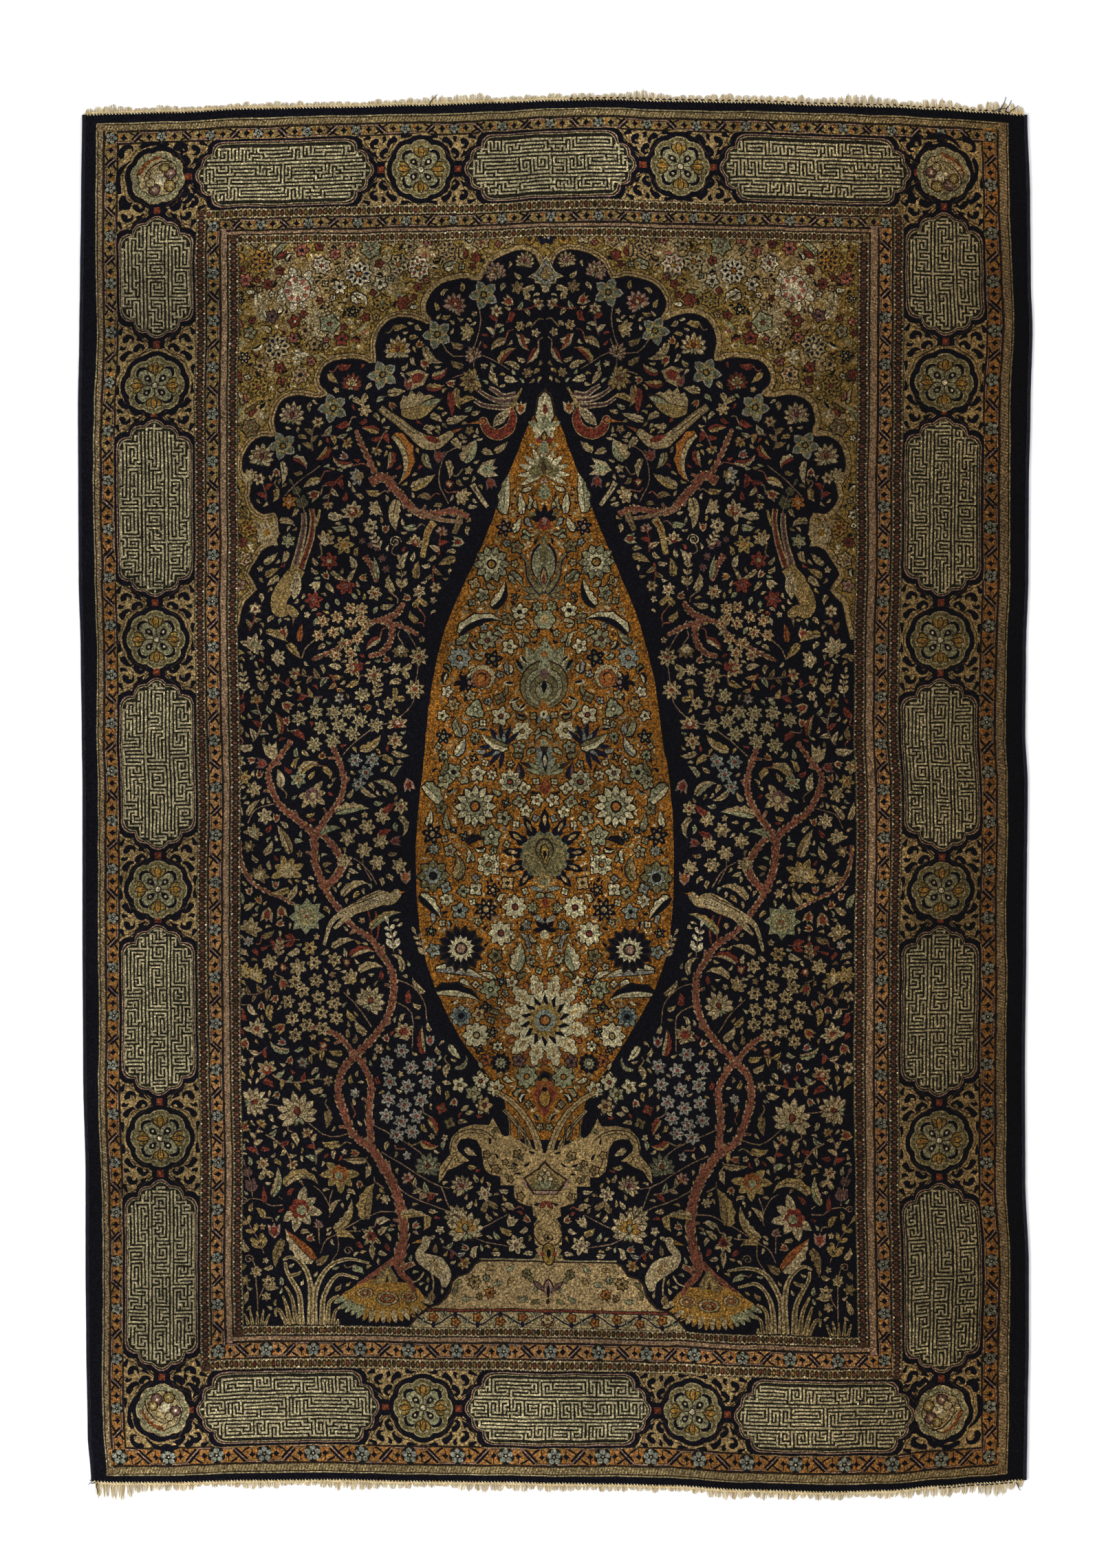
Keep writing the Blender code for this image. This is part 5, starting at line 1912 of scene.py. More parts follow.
def scatter(pen, room, region, box, sizes, gap, ground, chance):
    """Fill the region's free places with motifs, the largest first.

    Columns of sizes: length, width, number of tries. The motifs lie along a slowly turning flow."""
    low, high = box
    for length, width, tries in sizes:
        for _ in range(tries):
            place = complex(chance.uniform(low.real, high.real), chance.uniform(low.imag, high.imag))
            flow = 140 * math.sin(place.real / 90 + 1.3) + 120 * math.cos(place.imag / 110)
            heading = flow + chance.uniform(-70, 70)
            if not region(place):
                continue
            turn = cmath.rect(1, math.radians(heading))
            if not room.free(place, turn, length + 2 * gap, width + 2 * gap):
                continue
            before = len(pen.shapes)
            behind = place - turn * length * 0.8
            if ground == "field" and width > 11 and room.free(behind, turn, length * 0.6, 6):
                stem = [complex(-length * share, 5 * math.sin(5 * share)) for share in (0.4, 0.65, 0.9, 1.15)]
                pen.at(place, heading).line(stem, (2.2, 1.6), chance.choice(("fawn", "bronze", "clay")), 2)
            filler(pen.at(place, heading), length, width, ground, chance)
            room.take_shapes(pen.shapes[before::2])


def grow_vines(pen, room, region, box, tries, chance):
    """Scrolling stems with leaves on both sides and a flower at the tip, as long as the ground is free."""
    low, high = box
    for _ in range(tries):
        place = complex(chance.uniform(low.real, high.real), chance.uniform(low.imag, high.imag))
        heading = chance.uniform(0, 360)
        turn = chance.choice((1, -1)) * chance.uniform(3, 8)
        line = [place]
        while len(line) < 18:
            ahead = cmath.rect(1, math.radians(heading))
            if not region(line[-1] + 9 * ahead) or not room.free(line[-1] + 6 * ahead, ahead, 12, 20):
                break
            line.append(line[-1] + 5 * ahead)
            heading += turn
            turn += chance.uniform(-1, 1) - (turn * 1.6 if len(line) == 10 else 0)
        if len(line) < 8:
            continue
        before = len(pen.shapes)
        colour = chance.choice(("flax", "straw", "flax", "straw", "silver", "bronze", "oat"))
        core = chance.choice(("umber", "rust", None))
        line_heading = [math.degrees(cmath.phase(b - a)) for a, b in zip(line, line[1:])]
        pen.line(line[:-1], (3.0, 1.6), chance.choice(("mauve", "fawn", "rust", "mauve")), 2)
        for k in range(1, len(line) - 3, 2):
            side = 1 if k % 4 == 1 else -1
            size = chance.uniform(14, 19) * (1 - 0.4 * k / len(line))
            bend = side * chance.uniform(20, 60)
            leaf_colour = chance.choice((colour, colour, colour, "rust", "sage"))
            leaf(pen.at(line[k], line_heading[k] + side * 42), size, size * 0.48, bend, leaf_colour, core)
        tip = pen.at(line[-2], line_heading[-1])
        if chance.random() < 0.6:
            radius = chance.uniform(9, 12)
            side_flower(tip.ahead(3), radius, chance.choice(("straw", "flax", "rose", "oat")), "rust")
        else:
            radius = chance.uniform(7, 9)
            blossom(tip.ahead(4), radius, chance.choice(("straw", "flax", "silver")), "rust", 6)
        room.take_shapes(pen.shapes[before::2])


def arch_pendant(pen):
    """A pale palmette that hangs from the arch's middle point, with a bud under it."""
    hung = pen.at(spot(FIELD_AXIS, 380), -90)
    side = [0j, 6 + 5j, 14 + 8j, 22 + 14j, 29 + 25j, 32 + 15j, 38 + 15j, 39 + 8j, 45 + 6j, 47 + 0j]
    for share, colour in (
        (1.08, "umber"), (1, "straw"), (0.86, "moss"), (0.76, "silver"), (0.5, "umber"), (0.42, "oat"),
    ):
        half = [24 + (point - 24) * share for point in side]
        hung.fill(mirrored(half, True), colour)
    hung.ahead(48).fill(scallop(5.5, 3, 0.2, 4), "straw")


# What is sown between the drawn motifs. Columns: length, width, number of tries.
CORNER_SIZES = (
    (30, 20, 900), (24, 15, 2500), (18, 12, 5000), (13, 8.5, 9000), (9, 6, 14000), (6.5, 4.5, 14000),
)
MEDALLION_SIZES = (
    (34, 24, 1500), (28, 19, 4000), (22, 15, 9000), (16, 10, 14000), (11, 7, 20000), (7, 4.5, 20000),
)
FIELD_SIZES = (
    (40, 25, 2500), (34, 21, 6000), (27, 15, 12000), (20, 12, 20000), (14, 8.5, 30000), (10, 6.5, 12000),
)
# How far two sown motifs stay apart, in millimetres; less than nothing lets them overlap.
BRIGHT_GAP = -1.7
FIELD_GAP = 0.4
VINE_TRIES = 1500


def sow(pen, room):
    """Grow vines and scatter small motifs in the room that is left."""
    arch = smooth(spots(*ARCH), 2)
    room.take(ribbon(arch, lambda share: 12))
    edge = smooth(medallion_edge(), 2)
    room.take(ribbon([point - 5 for point in edge], lambda share: 30))
    foot, tip = complex(0, edge[-1].imag), complex(0, edge[0].imag)
    in_medallion = ring_inside(edge + [foot, tip])
    near_medallion = ring_inside([point - 16 for point in edge] + [foot, tip + 8j])
    top, side = spot(793, 345), spot(343, 345)
    in_corner = ring_inside([top, *arch, side])
    near_corner = ring_inside([top, *[point + 9 - 10j for point in arch], side])

    def in_dark(place):
        return not near_medallion(place) and not near_corner(place)

    chance = random.Random(11)
    corner_box = spot(345, 930), spot(790, 345)
    medallion_box = spot(600, 1660), spot(790, 640)
    field_box = spot(350, 1930), spot(790, 380)
    scatter(pen, room, in_corner, corner_box, CORNER_SIZES, BRIGHT_GAP, "corner", chance)
    scatter(pen, room, in_medallion, medallion_box, MEDALLION_SIZES, BRIGHT_GAP, "medallion", chance)
    grow_vines(pen, room, in_dark, field_box, VINE_TRIES, chance)
    scatter(pen, room, in_dark, field_box, FIELD_SIZES, FIELD_GAP, "field", chance)


def draw_field(shapes):
    """The field: one pen draws on its middle line, and the other draws each shape on both halves."""
    middle = Pen(shapes, ((-AXIS_SHIFT, 1 + 0j, False),))
    pen = Pen(shapes, ((-AXIS_SHIFT, 1 + 0j, False), (-AXIS_SHIFT, -1 + 0j, True)))
    field_ground(pen, middle)
    pale_patches(pen)
    ground = len(shapes)
    spandrel_left(pen)
    field_left(pen)
    medallion_sides(pen)
    medallion_middle(middle)
    arch_pendant(middle)
    plinth(pen, middle)
    vase(pen, middle)
    room = Room(spot(340, 1945), spot(793, 345))
    room.take_shapes(shapes[ground:])
    sow(pen, room)


# ---------------------------------------------------------------- the uneven cloth, as the frame has it
MM = 0.001
FIT_GAP = 0.3
PILE_TOP = 5.9
PILE_FOOT = 3.6
BACK_TOP = 3.4
RIM = 1.8
RIM_DROP = 1.7
SELVEDGE_WIDTH = 5.0
SELVEDGE_HEIGHT = 5.6
WEB_DEPTH = 4.0
WEB_THICKNESS = 2.0
LOCKS_PER_END = 120
LOCK_SHORTEST = 3.0
LOCK_RAGGEDNESS = 2.2

# How far the side edges stray outwards. Columns: height up the rug, left edge, right edge.
SIDE_EDGES = (
    (-1004, -13.0, -2.0), (-930, -8.0, -1.0), (-800, -6.0, 1.0), (-690, -5.0, 1.0), (-560, -5.0, -4.0),
    (-400, -1.5, -4.5), (-200, -0.5, -2.5), (20, -0.5, -0.5), (95, 0.5, -4.0), (210, 2.0, -3.0),
    (330, 5.0, 0.5), (450, 5.5, 1.0), (570, 6.0, 3.5), (690, 4.0, 6.5), (760, 3.0, 4.0),
    (880, 1.5, 3.0), (1004, 0.0, -1.0),
)
# How far the end edges stray outwards. Columns: place across the rug, top edge, bottom edge.
END_EDGES = (
    (-683, -13.5, -8.0), (-640, -12.0, -6.0), (-560, -10.0, -6.0), (-440, -4.5, -9.0), (-320, -2.5, -10.0),
    (-200, 0.5, -7.5), (-80, 4.5, -6.5), (0, 7.5, -4.5), (80, 9.0, -3.5), (160, 6.5, -1.5),
    (280, 4.5, 5.0), (400, 0.5, 8.0), (480, -1.5, 6.0), (560, -5.5, -0.5), (620, -9.5, -5.0),
    (683, -13.5, -9.5),
)
# How far the locks reach past the web. Columns: place across the rug, top fringe, bottom fringe.
FRINGE_REACH = (
    (-683, 6.0, 20.0), (-645, 9.0, 23.0), (-605, 5.0, 10.0), (-560, 7.0, 9.0), (-520, 3.5, 5.0),
    (-445, 6.0, 9.0), (-365, 5.0, 5.0), (-320, 3.5, 12.0), (-240, 6.0, 7.0), (-160, 10.0, 5.0),
    (-120, 12.0, 12.0), (-80, 4.0, 9.0), (0, 6.0, 8.0), (80, 5.0, 7.0), (118, 11.0, 6.0),
    (200, 4.0, 6.0), (240, 8.0, 12.0), (320, 9.0, 9.0), (400, 8.0, 9.0), (440, 14.0, 7.0),
    (520, 5.5, 9.0), (560, 12.0, 13.0), (600, 5.0, 10.0), (640, 14.0, 19.0), (683, 10.0, 8.0),
)


def read_table(table, column, place):
    """The table's value at that place, eased from each row to the next."""
    if place <= table[0][0]:
        return table[0][column]
    for low, high in zip(table, table[1:]):
        if place <= high[0]:
            share = (place - low[0]) / (high[0] - low[0])
            return low[column] + (high[column] - low[column]) * share * share * (3 - 2 * share)
    return table[-1][column]


def side_x(side, y):
    """X of the cloth's edge on side -1 (left) or +1 (right)."""
    return side * (HALF_WIDTH + read_table(SIDE_EDGES, 1 if side < 0 else 2, y))


def end_y(end, x):
    """Y of the cloth's edge at end +1 (top) or -1 (bottom)."""
    return end * (HALF_LENGTH + read_table(END_EDGES, 1 if end > 0 else 2, x))


def on_cloth(place):
    """Where a point of the straight drawing lies on the uneven cloth."""
    right_share = (place.real / HALF_WIDTH + 1) / 2
    x = side_x(-1, place.imag) * (1 - right_share) + side_x(1, place.imag) * right_share
    top_share = (place.imag / HALF_LENGTH + 1) / 2
    y = end_y(-1, x) * (1 - top_share) + end_y(1, x) * top_share
    return complex(x, y)


def edge_room(place):
    """How far a point of the drawing is from the cloth's nearest edge."""
    return min(HALF_WIDTH - abs(place.real), HALF_LENGTH - abs(place.imag))


# The waves by which uneven knotting shifts the drawing. Columns: length, reach, plane of the noise.
KNOTTING_WAVES = ((150, 3.0, 0.0), (30, 1.0, 5.0), (4, 0.9, 9.0))


def hand_knotted(place):
    """Shift a point of the drawing as uneven knotting does; nothing moves at the cloth's edge."""
    hold = min(1.0, max(0.0, edge_room(place) - 2) / 16)
    if hold == 0:
        return place
    shift = 0j
    for wave, reach, plane in KNOTTING_WAVES:
        u, v = place.real / wave, place.imag / wave
        shift += reach * complex(noise.noise((u, v, plane)), noise.noise((u, v, plane + 2.5)))
    return place + hold * shift


# ---------------------------------------------------------------- meshes
def linear(channel):
    """A whole-number sRGB channel as a linear share."""
    share = channel / 255
    return share / 12.92 if share <= 0.04045 else ((share + 0.055) / 1.055) ** 2.4


# How strongly fine dark drawing shows over a dye; it is carried as the dye's alpha.
CRACKLED = {
    "honey": 1.0, "marigold": 0.8, "cream": 0.75, "ivory": 0.7, "stone": 0.7, "sand": 0.6, "khaki": 0.5,
    "tan": 0.5, "sage": 0.4, "gold": 0.4, "rust": 0.45, "ochre": 0.5, "fawn sand": 0.5, "flax": 0.6,
    "straw": 0.6, "oat": 0.6, "silver": 0.4,
}
LINEAR_DYES = {
    name: [linear(channel) for channel in colour] + [CRACKLED.get(name, 0.0)]
    for name, colour in DYES.items()
}


class Cloth:
    """Gathers the points, faces, dyes and bake coordinates of one piece."""

    def __init__(self):
        self.points = []
        self.faces = []
        self.dyes = []
        self.bake = []

    def add(self, face, dye, bake):
        self.faces.append(face)
        self.dyes.append(dye)
        self.bake.append(bake)

    def piece(self, name, material, slot, *nodes):
        """Make the object, hang it on the root body and hide the CAD parts that it stands for."""
        mesh = bpy.data.meshes.new(name)
        mesh.from_pydata([(x * MM, y * MM, z * MM) for x, y, z in self.points], [], self.faces)
        dyes, places = [], []
        for face, dye, bake in zip(self.faces, self.dyes, self.bake):
            dyes += LINEAR_DYES[dye] * len(face)
            for u, v in bake:
                places += (u, v)
        mesh.color_attributes.new("dye", "FLOAT_COLOR", "CORNER").data.foreach_set("color", dyes)
        mesh.uv_layers.new(name="OFBake").data.foreach_set("uv", places)
        mesh.materials.append(material)
        obj = bpy.data.objects.new(name, mesh)
        bpy.context.scene.collection.objects.link(obj)
        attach(obj, "root")
        if nodes:
            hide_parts(*nodes)
        return obj


def smooth_faces(obj):
    obj.data.polygons.foreach_set("use_smooth", [True] * len(obj.data.polygons))


def from_leftmost(ring):
    """The ring from its leftmost point on, turned so that its inside lies to the left there."""
    ring = [point for point, before in zip(ring, ring[-1:] + ring[:-1]) if abs(point - before) > 1e-3]
    start = min(range(len(ring)), key=lambda k: (ring[k].real, ring[k].imag))
    ring = ring[start:] + ring[:start]
    inward = ((ring[0] - ring[-1]).conjugate() * (ring[1] - ring[0])).imag
    return ring if inward > 0 else ring[:1] + ring[:0:-1]


# ---------------------------------------------------------------- the pile
GRID_COLUMNS = 60
GRID_ROWS = 88
LONGEST_SIDE = 14.0
STRAIGHT_ENOUGH = 0.2
FIELD_CROSS = complex(-14, 114)
PILE_PIECES = (
    "pile_field_1", "pile_field_2", "pile_field_3", "pile_field_4",
    "pile_border_bottom", "pile_border_right", "pile_border_top", "pile_border_left",
)


def pile_piece(place):
    """Which of the pile's eight pieces a place of the drawing belongs to."""
    left, right, bottom, top = band_box("field")
    if left < place.real < right and bottom < place.imag < top:
        return (1 if place.real > FIELD_CROSS.real else 0) + (2 if place.imag > FIELD_CROSS.imag else 0)
    depths = (
        (HALF_LENGTH + place.imag) / (HALF_LENGTH + bottom),
        (HALF_WIDTH - place.real) / (HALF_WIDTH - right),
        (HALF_LENGTH - place.imag) / (HALF_LENGTH - top),
        (HALF_WIDTH + place.real) / (HALF_WIDTH + left),
    )
    return 4 + depths.index(min(depths))


def divided(ring):
    """The ring with no side longer than LONGEST_SIDE, so that it bends with the cloth."""
    places = []
    for a, b in zip(ring, ring[1:] + ring[:1]):
        parts = max(1, math.ceil(abs(b - a) / LONGEST_SIDE))
        places += [a + (b - a) * part / parts for part in range(parts)]
    return places


def grid_place(column, columns, row, rows):
    """A point of a grid that spans the straight drawing."""
    return complex(HALF_WIDTH * (2 * column / columns - 1), HALF_LENGTH * (2 * row / rows - 1))


def grid_places():
    """Points all over the cloth, close enough for it to bend."""
    for column in range(GRID_COLUMNS + 1):
        for row in range(GRID_ROWS + 1):
            yield grid_place(column, GRID_COLUMNS, row, GRID_ROWS)


def triangulate(places, lines, rings):
    """Blender's constrained triangulation of points, lines and filled rings of the drawing."""
    return delaunay_2d_cdt([Vector((p.real, p.imag)) for p in places], lines, rings, 0, 1e-5, True)


def box_round(ring):
    """Left, right, bottom and top of a ring."""
    return (
        min(place.real for place in ring), max(place.real for place in ring),
        min(place.imag for place in ring), max(place.imag for place in ring),
    )


def topmost(middle, over, boxes):
    """The highest of the shapes over a triangle, without those that spilled out of their own boxes."""
    for shape in sorted(over, reverse=True):
        left, right, bottom, top = boxes[shape]
        if left < middle.real < right and bottom < middle.imag < top:
            return shape
    return 0


def first_cut(shapes):
    """Cut the drawing into triangles, each with the dye of the topmost shape over it."""
    sheet = box_ring((-HALF_WIDTH, HALF_WIDTH, -HALF_LENGTH, HALF_LENGTH))
    places, rings, dyes, boxes = [], [], [], []
    for ring, dye in [(sheet, "night"), *shapes]:
        start = len(places)
        places += divided(from_leftmost(ring))
        rings.append(list(range(start, len(places))))
        dyes.append(dye)
        boxes.append(box_round(ring))
    left, right, bottom, top = field = band_box("field")
    seams = [
        *zip(sheet, box_ring(field)),
        (complex(FIELD_CROSS.real, bottom), complex(FIELD_CROSS.real, top)),
        (complex(left, FIELD_CROSS.imag), complex(right, FIELD_CROSS.imag)),
    ]
    lines = []
    for a, b in seams:
        parts = math.ceil(abs(b - a) / LONGEST_SIDE)
        lines += [(len(places) + part, len(places) + part + 1) for part in range(parts)]
        places += [a + (b - a) * part / parts for part in range(parts + 1)]
    places += grid_places()
    cut = triangulate(places, lines, rings)
    points = [complex(*point) for point in cut[0]]
    middles = [sum(points[i] for i in face) / 3 for face in cut[2]]
    return points, cut[2], [dyes[topmost(middle, over, boxes)] for middle, over in zip(middles, cut[5])]


def dye_lines(points, faces, dyes):
    """The lines where the dye or the pile's piece changes, {(start, end): (left side, right side)}."""
    sides = {}
    for face, dye in zip(faces, dyes):
        side = (dye, pile_piece(sum(points[i] for i in face) / 3))
        for a, b in zip(face, face[1:] + face[:1]):
            sides[a, b] = side
    lines = {}
    for (a, b), side in sides.items():
        other = sides.get((b, a))
        if other != side and (b, a) not in lines:
            lines[a, b] = (side, other)
    return lines


def straighten(points, lines):
    """Take out the points that lie on a straight run between their two neighbours."""
    neighbours = {}
    for a, b in lines:
        neighbours.setdefault(a, []).append(b)
        neighbours.setdefault(b, []).append(a)
    for middle in list(neighbours):
        if len(neighbours[middle]) != 2 or edge_room(points[middle]) < 2 * RIM:
            continue
        a, b = neighbours[middle]
        chord = points[b] - points[a]
        if a in neighbours[b] or not 0.01 < abs(chord) < LONGEST_SIDE:
            continue
        place = chord.conjugate() * (points[middle] - points[a]) / abs(chord)
        if abs(place.imag) > STRAIGHT_ENOUGH or not 0 < place.real < abs(chord):
            continue
        lines[a, b] = lines.pop((a, middle)) if (a, middle) in lines else lines.pop((middle, a))[::-1]
        lines.pop((middle, b) if (middle, b) in lines else (b, middle))
        neighbours[a][neighbours[a].index(middle)] = b
        neighbours[b][neighbours[b].index(middle)] = a
        del neighbours[middle]


def second_cut(points, lines):
    """Triangles between the lines alone, each with its side's (dye, piece), without what lay hidden."""
    numbers, places = {}, []
    for line in lines:
        for end in line:
            if end not in numbers:
                numbers[end] = len(places)
                places.append(points[end])
    borders = list(lines.items())
    edges = [(numbers[a], numbers[b]) for a, b in lines]
    for inset in (RIM / 3, RIM):
        wide, deep = HALF_WIDTH - inset, HALF_LENGTH - inset
        rim = divided(box_ring((-wide, wide, -deep, deep)))
        edges += [(len(places) + i, len(places) + (i + 1) % len(rim)) for i in range(len(rim))]
        places += rim
    places += grid_places()
    cut = triangulate(places, edges, [])
    found = [complex(*point) for point in cut[0]]
    sides = {}
    for (p, q), origins in zip(cut[1], cut[4]):
        if origins and min(origins) < len(borders):
            (a, b), (left, right) = borders[min(origins)]
            if ((points[b] - points[a]).conjugate() * (found[q] - found[p])).real < 0:
                left, right = right, left
            sides[p, q], sides[q, p] = left, right
    owners, spreading = {}, []
    regions = [None] * len(cut[2])
    for i, face in enumerate(cut[2]):
        for edge in zip(face, face[1:] + face[:1]):
            owners[edge] = i
            if edge in sides and regions[i] is None:
                regions[i] = sides[edge]
                spreading.append(i)
    while spreading:
        i = spreading.pop()
        face = cut[2][i]
        for a, b in zip(face, face[1:] + face[:1]):
            after = owners.get((b, a))
            if (a, b) not in sides and after is not None and regions[after] is None:
                regions[after] = regions[i]
                spreading.append(after)
    return found, cut[2], regions


def bake_place(point, box, low, high):
    """Where a point of the piece lies in its bake picture, in the rows from low to high."""
    left, right, bottom, top = box
    return (0.01 + 0.98 * (point.real - left) / (right - left),
            low + (high - low) * (point.imag - bottom) / (top - bottom))


def bake_quad(left, right, low, high):
    """The corners of a box in a bake picture."""
    return [(left, low), (right, low), (right, high), (left, high)]


def cap_ring(ring):
    """Triangles that fill an anticlockwise ring of points, as indices into it."""
    cut = triangulate(ring, [], [list(range(len(ring)))])
    origins = [found[0] for found in cut[3]]
    return [[origins[i] for i in face] for face, over in zip(cut[2], cut[5]) if over]


def slab_loop(faces):
    """The outer edge of a patch of faces, as a ring of point numbers."""
    following = {}
    for face in faces:
        for a, b in zip(face, face[1:] + face[:1]):
            following[(a, b)] = True
    ahead = {a: b for a, b in following if (b, a) not in following}
    start = next(iter(ahead))
    ring = [start]
    while ahead[ring[-1]] != start:
        ring.append(ahead[ring[-1]])
    return ring


# The rows of a slab's bake picture that its shown face, its walls and its hidden face take.
SHOWN_ROWS = (0.05, 0.99)
WALL_ROWS = (0.03, 0.02)
HIDDEN_ROWS = (0.002, 0.02)


def close_slab(slab, places, box, height, faces_up):
    """Give a patch of faces, which looks up or down, its walls and its hidden face at that height."""
    ring = slab_loop(slab.faces)
    other = {i: len(slab.points) + k for k, i in enumerate(ring)}
    slab.points += [(places[i].real, places[i].imag, height) for i in ring]
    near, far = WALL_ROWS
    for a, b in zip(ring, ring[1:] + ring[:1]):
        wall = [bake_place(places[i], box, row, row) for i, row in ((b, near), (a, near), (a, far), (b, far))]
        slab.add([b, a, other[a], other[b]], "night", wall)
    around = ring if faces_up else ring[::-1]
    for face in cap_ring([places[i] for i in around]):
        ids = [around[i] for i in (face[::-1] if faces_up else face)]
        slab.add([other[i] for i in ids], "umber", [bake_place(places[i], box, *HIDDEN_ROWS) for i in ids])


PILE_RELIEF = 0.2
RELIEF_SPAN = 9


def pile_height(point):
    """How high the knots stand at a point of the drawing; they fall off round the rim."""
    relief = noise.noise((point.real / RELIEF_SPAN, point.imag / RELIEF_SPAN, 3.0))
    height = PILE_TOP + PILE_RELIEF * relief
    room = edge_room(point)
    if room < RIM:
        share = 1 - max(0.0, room) / RIM
        height -= RIM_DROP * (1 - math.sqrt(max(0.0, 1 - share * share)))
    return height


def pile_slab(name, members, moved, heights, material):
    """One piece of the pile, from its pairs of (face, dye)."""
    slab = Cloth()
    numbers = {}
    for face, _ in members:
        for i in face:
            numbers.setdefault(i, len(numbers))
    places = [moved[i] for i in numbers]
    box = box_round(places)
    slab.points = [(place.real, place.imag, heights[i]) for place, i in zip(places, numbers)]
    for face, dye in members:
        ids = [numbers[i] for i in face]
        slab.add(ids, dye, [bake_place(places[i], box, *SHOWN_ROWS) for i in ids])
    close_slab(slab, places, box, PILE_FOOT, True)
    print(name, len(slab.faces), "faces")
    return slab.piece(name, material, "pile", "pile_cloth")


def pile(shapes, material):
    """The knotted pile as eight closed slabs, and the cut drawing for the back."""
    points, faces, dyes = first_cut(shapes)
    lines = dye_lines(points, faces, dyes)
    straighten(points, lines)
    points, faces, regions = second_cut(points, lines)
    heights = [pile_height(point) for point in points]
    moved = [on_cloth(hand_knotted(point)) for point in points]
    sorted_faces = [[] for _ in PILE_PIECES]
    for face, (dye, number) in zip(faces, regions):
        sorted_faces[number].append((face, dye))
    pieces = [
        pile_slab(name, members, moved, heights, material)
        for name, members in zip(PILE_PIECES, sorted_faces)
    ]
    return pieces, (points, faces, [dye for dye, _ in regions])


# ---------------------------------------------------------------- the back of the cloth
KNOT_STEP = 7.2


def back_dyes(drawing, columns, rows):
    """The dye that shows at the middle of each cell of a grid over the cloth, by row and column."""
    points, faces, dyes = drawing
    cells = {}
    wide, deep = 2 * HALF_WIDTH / columns, 2 * HALF_LENGTH / rows

    def cell_of(point):
        return complex((point.real + HALF_WIDTH) / wide - 0.5, (point.imag + HALF_LENGTH) / deep - 0.5)

    for face, dye in zip(faces, dyes):
        a, b, c = [cell_of(points[i]) for i in face]
        first, last = math.ceil(min(a.real, b.real, c.real)), math.floor(max(a.real, b.real, c.real))
        low, high = math.ceil(min(a.imag, b.imag, c.imag)), math.floor(max(a.imag, b.imag, c.imag))
        for column in range(first, last + 1):
            for row in range(low, high + 1):
                at = complex(column, row)
                if all(((q - p).conjugate() * (at - p)).imag >= 0 for p, q in ((a, b), (b, c), (c, a))):
                    cells[column, row] = dye
    return cells


def foundation(drawing, material):
    """The cloth under the pile: its knotted back shows the drawing, and its top is hidden."""
    columns, rows = round(2 * HALF_WIDTH / KNOT_STEP), round(2 * HALF_LENGTH / KNOT_STEP)
    cells = back_dyes(drawing, columns, rows)
    back = Cloth()
    places = []
    for row in range(rows + 1):
        for column in range(columns + 1):
            places.append(on_cloth(grid_place(column, columns, row, rows)))
    box = box_round(places)
    back.points = [(p.real, p.imag, 0.0) for p in places]
    for row in range(rows):
        for column in range(columns):
            i = row * (columns + 1) + column
            ids = [i, i + columns + 1, i + columns + 2, i + 1]
            dye = cells.get((column, row), "night")
            back.add(ids, dye, [bake_place(places[k], box, *SHOWN_ROWS) for k in ids])
    close_slab(back, places, box, BACK_TOP, False)
    return back.piece("foundation", material, "pile", "pile_cloth")


# ---------------------------------------------------------------- the bound sides
def selvedge(side, material):
    """A cord down the side, wrapped in dark yarn, turn by turn."""
    sides, wrap, step, columns = 8, 2.4, 0.8, 12
    count = round(2 * HALF_LENGTH / step)
    cord = Cloth()
    half_wide, half_high = SELVEDGE_WIDTH / 2 - 0.1, SELVEDGE_HEIGHT / 2
    for i in range(count + 1):
        y = HALF_LENGTH * (2 * i / count - 1)
        edge = on_cloth(complex(side * HALF_WIDTH, y))
        swell = 1 + 0.07 * noise.noise((side * 4.0, y / 14, 0.0))
        for k in range(sides):
            angle = 2 * math.pi * k / sides
            turn = (i * step / wrap + 0.5 * k / sides) % 1.0
            girth = swell * (0.93 + 0.07 * math.sin(math.pi * turn))
            wide, high = half_wide * girth, half_high * girth
            middle = edge.real + side * (FIT_GAP + half_wide + 0.1)
            height = max(0.0, half_high + high * math.sin(angle))
            cord.points.append((middle + wide * math.cos(angle), edge.imag, height))
    chance = random.Random(41 + side)
    for i in range(count):
        dye = chance.choice(("night", "night", "navy", "navy", "ink"))
        column, along = divmod(i / count * columns, 1.0)
        for k in range(sides):
            following = (k + 1) % sides
            face = [i * sides + k, i * sides + following, (i + 1) * sides + following, (i + 1) * sides + k]
            left = (column + 0.05 + 0.9 * k / sides) / columns
            right = (column + 0.05 + 0.9 * (k + 1) / sides) / columns
            low, high = along * 0.98 + 0.01, (along + columns / count) * 0.98 + 0.01
            cord.add(face, dye, bake_quad(left, right, low, high))
    for face in (list(range(sides))[::-1], list(range(count * sides, count * sides + sides))):
        cord.add(face, "night", [(0.001, 0.001)] * sides)
    name = "left" if side < 0 else "right"
    obj = cord.piece(f"side_binding_{name}", material, "selvedge_yarn", f"selvedge_{name}")
    smooth_faces(obj)
    return obj


# ---------------------------------------------------------------- the woven ends and their fringes
def beyond_end(across, end, out):
    """A place out past the cloth's end edge."""
    edge = on_cloth(complex(across, end * HALF_LENGTH))
    return complex(edge.real, edge.imag + end * out)


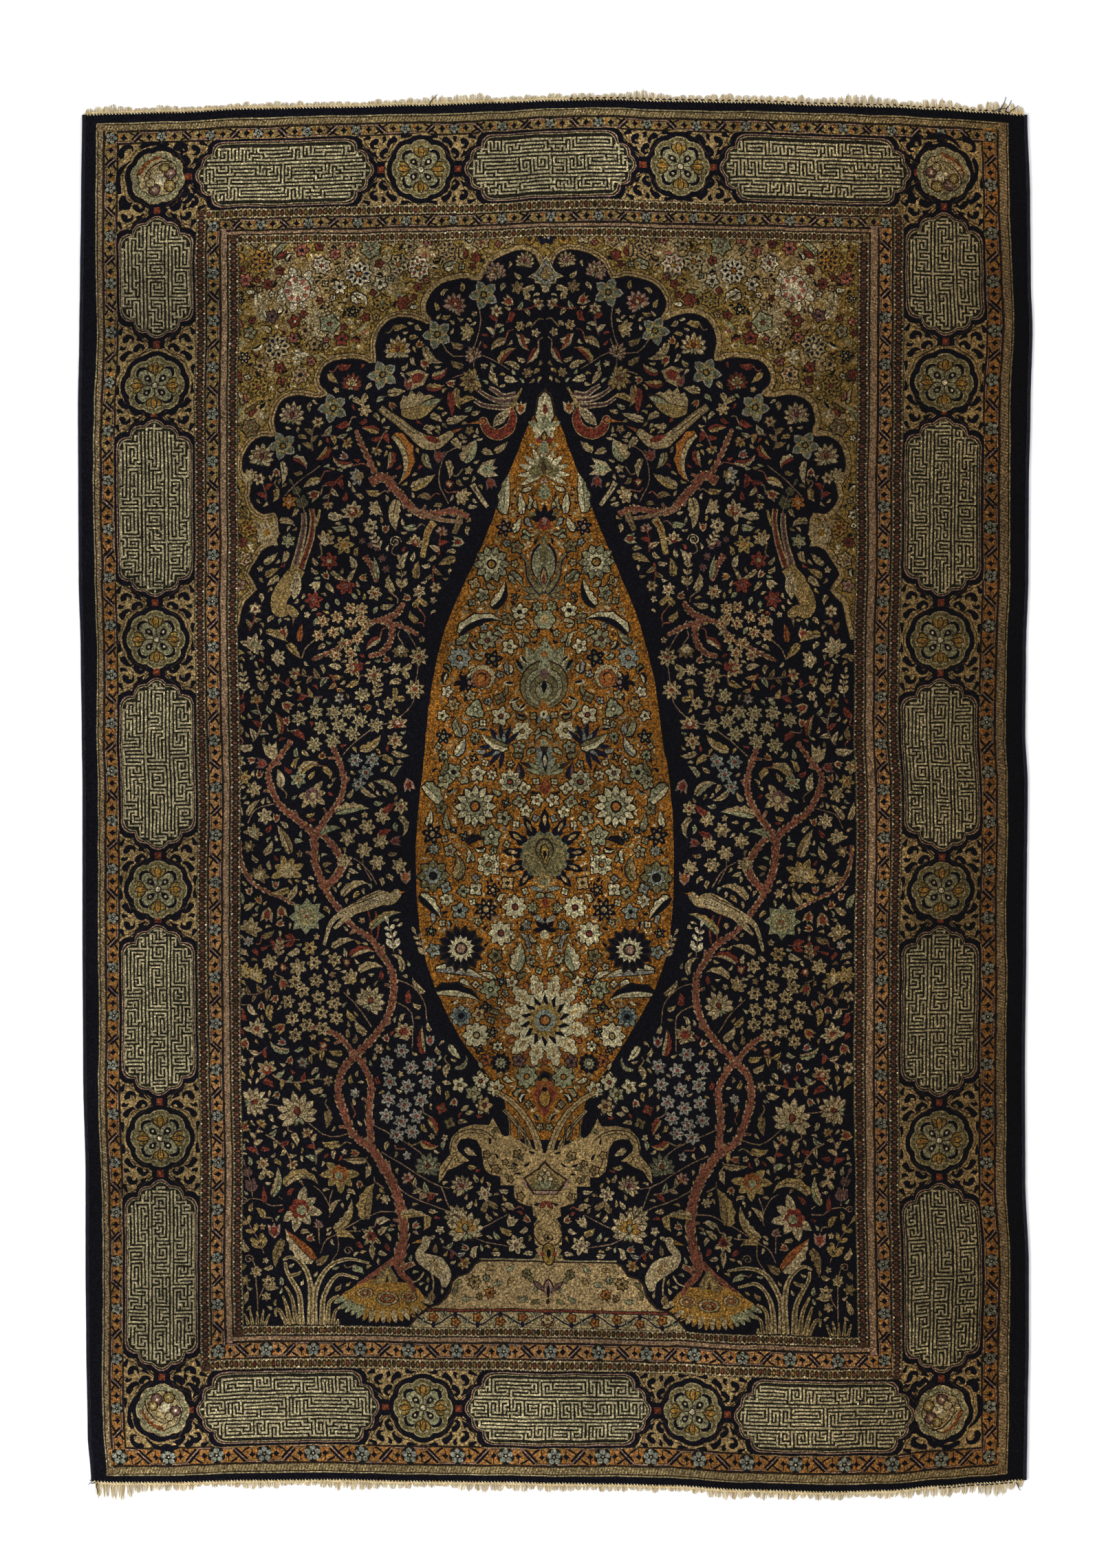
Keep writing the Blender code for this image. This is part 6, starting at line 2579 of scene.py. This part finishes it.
def web(end, material):
    """The narrow plain-woven strip past the pile."""
    name = "top" if end > 0 else "bottom"
    count, rows, stripes = 1150, 6, 40
    strip_mesh = Cloth()
    for row in range(rows + 1):
        for i in range(count + 1):
            across = HALF_WIDTH * (2 * i / count - 1)
            out = FIT_GAP + (WEB_DEPTH - 0.2) * row / rows
            place = beyond_end(across, end, out)
            weave = 0.5 + 0.5 * math.sin(math.pi * (i / 2 + row / 2)) * math.cos(math.pi * row / 2)
            ease = 0.75 if row in (0, rows) else 1.0
            height = (WEB_THICKNESS - 0.5 + 0.5 * weave) * ease
            strip_mesh.points.append((place.real, place.imag, height))
    wide = count + 1
    chance = random.Random(7 + end)
    for row in range(rows):
        for i in range(count):
            ids = [row * wide + i, row * wide + i + 1, (row + 1) * wide + i + 1, (row + 1) * wide + i]
            stripe, along = divmod(i / count * stripes, 1.0)
            left, right = along * 0.96 + 0.02, (along + stripes / count) * 0.96 + 0.02
            low = (stripe + 0.1 + 0.7 * row / rows) / (stripes + 1)
            high = (stripe + 0.1 + 0.7 * (row + 1) / rows) / (stripes + 1)
            bake = bake_quad(left, right, low, high)
            if end < 0:
                ids, bake = ids[::-1], bake[::-1]
            strip_mesh.add(ids, chance.choice(("cream", "ivory", "cream", "sand")), bake)
    ring = slab_loop(strip_mesh.faces)
    foot = {i: len(strip_mesh.points) + k for k, i in enumerate(ring)}
    strip_mesh.points += [(strip_mesh.points[i][0], strip_mesh.points[i][1], 0.0) for i in ring]
    for a, b in zip(ring, ring[1:] + ring[:1]):
        strip_mesh.add([b, a, foot[a], foot[b]], "ivory", [(0.001, 0.999)] * 4)
    for face in cap_ring([complex(*strip_mesh.points[i][:2]) for i in ring]):
        strip_mesh.add([foot[ring[i]] for i in face[::-1]], "ivory", [(0.001, 0.999)] * 3)
    return strip_mesh.piece(f"woven_end_{name}", material, "fringe_yarn", f"fringe_{name}")


def strand(cloth, path, radii, dye, bake_cell, sides=3):
    """A yarn along a path of (x, y, z), closed at both ends."""
    first = len(cloth.points)
    last = len(path) - 1
    for i, (x, y, z) in enumerate(path):
        a, b = path[max(i - 1, 0)], path[min(i + 1, last)]
        heading = complex(b[0] - a[0], b[1] - a[1])
        side = 1j * heading / (abs(heading) or 1.0)
        for k in range(sides):
            angle = 2 * math.pi * k / sides + math.pi / 2
            out, up = radii[i] * math.cos(angle), radii[i] * math.sin(angle)
            cloth.points.append((x + side.real * out, y + side.imag * out, max(0.0, z + up)))
    u, v, size = bake_cell
    for i in range(last):
        for k in range(sides):
            following = (k + 1) % sides
            ids = [first + i * sides + k, first + (i + 1) * sides + k,
                   first + (i + 1) * sides + following, first + i * sides + following]
            left, right = u + size * k / sides, u + size * (k + 1) / sides
            low, high = v + size * i / last, v + size * (i + 1) / last
            cloth.add(ids[::-1], dye, bake_quad(left, right, low, high)[::-1])
    end = first + last * sides
    cloth.add([first + k for k in range(sides)], dye, [(u, v)] * sides)
    cloth.add([end + sides - 1 - k for k in range(sides)], dye, [(u, v)] * sides)


def bake_cells(count):
    """Square cells of a bake picture, one for each strand."""
    side = math.ceil(math.sqrt(count))
    for k in range(count):
        yield (k % side + 0.05) / side, (k // side + 0.05) / side, 0.9 / side


def fringe(end, material):
    """Cut warp ends, brushed out in ragged locks."""
    name = "top" if end > 0 else "bottom"
    column = 1 if end > 0 else 2
    chance = random.Random(11 if end > 0 else 23)
    per_lock = 14
    locks = Cloth()
    cells = bake_cells(LOCKS_PER_END * per_lock)
    pitch = 2 * HALF_WIDTH / LOCKS_PER_END
    for lock in range(LOCKS_PER_END):
        middle = -HALF_WIDTH + (lock + 0.5) * pitch
        reach = read_table(FRINGE_REACH, column, middle)
        reach = max(LOCK_SHORTEST, reach + chance.uniform(-1, 1) * LOCK_RAGGEDNESS)
        lean = chance.uniform(-1.5, 1.5)
        for k in range(per_lock):
            share = (k + chance.uniform(0.1, 0.9)) / per_lock * 2 - 1
            root = middle + share * pitch * 0.49
            tip = middle + lean + share * pitch * 0.36 + chance.uniform(-1.2, 1.2)
            length = reach * chance.uniform(0.72, 1.0) * (1.05 - 0.22 * abs(share)) + 1.5
            lift = chance.uniform(0.4, 1.5)
            bow_side = chance.uniform(-0.8, 0.8)
            path, radii = [], []
            for i in range(5):
                along = i / 4
                x = root + (tip - root) * along ** 1.3 + bow_side * math.sin(math.pi * along)
                out = FIT_GAP + WEB_DEPTH - 1.4 + length * along
                held = max(-HALF_WIDTH, min(HALF_WIDTH, x))
                place = beyond_end(held, end, out)
                height = 0.5 + lift * (1 - along) + 0.5 * math.sin(math.pi * along)
                path.append((place.real + x - held, place.imag, height))
                radii.append(0.46 * (1 - 0.55 * along))
            dye = chance.choice(("cream", "cream", "ivory", "cream", "sand", "parchment", "ivory"))
            strand(locks, path, radii, dye, next(cells))
    return locks.piece(f"fringe_locks_{name}", material, "fringe_yarn", f"fringe_{name}")


def overcast(end, material):
    """Short pale stitches that hold the web to the pile's edge."""
    name = "top" if end > 0 else "bottom"
    chance = random.Random(61 + end)
    count = 300
    stitches = Cloth()
    cells = bake_cells(count)
    for k in range(count):
        across = HALF_WIDTH * (2 * (k + 0.5) / count - 1) + chance.uniform(-0.5, 0.5)
        slant = 1.6 if end > 0 else -1.8
        start, finish = beyond_end(across - slant, end, 2.2), beyond_end(across + slant, end, -1.9)
        path = []
        for i, height in enumerate((1.2, 5.0, 6.1, 6.2, 5.4)):
            place = start + (finish - start) * (0.0, 0.42, 0.6, 0.85, 1.0)[i]
            path.append((place.real, place.imag, height))
        dye = chance.choice(("cream", "ivory", "cream", "sand"))
        strand(stitches, path, (0.5, 0.6, 0.6, 0.55, 0.4), dye, next(cells), 4)
    return stitches.piece(f"overcast_{name}", material, "fringe_yarn", f"fringe_{name}")


# Runs of dark stitches along the woven ends. Columns: end, first and last place across the rug, pitch.
DARK_STITCHES = ((1, 24, 668, 9.6), (-1, 560, 676, 7.0))


def dark_stitches(material):
    """Single stitches of dark yarn along the woven ends."""
    chance = random.Random(3)
    row = Cloth()
    runs = [(end, first + k * pitch) for end, first, last, pitch in DARK_STITCHES
            for k in range(int((last - first) / pitch))]
    cells = bake_cells(len(runs))
    for end, across in runs:
        length = chance.uniform(4.6, 6.4)
        across += chance.uniform(-0.7, 0.7)
        tilt = chance.uniform(-0.5, 0.3)
        path = []
        for i in range(5):
            share = i / 4
            place = beyond_end(across + length * (share - 0.5), end, 2.6 + tilt * (share - 0.5) * 2)
            path.append((place.real, place.imag, 1.9 + 0.9 * math.sin(math.pi * share)))
        dye = chance.choice(("navy", "night", "navy"))
        strand(row, path, (0.5, 0.95, 1.05, 0.95, 0.5), dye, next(cells), 5)
    return row.piece("dark_stitches", material, "selvedge_yarn", "fringe_top")


# Loose ends of dark yarn. Columns: end, place across the rug, then (sideways, out) of each point.
LOOSE_ENDS = (
    (1, -182, ((0, 1), (2, 6), (7, 11), (11, 16))),
    (1, 647, ((0, 3), (4, 9), (8, 17), (10, 24))), (1, 656, ((0, 2), (2, 8), (6, 13), (9, 20))),
    (1, 640, ((0, 2), (6, 5), (12, 6), (20, 7))), (1, 661, ((0, 1), (5, 6), (9, 8), (14, 13))),
    (-1, -681, ((0, 1), (-5, 3), (-8, 2), (-11, 5))), (-1, -680, ((0, 0), (-3, -2), (-7, 0), (-10, -2))),
    (-1, -679, ((0, 2), (-1, 8), (1, 14), (0, 19))), (-1, 672, ((0, 3), (3, 7), (4, 11), (7, 15))),
)


def loose_ends(material):
    """Ends of dark yarn that have come loose at the corners."""
    ends = Cloth()
    cells = bake_cells(len(LOOSE_ENDS))
    for end, across, places in LOOSE_ENDS:
        line = smooth([beyond_end(across, end, 0) + complex(x, end * out) for x, out in places], 4)
        path = []
        for i, place in enumerate(line):
            share = i / (len(line) - 1)
            path.append((place.real, place.imag, 3.2 - 2.2 * share + 0.8 * math.sin(math.pi * share)))
        radii = [0.75 * (1 - 0.5 * i / (len(path) - 1)) for i in range(len(path))]
        strand(ends, path, radii, "night", next(cells), 4)
    return ends.piece("loose_yarn_ends", material, "selvedge_yarn", "fringe_top")


# ---------------------------------------------------------------- materials
class Nodes:
    """Builds a material's nodes in short calls."""

    def __init__(self, name):
        self.material = bpy.data.materials.new(name)
        self.material.use_nodes = True
        self.tree = self.material.node_tree
        self.shader = self.tree.nodes["Principled BSDF"]
        self.place = self.tree.nodes.new("ShaderNodeTexCoord").outputs["Object"]

    def node(self, kind, inputs=(), **settings):
        node = self.tree.nodes.new(kind)
        for name, value in settings.items():
            setattr(node, name, value)
        for socket, value in dict(inputs).items():
            if isinstance(value, bpy.types.NodeSocket):
                self.tree.links.new(value, node.inputs[socket])
            else:
                node.inputs[socket].default_value = value
        return node

    def math(self, operation, a, b=0.0, c=0.0):
        return self.node("ShaderNodeMath", {0: a, 1: b, 2: c}, operation=operation).outputs[0]

    def times(self, a, b):
        return self.math("MULTIPLY", a, b)

    def stretched(self, x, y, z=1.0):
        """The object's place, stretched along its axes."""
        return self.node("ShaderNodeMapping", {"Vector": self.place, "Scale": (x, y, z)}).outputs[0]

    def noise(self, scale, detail=2.0, place=None):
        inputs = {"Vector": place or self.place, "Scale": scale, "Detail": detail}
        return self.node("ShaderNodeTexNoise", inputs).outputs["Fac"]

    def cells(self, scale, output="Color", place=None, feature="F1"):
        inputs = {"Vector": place or self.place, "Scale": scale}
        return self.node("ShaderNodeTexVoronoi", inputs, feature=feature).outputs[output]

    def ramp(self, value, low, high, start=0.0, end=1.0):
        return self.node("ShaderNodeMapRange", {"Value": value, "From Min": low, "From Max": high,
                                                "To Min": start, "To Max": end}).outputs[0]

    def shade(self, colour, factor):
        """The colour made brighter or darker by a factor."""
        return self.node("ShaderNodeVectorMath", {0: colour, "Scale": factor}, operation="SCALE").outputs[0]

    def mix(self, share, a, b, blend="MIX"):
        node = self.node("ShaderNodeMix", data_type="RGBA", blend_type=blend)
        for socket, value in (("Factor_Float", share), ("A_Color", a), ("B_Color", b)):
            target = next(item for item in node.inputs if item.identifier == socket)
            if isinstance(value, bpy.types.NodeSocket):
                self.tree.links.new(value, target)
            else:
                target.default_value = value
        return next(item for item in node.outputs if item.identifier == "Result_Color")

    def dye(self, output="Color"):
        return self.node("ShaderNodeVertexColor", layer_name="dye").outputs[output]

    def crackle(self, scale):
        """Fine broken lines that wander round small cells."""
        wander = self.node("ShaderNodeTexNoise", {"Vector": self.place, "Scale": scale * 0.8, "Detail": 1.0})
        shift = self.shade(wander.outputs["Color"], 0.9 / scale)
        place = self.node("ShaderNodeVectorMath", {0: self.place, 1: shift}, operation="ADD").outputs[0]
        edge = self.cells(scale, "Distance", place, "DISTANCE_TO_EDGE")
        broken = self.ramp(self.noise(scale * 0.4, 2.0), 0.38, 0.52)
        return self.times(self.ramp(edge, 0.04, 0.13, 1.0, 0.0), broken)

    def finish(self, colour, height, depth, roughness, sheen):
        self.tree.links.new(colour, self.shader.inputs["Base Color"])
        bump = self.node("ShaderNodeBump", {"Height": height, "Strength": 0.7, "Distance": depth})
        self.tree.links.new(bump.outputs["Normal"], self.shader.inputs["Normal"])
        self.shader.inputs["Roughness"].default_value = roughness
        self.shader.inputs["Sheen Weight"].default_value = sheen
        self.shader.inputs["Sheen Roughness"].default_value = 0.45
        self.shader.inputs["Specular IOR Level"].default_value = 0.08
        return self.material


def pile_material():
    """Cut wool: the dyes are those of the brightest threads, and most knots are darker.

    It has painted glints, dark flecks, fine broken drawing, bands of uneven dye, broad patches of painted
    sheen, painted shade that darkens and warms the right side, and painted light that brightens both ends."""
    nodes = Nodes("hand_knotted_pile")
    knots = nodes.node("ShaderNodeSeparateColor", {0: nodes.cells(620.0, place=nodes.stretched(1.0, 0.8))})
    knot_tone = nodes.math("MULTIPLY_ADD", knots.outputs[0], 0.46, 0.1)
    fleck = nodes.ramp(nodes.noise(330.0, 3.0), 0.36, 0.48, 0.4, 1.0)
    bands = nodes.ramp(nodes.noise(1.0, 4.0, nodes.stretched(0.9, 26.0)), 0.3, 0.7, 0.86, 1.14)
    # painted sheen: broad patches that make the pile lighter and darker from place to place
    painted_sheen_clouds = nodes.ramp(nodes.noise(6.0, 6.0), 0.3, 0.7, 0.76, 1.22)
    tone = nodes.times(nodes.times(knot_tone, fleck), nodes.times(bands, painted_sheen_clouds))
    # painted highlights: bright specks that stand in for the silk's glints, shown in broad patches
    patches = nodes.ramp(nodes.noise(3.2, 3.0), 0.4, 0.64, 0.35, 1.0)
    glints = nodes.times(nodes.ramp(nodes.noise(400.0, 2.0), 0.54, 0.68, 0.0, 0.85), patches)
    drawn = nodes.times(nodes.crackle(150.0), nodes.dye("Alpha"))
    shown = nodes.math("MULTIPLY_ADD", drawn, -0.8, 1.0)
    axes = nodes.node("ShaderNodeSeparateXYZ", {0: nodes.place}).outputs
    # painted shade: the pile turns darker and warmer towards its right side
    shaded_side = nodes.ramp(axes[0], 0.1, 0.72)
    # painted light: both ends of the pile are made up to 1.4 times brighter
    lit_end = nodes.ramp(nodes.math("ABSOLUTE", axes[1]), 0.78, 0.9, 1.0, 1.4)
    shown = nodes.times(shown, lit_end)
    right_side_shade = nodes.mix(shaded_side, (1.0, 1.0, 1.0, 1.0), (0.58, 0.49, 0.38, 1.0))
    dye = nodes.mix(1.0, nodes.dye(), right_side_shade, "MULTIPLY")
    lit = nodes.shade(dye, nodes.times(nodes.math("ADD", tone, glints), shown))
    nap = nodes.math("ADD", nodes.cells(620.0, "Distance"), nodes.noise(900.0, 2.0))
    return nodes.finish(lit, nap, 0.0008, 0.85, 0.0)


def back_material():
    """The knotted back: flat ribs with the undyed warp showing between them."""
    nodes = Nodes("knotted_back")
    wave = {"Vector": nodes.place, "Scale": 110.0, "Distortion": 1.2}
    ribs = nodes.node("ShaderNodeTexWave", wave).outputs["Fac"]
    warp = nodes.ramp(ribs, 0.72, 0.98, 0.0, 0.35)
    tone = nodes.ramp(nodes.noise(260.0, 3.0), 0.3, 0.7, 0.7, 1.15)
    colour = nodes.mix(warp, nodes.shade(nodes.dye(), tone), (*LINEAR_DYES["ivory"][:3], 1.0))
    return nodes.finish(colour, ribs, 0.0005, 0.85, 0.1)


def yarn_material(name, strength):
    """Twisted yarn that takes the piece's own dye."""
    nodes = Nodes(name)
    fibres = nodes.noise(1400.0, 3.0)
    fine = nodes.ramp(fibres, 0.3, 0.7, 1 - strength, 1 + strength)
    broad = nodes.ramp(nodes.noise(40.0, 3.0), 0.3, 0.7, 1 - strength * 0.5, 1 + strength * 0.4)
    tone = nodes.times(fine, broad)
    return nodes.finish(nodes.shade(nodes.dye(), tone), fibres, 0.0004, 0.85, 0.2)


def floor_material():
    nodes = Nodes("pale_floor")
    tone = nodes.ramp(nodes.noise(1.2, 3.0), 0.3, 0.7, 0.985, 1.0)
    nodes.tree.links.new(nodes.shade((0.86, 0.86, 0.86), tone), nodes.shader.inputs["Base Color"])
    nodes.shader.inputs["Roughness"].default_value = 0.6
    return nodes.material


# ---------------------------------------------------------------- the floor, the studio and the rug
FLOOR_REACH = 9.0
# Lights above the rug, aimed at its middle. Columns: name, place, width across, power.
LIGHTS = (
    ("key", (-2.6, -1.4, 3.6), 2.0, 150),
    ("fill", (2.8, 1.8, 3.6), 2.4, 60),
)


def floor():
    mesh = bpy.data.meshes.new("floor")
    corners = box_ring((-FLOOR_REACH, FLOOR_REACH, -FLOOR_REACH, FLOOR_REACH))
    mesh.from_pydata([(corner.real, corner.imag, 0) for corner in corners], [], [(0, 1, 2, 3)])
    mesh.materials.append(floor_material())
    obj = bpy.data.objects.new("floor", mesh)
    bpy.context.scene.collection.objects.link(obj)
    return obj


def soft_light(name, place, size, power):
    light = bpy.data.lights.new(name, "AREA")
    light.shape = "DISK"
    light.size = size
    light.energy = power
    obj = bpy.data.objects.new(name, light)
    obj.location = place
    obj.rotation_euler = (-Vector(place)).to_track_quat("-Z", "Y").to_euler()
    bpy.context.scene.collection.objects.link(obj)


def camera():
    """Straight above the rug, with the whole frame 2.279 m high at the pile."""
    data = bpy.data.cameras.new("camera")
    data.lens = 100
    data.sensor_width = 36
    obj = bpy.data.objects.new("camera", data)
    obj.location = (0.005, 0.0175, 6.336)
    bpy.context.scene.collection.objects.link(obj)
    bpy.context.scene.camera = obj


def studio():
    scene = bpy.context.scene
    scene.view_settings.view_transform = "Standard"
    scene.world = bpy.data.worlds.new("studio")
    scene.world.use_nodes = True
    backdrop = scene.world.node_tree.nodes["Background"]
    backdrop.inputs["Color"].default_value = (1.0, 1.0, 1.0, 1.0)
    backdrop.inputs["Strength"].default_value = 0.7
    for light in LIGHTS:
        soft_light(*light)
    camera()


def main():
    shapes = []
    draw_field(shapes)
    draw_borders(Pen(shapes))
    pile_fabric = pile_material()
    dark_yarn = yarn_material("dark_binding_yarn", 0.35)
    pale_yarn = yarn_material("undyed_fringe_yarn", 0.3)
    pieces, drawing = pile(shapes, pile_fabric)
    back = foundation(drawing, back_material())
    pieces += [selvedge(side, dark_yarn) for side in (-1, 1)]
    for end in (1, -1):
        pieces += [web(end, pale_yarn), fringe(end, pale_yarn), overcast(end, pale_yarn)]
    pieces += [dark_stitches(dark_yarn), loose_ends(dark_yarn)]
    ground = floor()
    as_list(pieces)
    studio()


main()
